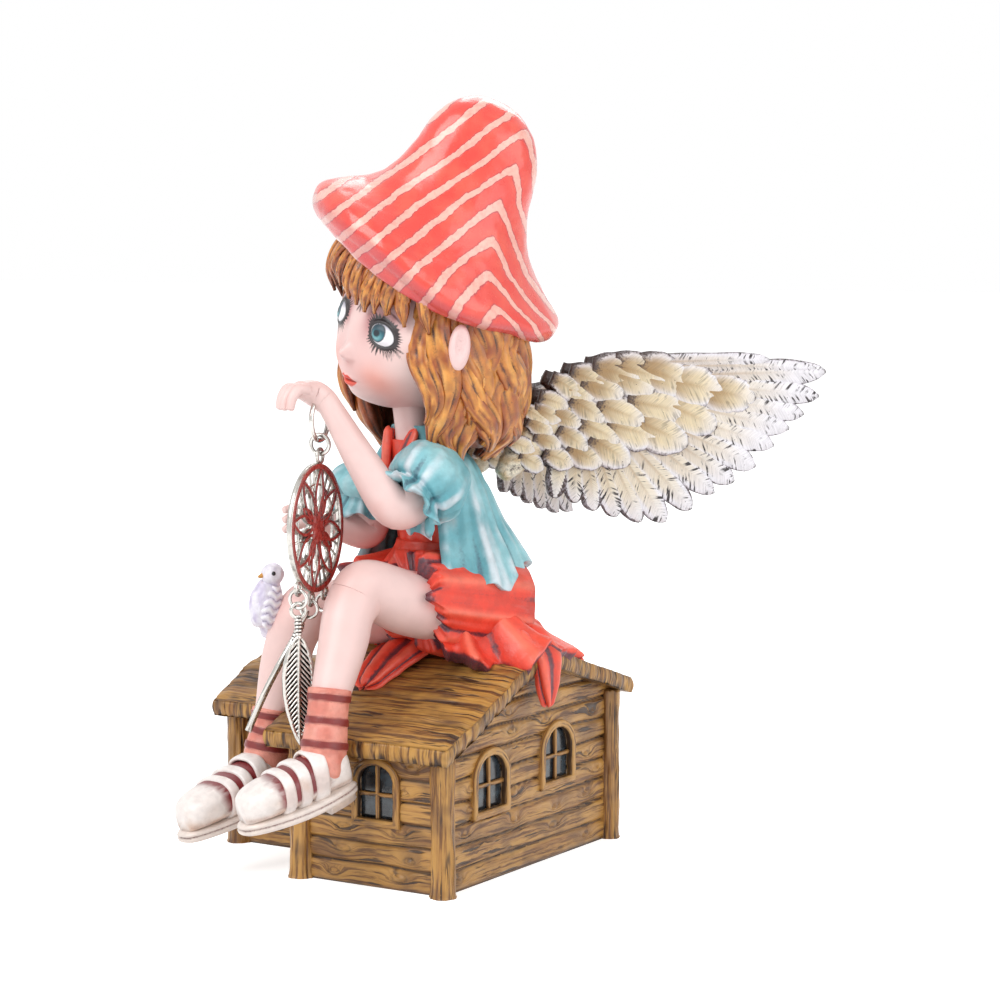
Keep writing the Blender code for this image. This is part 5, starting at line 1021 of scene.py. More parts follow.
@dataclass
class Leg:
    """One leg with its striped sock and strapped shoe."""

    name: str
    marks: dict
    thigh: float = 8.6
    knee: float = 6.3
    calf: float = 6.0
    ankle: float = 4.3
    half_wide: float = 6.0
    tall: float = 10.5
    sole: float = 1.8

    def at(self, mark: str) -> np.ndarray:
        """A landmark of the leg as a point."""
        return on_body(*self.marks[mark])

    def bare(self) -> Shell:
        """Thigh, knee and calf."""
        hip, knee, calf, sock = (self.at(name) for name in ("hip", "knee", "calf", "sock"))
        middle = hip * 0.45 + knee * 0.55 - UP * 1.2
        shank = knee * 0.55 + calf * 0.45 + FORWARD
        keys = [
            (hip, self.thigh + 0.6, self.thigh),
            (middle, self.thigh - 0.6, self.thigh - 0.8),
            (knee - FORWARD * 3, self.knee, self.knee + 0.4),
            (knee + FORWARD * 0.8 - UP * 2.6, self.knee - 0.1, self.knee + 0.2),
            (shank - UP, self.calf, self.calf),
            (calf, self.calf - 0.3, self.calf - 0.2),
            (sock - UP * 1.0, self.ankle + 0.2, self.ankle + 0.2),
        ]
        shell = limb(keys, count=48, steps=10, ends=(0.6, 0.3))
        cap = np.exp(-(((shell.points - knee - FORWARD * 3) ** 2).sum(1)) / 30)
        paint = blend(SKIN, BLUSH, 0.45 * cap + 0.12 * smooth(-0.2, 0.8, fbm(shell.points, 12.0, 2, 3)))
        return shell.colour(paint, wash=0.0)

    def sock(self) -> Shell:
        """The sock with three maroon bands cast a little proud."""
        top, ankle, heel = self.at("sock"), self.at("ankle"), self.at("heel")
        r = self.ankle + 0.5
        foot = heel * 0.7 + ankle * 0.3 + FORWARD * 3.5
        keys = [(top + UP * 0.6, r, r), (top * 0.5 + ankle * 0.5, r, r), (ankle, r + 0.4, r + 0.6), (foot, r + 0.2, r)]
        shell = limb(keys, count=56, steps=26, ends=(0.06, 0.5))
        slope = unit(ankle - top)
        along = (shell.points - top) @ slope + 0.1 * fbm(shell.points, 3.0, 2, 5) * 2
        long = np.linalg.norm(ankle - top)
        band = sum(smooth(0.95, 0.7, np.abs(along - long * share)) for share in (0.1, 0.52, 0.95))
        shell.push(0.3 * band + 0.25 * smooth(1.0, 0.2, along) + 0.08 * fbm(shell.points, 1.4, 2, 8))
        paint = blend("E29584", "D27C6C", smooth(-0.3, 0.5, fbm(shell.points, 2.0, 2, 2)))
        paint = blend(paint, "7E2724", band)
        edge = sum(bell(np.abs(along - long * share) - 1.05, 0.22) for share in (0.1, 0.52, 0.95))
        return shell.colour(paint, wash=0.4 * edge)

    def shoe(self) -> Shell:
        """Round-toed shoe: upper, welted sole with its seam, heel block, straps and dark-red gaps."""
        heel, toe = self.at("heel"), self.at("toe")
        ahead = unit(toe - heel)
        across = unit(LEFT - ahead * (LEFT @ ahead))
        above = np.cross(across, ahead)
        above = above if above[2] > 0 else -above
        length = np.linalg.norm(toe - heel)

        def size(share):
            wide = self.half_wide * (0.78 + 0.3 * np.sin(pi * np.minimum(1, share * 0.85)) ** 2)
            return wide, self.tall * (1 - 0.3 * share)

        def tube_at(keys, count=64, grow=0.0):
            share, shrink = curve(keys, 8).T
            wide, tall = size(np.maximum(0, share))
            tall = tall * (0.55 + 0.45 * shrink)
            turn = turns(count)
            c = soft(np.cos(turn), 0.8)
            s = soft(np.sin(turn), 0.8)
            middle = heel + np.outer(length * share, ahead) + np.outer(tall / 2 - self.tall * 0.1, above)
            rings = middle[:, None] + np.multiply.outer((wide * shrink + grow)[:, None] * c, across)
            return loft(rings + np.multiply.outer((tall / 2 + grow)[:, None] * s, above))

        upper = tube_at(
            [(-0.12, 0.4), (-0.07, 0.78), (0.04, 0.97), (0.2, 1), (0.4, 1), (0.6, 1.03), (0.78, 1.05), (0.9, 0.99), (0.98, 0.8), (1.02, 0.5)]
        )
        local = upper.points - heel
        f, h, w = local @ ahead / length, local @ above, local @ across
        upper.push(0.12 * fbm(upper.points, 3.0, 2, 4))
        open_top = smooth(0.14, 0.2, f) * smooth(0.74, 0.68, f) * smooth(2.6, 4.2, h + 0.06 * w * w)
        welt = bell(h - 0.3, 0.7)
        paint = blend("EDE4DF", "CBA98F", 0.7 * smooth(0.0, 0.8, fbm(upper.points, 4.0, 3, 6)) * smooth(6, 1, h))
        paint = blend(paint, "C9A48C", 0.5 * welt)
        parts = [upper.colour(blend(paint, "7A2226", open_top), wash=0.3 * welt)]
        for share, half, rise, grow in ((0.25, 1.9, 1.16, 0.55), (0.44, 1.45, 1.03, 0.7), (0.61, 1.35, 0.99, 0.7)):
            wide, tall = size(share)
            count = 72
            turn = turns(count)
            c = soft(np.cos(turn), 0.8)
            s = soft(np.sin(turn), 0.8)
            base = heel + ahead * length * share + above * (tall / 2 - self.tall * 0.1)
            sweep = 0.8 * np.sin(turn)
            rings = []
            for k in range(16):
                t = tau * k / 16
                step = half * soft(cos(t), 0.6) - sweep
                lift = grow * soft(sin(t), 0.6)
                rings.append(
                    base + np.outer(step, ahead) + np.outer(c * (wide + lift + 0.15), across) + np.outer(s * (tall / 2 * rise + lift), above)
                )
            strap = torus(np.array(rings))
            side = np.abs((strap.points - base) @ above)
            paint = blend("F1EAE6", "D6BBA6", 0.6 * smooth(0.1, 0.9, fbm(strap.points, 3.0, 2, 7)))
            parts.append(strap.colour(blend(paint, "B78C7C", 0.4 * smooth(4.4, 1.0, side)), wash=0.0))
        turn = turns(96)
        share = 0.46 - 0.6 * np.cos(turn)
        wide = (self.half_wide + 0.5) * (0.86 + 0.16 * np.sin(pi * np.minimum(1, share)))
        side = wide * soft(np.sin(turn), 0.7)
        rings = []
        for drop, grow in ((0.3, 0.96), (0.0, 1.0), (-0.5, 1.03), (-0.8, 0.99), (-1.0, 0.99), (-1.3, 1.03), (-1.9, 1.02), (-2.3, 0.97)):
            rings.append(
                heel + above * (drop - self.tall * 0.1) + np.outer(length * (0.46 + (share - 0.46) * grow), ahead) + np.outer(side * grow, across)
            )
        sole = loft(np.array(rings))
        seam = bell((sole.points - heel) @ above + self.tall * 0.1 + 0.9, 0.2)
        parts.append(sole.colour("E6D8CF", wash=0.75 * seam))
        back = turn[(share < 0.24)]
        order = np.argsort(np.where(back > pi, back - tau, back))
        outline = np.stack([length * share[share < 0.24][order], side[share < 0.24][order]], 1)
        outline = np.vstack([outline, np.stack([np.full(8, outline[-1, 0]), np.linspace(outline[-1, 1], outline[0, 1], 10)[1:-1]], 1)])
        rings = [
            heel + above * (drop - self.tall * 0.1) + np.outer(outline[:, 0] + 0.4, ahead) + np.outer(outline[:, 1] * 0.95, across) for drop in (0.2, -1.2, -2.4, -3.4, -3.7)
        ]
        block = loft(np.array(rings))
        parts.append(block.colour("DDCBBF", wash=0.5 * bell((block.points - heel) @ above + self.tall * 0.1 + 2.2, 0.3)))
        return merge(parts)

    def build(self, finishes: Finishes) -> None:
        """Makes the leg's three pieces."""
        make(f"leg_{self.name}", self.bare(), finishes.skin, nodes=("figurine_casting",))
        make(f"sock_{self.name}", self.sock(), finishes.sock, nodes=("figurine_casting",))
        make(f"shoe_{self.name}", self.shoe(), finishes.shoe, nodes=("figurine_casting",))


@dataclass
class Coat:
    """Short turquoise coat: an open flared body and two puffed sleeves."""

    opening: float = 50.0
    thick: float = 2.4
    folds: int = 7

    def painted(self, shell: Shell, height: np.ndarray) -> Shell:
        """Dry-brushed turquoise: chalky where the cloth stands out, wash where it is drawn in."""
        paint = blend("5FA3AE", "93C8CF", smooth(-0.5, 0.6, fbm(shell.points, (7, 7, 9), 2, 3)))
        paint = blend(paint, "DDE4EA", 0.9 * smooth(-0.05, 0.8, height) * smooth(-0.5, 0.4, fbm(shell.points, 5.0, 3, 6)))
        paint = blend(paint, "C9A9A0", 0.35 * smooth(0.35, 0.9, fbm(shell.points, 6.0, 2, 9)))
        return shell.colour(paint, wash=0.75 * smooth(-0.35, -0.95, height))

    def body(self) -> Shell:
        """The flared back and fronts."""
        rows = curve(
            [(11.6, 5.4, 4.8, NECK + 1.0, 0.0), (10.0, 9.8, 7.4, NECK - 3.6, 0.01), (8.2, 13.8, 9.8, NECK - 7.5, 0.015), (6.0, 15.2, 12.6, NECK - 15, 0.025),
             (4.6, 16.8, 14.9, NECK - 23, 0.04), (3.4, 19.2, 17.8, RIDGE + 21, 0.055), (3.0, 21.2, 20.0, RIDGE + 15.4, 0.07)], 14)
        turn = np.radians(self.opening) + (tau - 2 * radians(self.opening)) * np.linspace(0, 1, 230)
        f, w, d, z, wave = (c[:, None] for c in rows.T)
        low = np.linspace(0, 1, len(rows))[:, None]
        fine = 0.42 * np.sin(19 * turn + 3 * low + 0.8 * np.sin(5 * turn)) * low + 0.3 * np.sin(31 * turn + 5 * low) * low**2
        folds = np.cos(self.folds * turn + 0.6)
        ripple = 1.4 * low**3 * np.sin(13 * turn + 1.1) + wave * 30 * np.cos(2 * turn + 0.7)
        shells = []
        for inset in (0.0, self.thick):
            lift = (1 + wave * folds)
            spot = SEAT + np.multiply.outer(f + (d * lift - inset + fine) * np.cos(turn), FORWARD)
            spot = spot + np.multiply.outer((w * lift - inset + fine) * np.sin(turn), LEFT) + np.multiply.outer(z + ripple + 0 * turn, UP)
            shells.append(spot)
        shell = slab(*shells)
        height = np.tile((folds * low * 0.8 + fine * 1.1 + 0.2 * bell(low - 0.99, 0.03)).ravel(), 2)
        shell.push(0.22 * fbm(shell.points, (3, 3, 6), 2, 2))
        return self.painted(shell, height)

    def sleeve(self, shoulder, puff, cuff, reach: float, side: float, seed: int) -> Shell:
        """A gathered puff whose cuff opens like a frill."""
        path = unit(cuff - puff)
        across = unit(LEFT - path * (LEFT @ path))
        upward = np.cross(path, across)
        keys = [(*(shoulder - LEFT * side), reach * 0.3, 0.0), (*shoulder, reach * 0.66, 0.01), (*(shoulder * 0.45 + puff * 0.55 + UP * 0.8), reach * 0.95, 0.035), (*puff, reach * 1.04, 0.05),
                (*(puff * 0.38 + cuff * 0.62), reach * 0.9, 0.055), (*(cuff - path * 1.8), reach * 0.7, 0.05), (*(cuff - path * 0.4), reach * 0.78, 0.08), (*(cuff + path * 1.6), reach * 1.0, 0.12), (*(cuff + path * 2.2), reach * 0.94, 0.12),
                (*(cuff + path * 1.0), reach * 0.7, 0.06), (*(cuff - path * 1.0), reach * 0.55, 0.0)]
        rows = curve(keys, 9)
        turn = turns(180)
        r, wave = rows[:, 3:4], rows[:, 4:5]
        t = np.linspace(0, 1, len(rows))[:, None]
        crease = 0.62 * np.cos(7 * turn + 0.5 + 2.2 * t + seed) + 0.5 * np.cos(12 * turn + 4 * t + seed * 2)
        swell = r * (1 + wave * crease) + 0.25 * np.cos(21 * turn + 6 * t) * t
        rings = rows[:, None, :3] + np.multiply.outer(swell * np.cos(turn), across) + np.multiply.outer(swell * np.sin(turn), upward)
        rings = rings + np.multiply.outer(0.8 * np.cos(7 * turn + seed) * smooth(0.6, 0.8, t), path)
        shell = loft(rings)
        shell.push(0.45 * fbm(shell.points, 3.4, 2, seed))
        height = np.append((crease * smooth(0.05, 0.5, t) + 0.5 * bell(t - 0.8, 0.05)).ravel(), [0, -1])
        return self.painted(shell, height)

    def build(self, finishes: Finishes) -> None:
        """Makes the coat."""
        near = self.sleeve(on_body(9.0, 11.0, NECK - 8.0), on_body(17.0, 13.0, NECK - 12.0), on_body(22.4, 12.8, NECK - 15.6), 9.6, 1, 1)
        far = self.sleeve(on_body(10.0, -11.0, NECK - 8.0), on_body(15.4, -13.6, NECK - 13.0), on_body(15.6, -14.2, NECK - 18.5), 8.6, -1, 4)
        make("coat", merge([self.body(), near, far]), finishes.coat, nodes=("figurine_casting",))


@dataclass
class Dress:
    """Orange-red dress: bodice, collar ends, folded skirt and the cloth that hangs from it."""

    reach: tuple = (
        (0, 25, 19.5), (30, 25, 17), (55, 23.5, 6), (75, 26, 0), (90, 31.5, 0), (110, 32, 0), (135, 28, 0),
        (180, 22.5, 0), (225, 19, 0), (270, 19, 0), (305, 22, 5), (335, 25, 16), (360, 25, 19.5),
    )
    folds: int = 11

    def painted(self, shell: Shell, height: np.ndarray) -> Shell:
        """Orange-red with lighter ridges and a plum wash between the folds."""
        paint = blend("E0402C", "EF5E47", smooth(-0.5, 0.9, height + 0.3 * fbm(shell.points, 6.0, 2, 5)))
        paint = blend(paint, "F27A62", 0.6 * smooth(0.6, 1.1, height))
        return shell.colour(paint, wash=0.85 * smooth(-0.45, -1.05, height + 0.25 * fbm(shell.points, 3.0, 2, 1)))

    def roof(self, y: np.ndarray) -> np.ndarray:
        """Height of the roof under the cloth."""
        return House().main_top(y)

    def skirt(self) -> Shell:
        """Gathered at the waist and spread over the thighs and the roof."""
        a = turns(400)
        table = np.array(self.reach, float)
        deg = np.degrees(a)
        k = np.clip(np.searchsorted(table[:, 0], deg, "right") - 1, 0, len(table) - 2)
        share = smooth(0, 1, (deg - table[k, 0]) / (table[k + 1, 0] - table[k, 0]))
        far, lift = (table[k, n] + (table[k + 1, n] - table[k, n]) * share for n in (1, 2))
        level = curve([(0.0, 0.0), (0.14, 0.30), (0.42, 0.66), (0.74, 0.90), (1.0, 1.0)], 15)
        out, down = level[:, :1], level[:, 1:]
        waist = RIDGE + 24.0
        wobble = 0.35 * np.sin(3 * a + 1) + 0.2 * np.sin(5 * a)
        big = np.cos(self.folds * a + 0.9 + wobble)
        small = np.cos(26 * a + 2 + 2 * wobble + 1.5 * out)
        ragged = 0.9 * np.sin(17 * a + 0.4) + 0.7 * np.sin(29 * a + 2) + 0.5 * np.sin(47 * a)
        radius = (10 + (far - 10) * out) * (1 + 0.075 * out * big + 0.018 * out * small) + ragged * out**6
        spot = SEAT + np.multiply.outer(4 * (1 - out) + radius * np.cos(a), FORWARD) + np.multiply.outer(radius * np.sin(a), LEFT)
        x = np.minimum(spot[..., 0], 44.4)
        ground = self.roof(spot[..., 1]) + lift + 0.9 + 0.9 * np.cos(self.folds * a + wobble) + 0.4 * small * out
        spot[..., 0] = x
        spot[..., 2] = waist + (ground - waist) * down + (0.9 * big + 0.35 * small) * out * (1 - 0.8 * out)
        inward = unit(SEAT - spot[-1] * vec(1, 1, 0))
        under = spot[-1] + inward * 0.4 - UP * 1.0
        deeper = spot[-1] + inward * 2.4 - UP * 3.4
        shell = loft(np.concatenate([spot, under[None], deeper[None]]), on_body(4.0, 0, waist + 1), on_body(0, 0, RIDGE - 3))
        # Painted shade under the hem: the two rings turned in beneath it, and the end point below them, take the height
        # of a deep fold so that the plum wash darkens them.
        height = np.vstack([(0.75 * big + 0.45 * small) * smooth(0.02, 0.3, out), -1.2 + 0 * a, -1.4 + 0 * a])
        shell.push(0.18 * fbm(shell.points, 2.6, 2, 2))
        return self.painted(shell, np.append(height.ravel(), [0, -1.4]))

    def tongue(self, keys, side, seed: int, folds: int = 3) -> Shell:
        """A hanging strip of pleated cloth."""
        shell = limb(keys, side=side, count=72, steps=14, ends=(0.6, 0.7))
        pleat = np.cos(tau * folds * 2 * shell.v + seed + 2 * shell.u)
        shell.push(0.55 * pleat + 0.3 * fbm(shell.points, 3.0, 2, seed))
        return self.painted(shell, pleat - 0.15)

    def lap(self, marks: dict, side: float) -> Shell:
        """The skirt's front where it wraps a thigh: pleats along it and a torn slanting edge."""
        hip, knee = on_body(*marks["hip"]), on_body(*marks["knee"])
        ahead = unit(knee - hip)
        across = unit(LEFT - ahead * (LEFT @ ahead)) * side
        above = unit(UP - ahead * (UP @ ahead))
        turn = turns(260)
        t = np.linspace(0, 1, 46)[:, None]
        wobble = 0.4 * np.sin(2 * turn + 1) + 0.25 * np.sin(5 * turn)
        pleat = np.cos(9 * turn + wobble + 1.2 * t * side)
        small = np.cos(20 * turn + 2 * wobble + 2 * t)
        ragged = 1.1 * np.sin(7 * turn + 0.6) + 0.8 * np.sin(13 * turn) + 0.5 * np.sin(29 * turn + 1)
        edge = 21.5 - 8.5 * smooth(0.1, -0.9, np.sin(turn)) + ragged
        reach = -9 + (edge + 9) * t
        radius = 12.9 - 1.2 * smooth(0.4, 1, t) + 2.0 * smooth(1.0, 0.4, t) * np.maximum(np.sin(turn), 0) ** 2
        radius = radius + (0.55 * pleat + 0.25 * small) * (0.35 + 0.65 * t)
        thin = np.concatenate([np.zeros(45), [0.9]])[:, None]
        radius = radius - thin
        spot = hip + np.multiply.outer(reach, ahead) + np.multiply.outer(radius * np.cos(turn), across) + np.multiply.outer(radius * np.sin(turn), above)
        shell = loft(spot)
        # Painted shade: the ring turned in at the torn edge, and the end point inside it, are lowered towards a fold
        # valley so that the plum wash darkens them.
        height = 0.7 * pleat + 0.4 * small - 0.7 * smooth(0.95, 1, t)
        return self.painted(shell, np.append(height.ravel(), [0, -1.2]))

    def build(self, finishes: Finishes) -> None:
        """Makes the dress."""
        rows = curve(
            [(0.0, 15.5, 12.5, RIDGE + 1), (0.5, 15, 12, RIDGE + 10), (2.5, 11.5, 9.5, RIDGE + 20), (5, 11.5, 9.2, RIDGE + 32), (8, 11, 8.2, RIDGE + 43), (11, 6.5, 5.5, NECK - 2.5)], 9
        )
        turn = turns(120)
        f, w, d, z = (c[:, None] for c in rows.T)
        gather = np.cos(16 * turn) * smooth(RIDGE + 30, RIDGE + 20, z)
        spot = SEAT + np.multiply.outer(f + (d + 0.3 * gather) * np.cos(turn), FORWARD)
        spot = spot + np.multiply.outer((w + 0.3 * gather) * np.sin(turn), LEFT) + np.multiply.outer(z + 0 * turn, UP)
        bodice = loft(spot)
        self.painted(bodice, np.append((gather * 0.7).ravel(), [0, 0]))
        verge = 42.2
        along = lambda f, l, grow: (on_body(f, l, float(self.roof((on_body(f, l, 0.0))[1])) + grow))
        y = vec(0, 1, 0)
        parts = [
            bodice,
            self.skirt(),
            self.tongue([(along(8, -1, 2.5), 8.0, 3.0), (along(17, -1, 1.8), 7.0, 2.6), (along(25.5, 1.0, 0.9), 4.2, 2.0)], LEFT, 1),
            self.tongue(
                [(vec(verge - 4, 1, RIDGE + 0.8), 6, 2.6), (vec(verge + 0.2, 0.4, RIDGE - 3), 5.4, 1.9), (vec(verge + 0.6, 0.2, RIDGE - 9), 3.6, 1.7), (vec(verge + 0.4, 0.6, RIDGE - 13.6), 1.6, 1.3)], y, 2, 2
            ),
            self.tongue(
                [(on_body(-14, 12, RIDGE + 1), 5, 2.6), (vec(verge - 8, 13, float(self.roof(13.0)) + 1), 5.6, 2), (vec(verge - 3, 19, float(self.roof(19.0)) + 0.6), 3, 1.4)], y, 3, 2
            ),
            self.lap(NEAR_LEG, 1.0),
            self.lap(FAR_LEG, -1.0),
        ]
        for side in (-1, 1):
            keys = [
                (on_body(15.2, side * 4.6, NECK - 1), 1.9, 0.9), (on_body(17.0, side * 3.6, NECK - 6), 2.2, 0.8), (on_body(17.6, side * 3.0, NECK - 12), 1.7, 0.7), (on_body(17.4, side * 2.4, NECK - 17), 1.0, 0.6)
            ]
            parts.append(self.tongue(keys, LEFT, 4 + side, 1))
        make("dress", merge(parts), finishes.dress, nodes=("figurine_casting",))


@dataclass
class Arms:
    """Bare forearms and both hands."""

    hold: tuple = (38.9, -0.6, NECK + 8.2)
    finger: float = 1.25

    def build(self, finishes: Finishes) -> None:
        """Makes arms, palms and fingers as one skin piece."""
        cuff, elbow, wrist = on_body(22.4, 12.8, NECK - 15.6), on_body(27.4, 12.0, NECK - 18.4), on_body(37.6, 3.0, NECK + 5.2)
        hold = on_body(*self.hold)
        keys = [
            (cuff - FORWARD * 3, 4.8, 4.8), (elbow - FORWARD * 0.6 + UP * 1.2, 4.9, 4.9), (elbow * 0.5 + wrist * 0.5, 3.9, 4.0), (wrist, 2.7, 2.9),
            (
                wrist * 0.5 + hold * 0.5 + FORWARD * 0.6 + UP * 1.2, 3.0, 3.0
            ), (hold + FORWARD * 1.8 + UP * 1.4, 3.4, 3.0), (hold + FORWARD * 5.4 + UP * 2.3, 3.2, 2.1),
        ]
        parts = [limb(keys, count=44, steps=10)]
        for aside, reach in ((2.5, 0.9), (0.85, 1.0), (-0.85, 0.96), (-2.4, 0.8)):
            knuckle = hold + FORWARD * 5.2 + UP * 2.4 + LEFT * aside
            r = self.finger
            parts.append(
                limb([(knuckle, r, r), (knuckle + FORWARD * 2.8 * reach + UP * 0.1, r, r), (knuckle + FORWARD * 4.8 * reach - UP * 1.7, r * 0.92, r * 0.92), (knuckle + FORWARD * 5.6 * reach - UP * 4.2, r * 0.8, r * 0.8)], count=24, steps=8)
            )
        cuff, elbow, wrist = on_body(15.6, -14.2, NECK - 18.5), on_body(13.4, -14.2, NECK - 26.0), on_body(28.4, -15.2, NECK - 22.6)
        keys = [
            (cuff + UP * 2, 4.8, 4.8), (elbow + FORWARD + UP, 4.8, 4.8), (elbow * 0.4 + wrist * 0.6, 3.6, 3.7), (wrist, 2.8, 2.6), (wrist + FORWARD * 3.6 + UP * 0.8, 3.2, 2.3), (wrist + FORWARD * 6.6 + UP * 1.2, 3.0, 1.9)
        ]
        parts.append(limb(keys, count=40, steps=10))
        for lift in (3.6, 1.6, -0.4):
            start = wrist + FORWARD * 5.6 + UP * lift * 0.6
            parts.append(
                limb([(start, 1.2, 1.2), (start + FORWARD * 2.6 + UP * lift * 0.4, 1.15, 1.15), (start + FORWARD * 4.8 + UP * (lift * 0.6 - 0.8), 0.9, 0.9)], count=22, steps=7)
            )
        for shell in parts:
            warm = 0.35 * smooth(0.1, 0.8, fbm(shell.points, 8.0, 2, 6)) + 0.35 * bell(
                np.linalg.norm(shell.points - on_body(25.5, 13.5, NECK - 22), axis=1), 5.0
            )
            shell.colour(blend(SKIN, BLUSH, warm), wash=0.0)
        make("arms_and_hands", merge(parts), finishes.skin, nodes=("figurine_casting",))


@dataclass
class Bird:
    """A small dove perched against the far knee."""

    chest: tuple = (42.0, -18.6, HIP + 2.6)
    crown: tuple = (41.0, -17.2, HIP + 9.4)

    def build(self, finishes: Finishes) -> None:
        """Makes the dove in two finishes."""
        chest, crown = on_body(*self.chest), on_body(*self.crown)
        lean = unit(UP - FORWARD * 0.25)
        fore = -np.cross(lean, LEFT)
        axes = (fore, LEFT, lean)
        body = [ball(chest, (4.0, 3.8, 6.3), axes, 60, 64), ball(crown, (2.8, 2.7, 2.8), axes, 40, 48)]
        body.append(limb([(chest - UP * 4 - LEFT * 0.6, 2.6, 1.6), (chest - UP * 8 - LEFT * 1.4 - FORWARD, 1.8, 0.9)], count=32, steps=16))
        for shell in body:
            shell.push(0.22 * fbm(shell.points, (1.0, 1.0, 2.0), 2, 3))
            tone = fbm(shell.points, (1.6, 1.6, 3.2), 3, 5)
            paint = blend("E9E5EF", "C9BFDA", smooth(-0.3, 0.6, tone))
            shell.colour(paint, wash=0.45 * smooth(0.35, 0.9, tone))
        for side in (1.0, -1.0):
            wing = ball(chest + LEFT * side * 2.4 - UP * 0.8, (2.8, 1.9, 5.3), axes, 50, 60)
            rel = wing.points - chest
            rows = np.cos(3.2 * (rel @ lean) + 1.2 * np.cos(2.2 * (rel @ fore)))
            wing.push(0.16 * rows)
            wing.colour(blend("DCD5E6", "F4F1F6", smooth(-0.5, 0.9, rows)), wash=0.6 * smooth(-0.5, -1.0, rows))
            body.append(wing)
        make("dove_plumage", merge(body), finishes.bird, nodes=("figurine_casting",))
        beak = limb([(crown + FORWARD * 1.8 - LEFT * 0.6, 1.0, 0.9), (crown + FORWARD * 3.4 - LEFT * 0.9 - UP * 0.4, 0.35, 0.3)], count=24, steps=12)
        parts = [beak.colour("C98A2E", wash=0.0)]
        for side in (1.0, -1.0):
            eye = ball(crown + FORWARD * 1.2 + LEFT * side * 2.2 + UP * 0.5, (0.55, 0.45, 0.55), axes, 12, 16)
            parts.append(eye.colour("15141A", wash=0.0))
        make("dove_beak_and_eyes", merge(parts), finishes.hat_plain, nodes=("figurine_casting",))


NEAR_LEG = {
    "hip": (0.0, 8.0, HIP), "knee": (35.6, 9.3, HIP + 8.0), "calf": (41.6, 11.6, HIP - 4.0), "sock": (47.2, 14.0, HIP - 14.6),
    "ankle": (49.8, 15.2, HIP - 27.0), "heel": (46.5, 16.2, HIP - 35.0), "toe": (70.0, 12.2, HIP - 41.5),
}
FAR_LEG = {
    "hip": (0.0, -8.0, HIP - 0.5), "knee": (34.6, -13.7, HIP + 1.0), "calf": (38.6, -16.4, HIP - 14.0), "sock": (41.0, -17.4, HIP - 24.0),
    "ankle": (42.6, -17.6, HIP - 32.5), "heel": (41.0, -17.6, HIP - 41.5), "toe": (68.0, -14.6, HIP - 48.0),
}


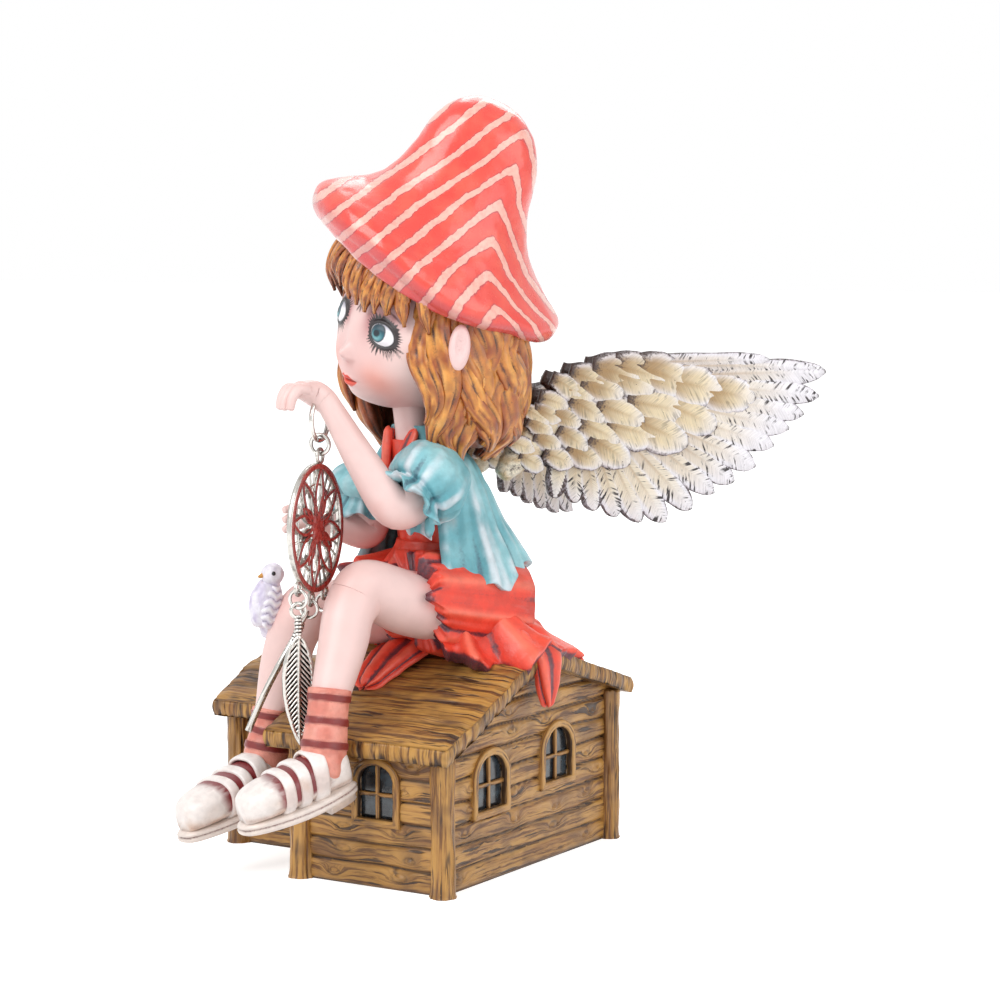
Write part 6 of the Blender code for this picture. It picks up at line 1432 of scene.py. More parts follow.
@dataclass
class House:
    """The timber cottage: plank walls, log posts, shingled slopes and arched windows."""

    right: float = 38.0
    left: float = -38.0
    back: float = 38.0
    front: float = -38.0
    bay: float = -2.0
    recess: float = -15.0
    ridge_y: float = 0.5
    ridge: float = 54.0
    eave: float = 35.6
    back_eave: float = 41.0
    low_ridge: float = 46.5
    low_eave: float = 36.6
    low_back: float = 37.0
    overhang: float = 4.2
    thick: float = 4.4
    planks: int = 6
    windows: tuple = (
        (19.7, -38.0, 14.4, 0, 13.6),
        (38.0, -18.0, 15.4, 90, 16.2),
        (38.0, 12.4, 17.4, 90, 16.2),
    )

    def main_top(self, y):
        """Top of the main roof across the house."""
        ahead = (self.ridge - self.eave) / (self.ridge_y - self.front + self.overhang)
        behind = (self.ridge - self.back_eave) / (self.back + self.overhang - self.ridge_y)
        return self.ridge - np.where(np.asarray(y) < self.ridge_y, ahead * (self.ridge_y - y), behind * (y - self.ridge_y))

    def low_top(self, y):
        """Top of the lower roof over the recessed wing."""
        ahead = (self.low_ridge - self.low_eave) / (self.ridge_y - self.recess + self.overhang)
        behind = (self.low_ridge - self.low_back) / (self.back + self.overhang - self.ridge_y)
        return self.low_ridge - np.where(np.asarray(y) < self.ridge_y, ahead * (self.ridge_y - y), behind * (y - self.ridge_y))

    def arch(self, width: float, height: float, count: int = 72) -> np.ndarray:
        """An even outline with a straight sill and a round head, as (across, up)."""
        half = width / 2
        turn = np.linspace(0, pi, 30)
        crown = height - half * 0.85
        corners = [np.array([[-half, 0.0], [half, 0.0]]), np.stack([half * np.cos(turn), crown + half * 0.85 * np.sin(turn)], 1), [[-half, 0.0]]]
        line = np.vstack(corners)
        reach = np.append(0, np.cumsum(np.linalg.norm(np.diff(line, axis=0), axis=1)))
        at = np.linspace(0, reach[-1], count + 1)[:-1]
        return np.stack([np.interp(at, reach, line[:, 0]), np.interp(at, reach, line[:, 1])], 1)

    def pit(self, points: np.ndarray) -> np.ndarray:
        """How far inside a window's opening each wall point lies, from 0 to 1."""
        total = np.zeros(len(points))
        for x, y, z, turn, width in self.windows:
            aside = points[:, 0] - x if turn == 0 else points[:, 1] - y
            off = np.abs(points[:, 1] - y) if turn == 0 else np.abs(points[:, 0] - x)
            up = points[:, 2] - z
            half = width / 2 - 1.5
            crown = 16.4 - (width / 2) * 0.85
            over = np.maximum(up - crown, 0)
            inside = np.minimum(half - np.hypot(aside, over * 1.15), up - 1.4)
            total = np.maximum(total, smooth(-0.1, 0.6, inside) * (off < 3))
        return total

    def wall(self, x0: float, x1: float, y0: float, y1: float, top, seed: int) -> Shell:
        """One block of plank walls, with joints, rounded faces, knots and checks."""
        step = 0.5
        line = []
        for (ax, ay), (bx, by) in (((x0, y0), (x1, y0)), ((x1, y0), (x1, y1)), ((x1, y1), (x0, y1)), ((x0, y1), (x0, y0))):
            n = int(max(abs(bx - ax), abs(by - ay)) / step)
            line.append(np.stack([np.linspace(ax, bx, n, endpoint=False), np.linspace(ay, by, n, endpoint=False)], 1))
        outline = np.vstack(line)
        high = top(outline[:, 1]) - self.thick * 0.6
        rows = np.linspace(0, 1, 88)
        rings = np.concatenate([np.broadcast_to(outline, (88,) + outline.shape), (rows[:, None] * high)[..., None]], -1)
        shell = loft(rings)
        s = np.append(np.tile(np.arange(len(outline)) * step, 88), [0, 0])
        z = shell.points[:, 2]
        pitch = 31.2 / self.planks
        bend = z + 0.28 * noise(np.stack([s, np.floor(z / pitch + 0.5) * 9, 0 * s + seed], -1), (11, 1, 1), 3)
        part = bend / pitch
        index = np.floor(part)
        f = part - index
        gap = np.minimum(f, 1 - f) * pitch
        joint = bell(gap, 0.34)
        grain = np.stack([s + 37 * index, bend, 0 * s + seed * 13.0], -1)
        pit = self.pit(shell.points)
        knots = self.knots(s, bend, index, pitch, seed)
        flow = fbm(np.stack([grain[:, 0] * 0.12, grain[:, 1] + 2.0 * knots, grain[:, 2]], -1), 0.9, 3, seed)
        relief = -0.75 * joint + 0.35 * (1 - (2 * f - 1) ** 4) + 0.2 * flow - 0.3 * bell(knots - 0.75, 0.1) + 0.25 * smooth(0.85, 1.0, knots)
        shell.push(np.where(pit > 0, -1.3 * pit, 0) + relief * (1 - pit) * (z > 0.2))
        shell.points[:, 2] = np.maximum(shell.points[:, 2], 0)
        grain[:, 1] += 2.2 * knots
        wash = np.clip(0.95 * joint + 0.5 * bell(knots - 0.72, 0.12) + 0.5 * smooth(0.95, 1.0, knots), 0, 1)
        # Painted shade: the foot of each wall is darkened through the wash mark where it meets the table.
        wash = np.maximum(wash, 0.6 * smooth(1.6, 0.2, z))
        return shell.colour("8F5F2C", grain=grain, wash=np.maximum(wash, pit))

    def knots(self, s, z, index, pitch, seed: int) -> np.ndarray:
        """A smooth peak at each knot, one or two a plank on each wall."""
        cell = np.floor(s / 19.0)
        h = np.sin(cell * 12.9898 + index * 78.233 + seed * 3.1) * 43758.5453
        h = h - np.floor(h)
        g = np.sin(cell * 39.346 + index * 11.135 + seed) * 24634.6345
        g = g - np.floor(g)
        centre = (cell + 0.2 + 0.6 * h) * 19.0
        up = (index + 0.35 + 0.3 * g) * pitch
        size = 0.7 + 0.5 * g
        peak = np.exp(-(((s - centre) / (3.4 * size)) ** 2 + ((z - up) / (1.5 * size)) ** 2))
        return np.where(h > 0.42, peak, 0)

    def roof(self, x0: float, x1: float, y0: float, y1: float, top, seed: int) -> Shell:
        """A roof slab with rolled edges: long grain on the slopes, upright grain on the cut ends."""
        edge = 8
        cell = 0.62
        nx, ny = int((x1 - x0) / cell), int((y1 - y0) / cell)
        drops = np.linspace(self.thick, self.thick / edge, edge)
        x = np.concatenate([x0 + 0 * drops, np.linspace(x0, x1, nx), x1 + 0 * drops])
        dx = np.concatenate([drops, np.zeros(nx), drops[::-1]])
        y = np.concatenate([y0 + 0 * drops, np.linspace(y0, y1, ny), y1 + 0 * drops])
        dy = np.concatenate([drops, np.zeros(ny), drops[::-1]])
        gx, gy = np.meshgrid(x, y, indexing="ij")
        drop = np.maximum(dx[:, None], dy[None, :])
        depth = drop / self.thick
        ridge = top(np.array(self.ridge_y))
        z = top(gy)
        z = z - 0.9 * bell(gy - self.ridge_y, 3.5) * (z > ridge - 4)
        seat = np.stack([gx * 0.13, gy, 0 * gx + seed], -1)
        board = 0.35 * fbm(seat, 1.6, 3, seed) + 0.5 * fbm(np.stack([gx, gy, 0 * gx], -1), 14.0, 2, seed + 3)
        pitch = (y1 - y0) / 10
        line = (gy - y0 + 0.5 * noise(np.stack([gx, 0 * gx, np.round((gy - y0) / pitch) * 7.0], -1), (13, 1, 1), seed)) / pitch
        gap = np.abs(line - np.round(line)) * pitch
        joint = bell(gap, 0.42) * (drop <= 0)
        wavy_x = 0.7 * fbm(np.stack([gy, 0 * gy, 0 * gy + seed], -1), 6.0, 3, 5)
        wavy_y = 0.7 * fbm(np.stack([gx, 0 * gx, 0 * gx + seed], -1), 6.0, 3, 8)
        hatch = noise(np.stack([gx + gy, 0 * gx, drop * 0.25], -1), (0.9, 1, 1), seed + 2)
        bulge = 0.5 * np.sin(pi * np.clip(depth, 0, 1)) + 0.3 * hatch * (depth > 0)
        side_x = np.where(dx[:, None] > 0, 1, smooth(3, 0, np.minimum(gx - x0, x1 - gx)))
        side_y = np.where(dy[None, :] > 0, 1, smooth(3, 0, np.minimum(gy - y0, y1 - gy)))
        px = gx + np.sign(gx - (x0 + x1) / 2) * (wavy_x * side_x + bulge * (dx[:, None] > 0))
        py = gy + np.sign(gy - (y0 + y1) / 2) * (wavy_y * side_y + bulge * (dy[None, :] > 0))
        rounding = 0.5 * np.maximum(side_x, side_y) * (drop <= 0)
        pz = z - drop * (1 + 0.12 * wavy_x * (drop > 0)) + (board - 0.6 * joint) * (drop <= 0) - rounding
        outer = np.stack([px, py, pz], -1)
        inner = outer.copy()
        inner[..., 2] = z - self.thick - 0.02
        shell = slab(outer, inner)
        along = np.stack([gx, gy, 0 * gx + 3.0], -1)
        upright = np.stack([-drop * 1.4, gx + gy, 0 * gx + 9.0], -1)
        grain = np.where((drop > 0)[..., None], upright, along)
        rim = smooth(2.2, 0.2, np.minimum(np.minimum(gx - x0, x1 - gx), np.minimum(gy - y0, y1 - gy))) * (drop <= 0)
        wash = 0.9 * joint + 0.55 * smooth(0.1, 0.7, -hatch) * (drop > 0) + 0.35 * bell(depth - 1, 0.2) - 0.25 * rim
        tile = lambda a: np.concatenate([a.reshape(-1, *a.shape[2:])] * 2)
        return shell.colour("B08648", grain=tile(grain), wash=tile(wash))

    def post(self, x: float, y: float, high: float, seed: int) -> Shell:
        """A peeled log with upright checks."""
        keys = [(vec(x, y, 0.0), 3.3, 3.3), (vec(x, y, 3.0), 2.9, 2.9), (vec(x, y, high * 0.5), 2.7, 2.7), (vec(x, y, high - 3.2), 2.75, 2.75)]
        shell = limb(keys, side=vec(1, 0, 0), count=64, steps=34, ends=(0, 0))
        z = shell.points[:, 2]
        angle = tau * shell.v
        ring = np.stack([3.2 * np.cos(angle), 3.2 * np.sin(angle), z * 0.12 + seed * 5], -1)
        flow = fbm(ring, 1.1, 3, seed)
        shell.points = shell.points + (0.5 * flow)[:, None] * np.stack([np.cos(angle), np.sin(angle), 0 * z], -1)
        grain = np.stack([z + seed * 31, angle * 2.9, 0 * z + seed], -1)
        shell.colour("8F5F2C", grain=grain, wash=0.75 * smooth(-0.25, -0.8, flow))
        return shell

    def window(self, x: float, y: float, z: float, turn: int, width: float) -> tuple:
        """Frame with glazing bars, and the dark pane behind them."""
        out = vec(0, -1, 0) if turn == 0 else vec(1, 0, 0)
        along = vec(1, 0, 0) if turn == 0 else vec(0, 1, 0)
        spot = vec(x, y, z)
        place = lambda flat, deep: spot + np.multiply.outer(flat[..., 0], along) + np.multiply.outer(flat[..., 1], UP) + out * deep
        rings = []
        frame = 1.9
        big = self.arch(width, 16.4, 120)
        small = self.arch(width - 2 * frame, 16.4 - 2 * frame, 120) + vec(0, frame)
        for k in range(20):
            t = tau * k / 20
            c, s = (math.copysign(abs(f(t)) ** 0.55, f(t)) for f in (cos, sin))
            flat = small + (big - small) * (0.5 + 0.5 * c)
            rings.append(place(flat, 0.15 + 1.0 * s))
        ring = torus(np.array(rings))
        ring.push(0.14 * fbm(ring.points, 1.3, 2, 4))
        around = ring.v * 60
        ring.colour("8F5F2C", grain=np.stack([around, ring.u * 8, 0 * around + x], -1), wash=0.75 * bell(np.abs(ring.u - 0.5), 0.12))
        parts = [ring]
        half, waist = width / 2 - frame + 0.4, 16.4 * 0.46
        lines = [[(0, frame - 0.4), (0, 16.4 - frame + 0.2)], [(-half, waist), (half, waist)]]
        for n, (a, b) in enumerate(lines):
            keys = [(place(np.array(p, float), -0.35), 0.5, 0.5) for p in (a, b)]
            bar = limb(keys, side=along if n == 0 else UP, count=16, steps=30, ends=(0, 0), power=0.7)
            bar.push(0.07 * fbm(bar.points, 1.5, 2, 6))
            reach = bar.u * 14
            parts.append(bar.colour("8F5F2C", grain=np.stack([reach, bar.v * 3, 0 * reach + 5.0], -1), wash=0.1))
        centre = vec(0, 16.4 * 0.5)
        inner = self.arch(width - 2.4, 14.2, 96) + vec(0, 1.2)
        flats = [
            place(centre + (inner - centre) * s, d) for s, d in ((0.02, -0.72), (0.4, -0.72), (0.8, -0.75), (0.98, -0.8), (0.98, -1.6), (0.3, -1.7))
        ]
        pane = loft(np.array(flats))
        return merge(parts), pane.colour("1C232C", wash=0.0)

    def build(self, finishes: Finishes) -> None:
        """Makes the cottage's pieces."""
        casting = ("figurine_casting",)
        make("bay_walls", self.wall(self.bay, self.right, self.front, self.back, self.main_top, 1), finishes.wood, nodes=casting)
        make("wing_walls", self.wall(self.left, self.bay + 3, self.recess, self.back - 0.4, self.low_top, 2), finishes.wood, nodes=casting)
        left = self.bay - 7.6
        over = self.overhang
        make("main_roof", self.roof(left, self.right + over, self.front - over, self.back + over, self.main_top, 1), finishes.roof, nodes=casting)
        make(
            "low_roof", self.roof(self.left - over, left + 4, self.recess - over, self.back + over - 0.5, self.low_top, 2), finishes.roof, nodes=casting
        )
        places = [
            (self.right, self.front, self.eave), (self.bay, self.front, self.eave), (self.right, self.back, self.back_eave), (self.left, self.recess, self.low_eave), (self.left, self.back, self.low_back)
        ]
        make("log_posts", merge([self.post(x, y, h, k) for k, (x, y, h) in enumerate(places)]), finishes.wood, nodes=casting)
        pairs = [self.window(*w) for w in self.windows]
        make("window_frames", merge([p[0] for p in pairs]), finishes.wood, nodes=casting)
        make("window_panes", merge([p[1] for p in pairs]), finishes.pane, nodes=casting)


@dataclass
class Wing:
    """One cast wing: short arm, staggered scale feathers and a fan of long primaries."""

    name: str
    sign: float
    sweep: float = 18.0
    fan: tuple = (20.0, 22.0)
    coverts: tuple = (
        (9.3, 2.8), (17.0, 3.4), (31.7, 4.5), (24.4, 3.6), (13.7, 7.8), (20.9, 7.8), (28.7, 9.5), (38.4, 9.5), (46.0, 8.6), (11.5, 11.3), (19.0, 13.3),
        (25.0, 15.0), (34.7, 13.9), (45.0, 15.5), (54.0, 13.0), (13.7, 14.4), (29.3, 20.5), (37.2, 22.0), (22.0, 19.5), (6.5, 7.0),
        (19.0, 21.0), (25.5, 22.8), (33.5, 24.2), (47.0, 22.8), (40.5, 24.0), (15.5, 17.5), (10.5, 14.0), (55.0, 20.5), (64.0, 18.5),
    )
    tips: tuple = (
        (16.2, -4.9), (21.6, -6.0), (27.0, -7.6), (33.0, -8.7), (38.8, -10.0), (44.5, -10.3), (51.0, -7.4), (57.0, -3.2), (62.5, -0.4),
        (68.0, 2.4), (73.0, 6.4), (77.5, 10.6), (82.0, 15.2), (86.3, 20.0), (88.5, 25.0),
    )

    def place(self, reach, rise, depth) -> np.ndarray:
        """Points of the bowed wing plane."""
        a = radians(self.sweep)
        outward = -FORWARD * cos(a) + LEFT * (self.sign * sin(a))
        through = np.cross(UP, outward)
        root = on_body(-9.6, self.sign * 6.0, RIDGE + 39.0)
        if self.sign < 0:
            rise = np.where(rise > 0, rise * (0.7 + 0.24 * smooth(45, 84, reach)), rise)
        bow = 2.4 * np.sin(np.clip(reach / 86.0, 0, 1) * pi) * self.sign
        return root + np.multiply.outer(reach, outward) + np.multiply.outer(rise, UP) + np.multiply.outer(depth + bow, through)

    def feather(self, start, angle, length, half, base, face, seed, rows: int = 18, cols: int = 11, white: float = 0.0, blunt: float = 0.46) -> Shell:
        """One vane with a raised shaft, barb grooves and a blunt worn tip."""
        t, s = np.meshgrid(np.linspace(0, 1, rows), np.linspace(-1, 1, cols), indexing="ij")
        wide = half * (0.6 + 0.4 * smooth(0, 0.45, t)) * np.sqrt(np.clip(1 - np.maximum(0, (t - blunt) / (1 - blunt)) ** 2.2, 0.03, 1))
        wide = wide * (1 + 0.05 * np.sin(9 * t + seed) + 0.05 * np.sin(23 * t * np.sign(s) + seed * 2) * smooth(0.4, 0.9, t))
        bend = 0.05 * length * t * t * (0.6 + 0.4 * sin(seed * 1.3))
        a = radians(angle)
        lateral = s * wide
        along = t * length
        x = start[0] + along * cos(a) - (lateral - bend) * sin(a)
        y = start[1] + along * sin(a) + (lateral - bend) * cos(a)
        barb = along - 0.9 * np.abs(lateral)
        groove = np.sin(tau * barb / 0.95 + 1.1 * np.sin(seed + along * 0.4))
        lift = base + 0.85 * (1 - s * s) * (0.5 + 0.5 * smooth(0, 0.3, t)) - 0.5 * t
        lift = lift + 0.3 * np.exp(-((lateral / 0.34) ** 2)) * smooth(1.0, 0.8, t) + (0.04 + 0.08 * (rows > 30)) * groove * (np.abs(s) < 0.97)
        outer = self.place(x, y, face * lift)
        inner = self.place(x, y, face * (base - 0.75 - 0.5 * t) * np.ones_like(x))
        shell = slab(outer, inner)
        edge = smooth(0.45, 0.95, np.abs(s))
        cream = blend("A8895F", "E6D5B2", smooth(0.1, 0.7, t + 0.15 * np.sin(seed)))
        paint = blend(cream, "F1EEF3", np.clip(edge * 0.9 + smooth(0.6, 1, t) * 0.7 + white, 0, 1))
        paint = blend(paint, "A98450", 0.5 * np.exp(-((lateral / 0.3) ** 2)) * smooth(0.9, 0.4, t))
        paint = blend(paint, "B9A8BF", 0.45 * smooth(0.85, 1, np.abs(s)) * smooth(0.2, 0.6, t))
        # Darker at each feather's root, where the row above overlaps it: painted shade. The dark outline at the edge
        # and tip and the barb grooves are the feathers' paint.
        wash = 0.9 * smooth(0.3, 0.0, t) + 0.75 * smooth(0.9, 1.0, np.maximum(np.abs(s), (t - 0.85) / 0.15)) + 0.15 * smooth(0, -1, groove)
        stroke = smooth(0.25, 0.5, t) * smooth(0.05, 0.3, np.abs(s)) * (1 if rows > 30 else 0.4)
        vane = np.stack([barb + seed * 17.0, lateral, 0 * t + seed], -1)
        tile = lambda v: np.concatenate([v.reshape(-1, *v.shape[2:])] * 2)
        return shell.colour(tile(paint), wash=tile(wash), stroke=tile(stroke), vane=tile(vane))

    def build(self, finishes: Finishes) -> None:
        """Makes the wing, alike on both faces."""
        parts = []
        centre = np.array(self.fan)
        for k, tip in enumerate(self.tips):
            away = np.array(tip) - centre
            length = float(np.hypot(*away)) + 3.0 * bell(k - 7, 5) + 1.0
            angle = math.degrees(math.atan2(away[1], away[0]))
            away = away / np.hypot(*away)
            half = 2.6 + 0.9 * smooth(15, 50, length)
            for face in (1.0, -1.0):
                skip = min(0.35 * length, 16.0)
                start = centre + away * skip
                parts.append(
                    self.feather(start, angle, length - skip, half, 0.5 + 0.09 * (k % 2) + 0.04 * k, face, k + 3, 40, 13, 0.12 + 0.03 * k, 0.74)
                )
        for k, (tip, first) in enumerate((((87.0, 26.6), (36.0, 25.6)), ((74.0, 27.6), (33.0, 26.6)))):
            away = np.array(tip) - np.array(first)
            for face in (1.0, -1.0):
                parts.append(
                    self.feather(first, math.degrees(math.atan2(away[1], away[0])), float(np.hypot(*away)), 1.9, 1.25 + 0.4 * k, face, 60 + k, 40, 11, 0.6, 0.8)
                )
        for k, (x, y) in enumerate(self.coverts):
            half = 2.5 + 3.0 * smooth(8, 50, x)
            length = half * 3.1
            angle = -27.0 + 0.34 * y + 8.0 * smooth(20, 60, x) + 7.0 * sin(k * 2.1)
            a = radians(angle)
            start = (x - 0.62 * length * cos(a), y - 0.62 * length * sin(a))
            base = 2.75 - 0.024 * x + 0.03 * y + 0.12 * sin(k * 1.7)
            for face in (1.0, -1.0):
                parts.append(self.feather(start, angle, length, half, base, face, k + 20))
        keys = [
            (1.6, 0.4, 2.4, 2.2), (6.0, 4.5, 3.7, 2.9), (11.0, 9.0, 4.4, 2.8), (19.0, 17.0, 4.4, 2.6), (27.0, 22.0, 3.6, 2.2), (38.0, 25.0, 2.8, 1.7), (52.0, 26.0, 1.4, 1.0)
        ]
        spots = [(self.place(np.float64(x), np.float64(y), np.float64(0)), w, d) for x, y, w, d in keys]
        arm = limb(spots, side=np.cross(UP, spots[-1][0] - spots[0][0]) * 0 + UP, count=48, steps=12)
        flow = fbm(arm.points, (2.2, 2.2, 2.2), 3, 4)
        arm.push(0.35 * flow)
        paint = blend("E9DFC9", "CDB288", smooth(-0.2, 0.5, flow))
        vane = arm.points.copy()
        parts.append(arm.colour(paint, wash=0.6 * smooth(0.1, -0.6, flow), stroke=0.25, vane=vane))
        make("feathered_" + self.name, merge(parts), finishes.wing, slot=Slot.WING, nodes=(self.name,))


@dataclass
class Charm:
    """The dreamcatcher: rings, the pierced enamelled disc and two cast feathers."""

    turn: float = 77.5
    tilt: float = 10.0
    wire: float = 1.2
    ring: float = 4.9
    link: float = 2.3
    link_wire: float = 1.0
    radius: float = 15.2
    eye: float = 1.7
    eye_wire: float = 0.9
    jump: float = 2.1
    jump_wire: float = 0.8
    tab: float = 0.86
    gap: float = 0.3
    long: float = 25.6
    wide: float = 7.6
    leans: tuple = (0.0, 28.0, 0.0)
    yaws: tuple = (-52.0, 15.0)

    def __post_init__(self) -> None:
        a, b = radians(self.turn), radians(self.tilt)
        self.normal = vec(sin(a), cos(a), 0)
        self.along = np.cross(UP, self.normal)
        self.up = UP * cos(b) + self.along * sin(b)
        self.across = np.cross(self.up, self.normal)
        self.hold = on_body(38.9, -0.6, NECK + 8.2)
        self.ring_at = self.hold - UP * self.ring
        self.link_at = self.ring_at - UP * self.ring + UP * ((self.wire + self.link_wire) / 2 + self.gap) - UP * self.link
        low = self.link_at - UP * self.link
        self.bail = low + UP * ((self.link_wire + self.eye_wire) / 2 + self.gap) - UP * self.eye
        self.disc = self.bail - self.up * (self.eye + self.radius)

    def loop(self, centre, along, radius: float, wire: float, count: int = 72, rows: int = 18) -> Shell:
        """A closed wire ring standing in the plane of one direction and the upright."""
        t = turns(count)
        s = turns(rows)
        side = np.cross(along, UP)
        out = np.multiply.outer(np.cos(t), along) + np.multiply.outer(np.sin(t), UP)
        rings = centre + (radius * out)[:, None] + wire / 2 * (np.cos(s)[None, :, None] * out[:, None] + np.sin(s)[None, :, None] * side)
        shell = torus(rings)
        inner = np.tile(np.cos(s), count)
        return shell.colour("C9C6C0", wash=0.55 * smooth(-0.1, -0.95, inner))

    def flat(self, x, y, depth) -> np.ndarray:
        """Points of the disc's plane."""
        return self.disc + np.multiply.outer(x, self.across) + np.multiply.outer(y, self.up) + np.multiply.outer(depth, self.normal)

    def strip(self, x: np.ndarray, y: np.ndarray, wide: float, front: float, back: float) -> Shell:
        """A closed flat wire in the disc's plane, with softened edges."""
        step = np.stack([np.roll(x, -1) - np.roll(x, 1), np.roll(y, -1) - np.roll(y, 1)], 1)
        step = unit(step)
        nx, ny = step[:, 1], -step[:, 0]
        rings = []
        mid, half = (front + back) / 2, (front - back) / 2
        for k in range(12):
            t = tau * k / 12
            c, s = (math.copysign(abs(f(t)) ** 0.6, f(t)) for f in (cos, sin))
            rings.append(self.flat(x + nx * wide / 2 * c, y + ny * wide / 2 * c, np.full(len(x), mid + half * s)))
        return torus(np.array(rings))

    def leaf(self, start: float, end: float, middle: float, spread: float) -> tuple:
        """Outline of one petal, as plane x and y."""
        t = turns(56)
        reach = (start + end) / 2 - (end - start) / 2 * np.cos(t)
        share = (reach - start) / (end - start)
        aside = np.sign(np.sin(t)) * np.clip(np.sin(pi * np.clip(share, 0, 1) ** 0.8), 0, 1) ** 0.8 * spread * (start + end) / 2
        a = radians(middle)
        return reach * cos(a) - aside * sin(a), reach * sin(a) + aside * cos(a)

    def build_disc(self, finishes: Finishes) -> None:
        """The openwork disc: silver behind, red enamel on its front lines."""
        t = turns(160)
        rim = self.strip(14.45 * np.cos(t), 14.45 * np.sin(t), 1.5, 0.72, -0.8)
        silver, red = [rim], [self.strip(14.45 * np.cos(t), 14.45 * np.sin(t), 1.25, 0.92, 0.6)]
        silver.append(self.strip(10.3 * np.cos(t), 10.3 * np.sin(t), 0.5, 0.3, -0.5))
        for k in range(8):
            for turn, start, end, spread, wide in ((0.0, 3.0, 13.9, 0.26, 0.72), (22.5, 3.0, 9.6, 0.2, 0.6)):
                x, y = self.leaf(start, end, 45.0 * k + turn, spread)
                silver.append(self.strip(x, y, wide + 0.1, 0.45, -0.6))
                if turn == 0.0 or k % 2:
                    red.append(self.strip(x, y, wide, 0.78, 0.4))
            for turn in (11.25, 22.5, 33.75):
                a = radians(45.0 * k + turn)
                ends = [self.flat(np.float64(r * cos(a)), np.float64(r * sin(a)), np.float64(-0.1)) for r in (3.0 if turn == 22.5 else 8.0, 13.9)]
                silver.append(limb([(e, 0.3, 0.3) for e in ends], side=self.up + self.across, count=10, steps=8, ends=(0, 0)))
        hub = 3.5 + 0.45 * np.cos(8 * t)
        for parts, front, back, grow in ((silver, 0.6, -0.8, 1.0), (red, 0.95, 0.5, 0.97)):
            rings = [
                self.flat(hub * s * grow * np.cos(t), hub * s * grow * np.sin(t), np.full(160, d)) for s, d in ((0.1, front + 0.25), (0.6, front + 0.2), (0.93, front + 0.05), (1, front - 0.1), (1, back), (0.1, back))
            ]
            parts.append(loft(np.array(rings)))
        silver.append(self.loop(self.bail, self.along, self.eye, self.eye_wire))
        for degrees in (-118.0, -90.0, -62.0):
            silver.append(self.loop(self.tab_at(degrees), self.along, self.eye * self.tab, self.eye_wire))
        for shell in silver:
            deep = (shell.points - self.disc) @ self.normal
            shell.colour("C9C6C0", wash=0.3 + 0.35 * fbm(shell.points, 1.5, 2, 3) - 0.3 * smooth(0.3, 0.8, np.abs(deep)))
        for shell in red:
            shell.colour(blend("A33C34", "7C2A28", smooth(-0.3, 0.6, fbm(shell.points, 1.2, 2, 3))), wash=0.08)
        make("dreamcatcher_plate", merge(silver), finishes.silver, "dreamcatcher_disc", Slot.SILVER, ("dreamcatcher_disc",))
        make("dreamcatcher_enamel", merge(red), finishes.enamel, "dreamcatcher_disc", Slot.SILVER, ("dreamcatcher_disc",))

    def tab_at(self, degrees: float) -> np.ndarray:
        """Middle of a loop below the disc."""
        a = radians(degrees)
        reach = self.radius + self.eye * self.tab
        return self.flat(np.float64(reach * cos(a)), np.float64(reach * sin(a)), np.float64(0))

    def feather(self, hang: np.ndarray, yaw: float) -> Shell:
        """Eye, bound stem, and a leaf-shaped vane with a solid rim and slanting barbs."""
        across = turned(self.along, yaw)
        through = np.cross(UP, across)
        top = hang - UP * (self.eye - 0.2)
        blade = top - UP * 4.2
        parts = [self.loop(hang, across, self.eye, self.eye_wire)]
        stem = limb(
            [(top, 0.78, 0.78), (top - UP * 1.5, 0.95, 0.95), (top - UP * 3.2, 0.85, 0.85), (blade - UP * 1.0, 0.75, 0.75)], side=across, count=28, steps=24
        )
        bound = np.sin(tau * ((stem.points - blade) @ UP) / 0.85)
        stem.push(0.12 * bound)
        parts.append(stem.colour("C9C6C0", wash=0.85 * smooth(0, -0.9, bound)))
        t, s = np.meshgrid(np.linspace(0, 1, 150), np.linspace(-1, 1, 45), indexing="ij")
        keys = np.array(
            [(0, 0.1), (0.06, 0.42), (0.14, 0.68), (0.25, 0.9), (0.38, 1.0), (0.55, 0.96), (0.7, 0.78), (0.85, 0.48), (0.95, 0.22), (1, 0.03)]
        )
        half = self.wide / 2 * np.interp(t, keys[:, 0], keys[:, 1])
        lateral, down = s * half, t * self.long
        rim = smooth(0.95, 0.6, half - np.abs(lateral))
        shaft = bell(lateral, 0.42)
        phase = (down - 1.15 * np.abs(lateral)) / 1.22
        barb = 0.5 + 0.5 * np.cos(tau * phase)
        raised = np.maximum(np.maximum(rim, shaft), smooth(0.35, 0.65, barb))
        sheets = []
        for face in (1.0, -1.0):
            lift = face * (0.12 + 0.4 * raised + 0.28 * shaft)
            curl = 0.5 * np.sin(pi * t)
            sheets.append(blade + np.multiply.outer(lateral, across) - np.multiply.outer(down, UP) + np.multiply.outer(lift + curl, through))
        vane = slab(*sheets)
        wash = np.concatenate([(1 - raised).ravel()] * 2)
        parts.append(vane.colour("C9C6C0", wash=1.0 * wash))
        return merge(parts)

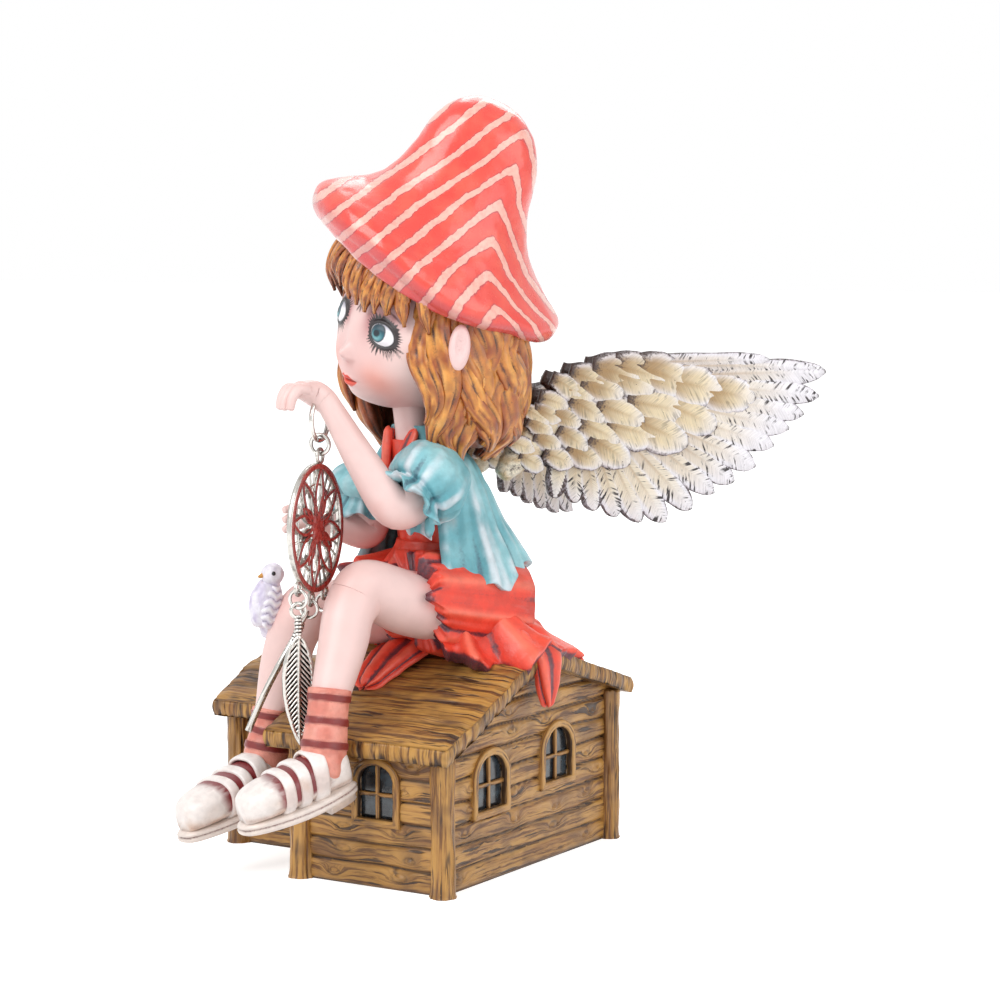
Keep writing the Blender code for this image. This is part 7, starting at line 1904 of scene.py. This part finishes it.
    def build(self, finishes: Finishes) -> None:
        """Makes every piece of the chain on its own body."""
        make(
            "ring_in_hand", self.loop(self.ring_at, self.along, self.ring, self.wire, 120, 24), finishes.bright, "hand_ring", Slot.SILVER, ("hand_ring",)
        )
        make("link", self.loop(self.link_at, self.normal, self.link, self.link_wire), finishes.bright, "link_ring", Slot.SILVER, ("link_ring",))
        self.build_disc(finishes)
        touch = (self.eye_wire + self.jump_wire) / 2 + self.gap
        for k, degrees in enumerate((-118.0, -90.0, -62.0)):
            low = self.tab_at(degrees) - UP * self.eye * self.tab
            jump = low + UP * touch - UP * self.jump
            ring = self.loop(jump, self.normal, self.jump, self.jump_wire)
            ring.points = self.swung(ring.points, low, self.leans[k])
            name = f"feather_ring_{k + 1}"
            make(f"jump_ring_{k + 1}", ring, finishes.bright, name, Slot.SILVER, (name,))
            if k < len(self.yaws):
                hang = jump - UP * self.jump + UP * touch - UP * self.eye
                shell = self.feather(hang, self.yaws[k])
                shell.points = self.swung(shell.points, low, self.leans[k])
                make(f"feather_charm_{k + 1}", shell, finishes.silver, f"feather_{k + 1}", Slot.SILVER, (f"feather_{k + 1}",))

    def swung(self, points: np.ndarray, about: np.ndarray, degrees: float) -> np.ndarray:
        """Points turned about a wire that lies along the disc."""
        a = radians(degrees)
        rel = points - about
        axis = self.along
        return about + rel * cos(a) + np.cross(axis, rel) * sin(a) + np.outer(rel @ axis, axis) * (1 - cos(a))


def studio() -> None:
    """Pale floor, soft studio light, and the camera at the photograph's angle."""
    scene = bpy.context.scene
    scene.view_settings.view_transform = "Standard"
    mesh = bpy.data.meshes.new("floor")
    half = 6.0
    mesh.from_pydata([(-half, -half, 0), (half, -half, 0), (half, half, 0), (-half, half, 0)], [], [(0, 1, 2, 3)])
    g = Graph("pale_studio_floor")
    path = g.add("ShaderNodeLightPath")
    seen = g.math("MAXIMUM", path.outputs["Is Camera Ray"], g.math("MAXIMUM", path.outputs["Is Glossy Ray"], path.outputs["Is Transmission Ray"]))
    cloud = g.mix(g.ramp(g.grain(180.0), 0.3, 0.7), "F4F4F4", "EFEFF0")
    g.finish(cloud, 0.9)
    g.set(g.shader.inputs["Emission Color"], "FFFFFF")
    g.set(g.shader.inputs["Emission Strength"], g.math("MULTIPLY", seen, 0.62))
    mesh.materials.append(g.material)
    floor = bpy.data.objects.new("floor", mesh)
    scene.collection.objects.link(floor)
    world = bpy.data.worlds.new("studio")
    scene.world = world
    world.use_nodes = True
    tree = world.node_tree
    back = tree.nodes["Background"]
    light = tree.nodes.new("ShaderNodeLightPath")
    either = tree.nodes.new("ShaderNodeMath")
    either.operation = "MAXIMUM"
    tree.links.new(light.outputs["Is Camera Ray"], either.inputs[0])
    tree.links.new(light.outputs["Is Glossy Ray"], either.inputs[1])
    strength = tree.nodes.new("ShaderNodeMapRange")
    tree.links.new(either.outputs[0], strength.inputs[0])
    strength.inputs[3].default_value = 0.55
    strength.inputs[4].default_value = 1.0
    back.inputs[0].default_value = (1, 1, 1, 1)
    tree.links.new(strength.outputs[0], back.inputs[1])
    target = vec(0.0291, 0.0009, 0.088)
    for name, azimuth, height, distance, size, power in (
        ("key", -15.0, 0.75, 0.9, 0.8, 8.5),
        ("fill", 85.0, 0.45, 1.0, 0.9, 4.5),
        ("rim", 200.0, 0.8, 1.0, 0.7, 4.0),
    ):
        data = bpy.data.lights.new(name, "AREA")
        data.energy = power
        data.size = size
        lamp = bpy.data.objects.new(name, data)
        scene.collection.objects.link(lamp)
        a = radians(azimuth)
        spot = target + vec(sin(a) * distance, -cos(a) * distance, height)
        lamp.location = spot
        lamp.rotation_euler = look(spot, target)
    data = bpy.data.cameras.new("camera")
    data.lens = 100.0
    data.sensor_width = 36.0
    camera = bpy.data.objects.new("camera", data)
    scene.collection.objects.link(camera)
    a, e, reach = radians(32.0), radians(5.5), 0.6667
    spot = target + vec(sin(a) * cos(e), -cos(a) * cos(e), sin(e)) * reach
    camera.location = spot
    camera.rotation_euler = look(spot, target)
    scene.camera = camera


def look(spot: np.ndarray, target: np.ndarray) -> tuple:
    """Rotation that points a camera or lamp from one place at another."""
    x, y, z = target - spot
    return (math.atan2(math.hypot(x, y), -z), 0.0, math.atan2(-x, y))


def main() -> None:
    """Loads the frame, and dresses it."""
    logging.basicConfig(level=logging.INFO)
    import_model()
    finishes = Finishes()
    head = Head()
    Hat().build(finishes)
    head.build(finishes)
    Hair().build(finishes, head)
    for leg in (Leg("near", NEAR_LEG), Leg("far", FAR_LEG)):
        leg.build(finishes)
    for part in (Dress(), Coat(), Arms(), Bird(), House(), Wing("wing_left", 1.0), Wing("wing_right", -1.0), Charm()):
        part.build(finishes)
    studio()


if __name__ == "__main__":
    main()
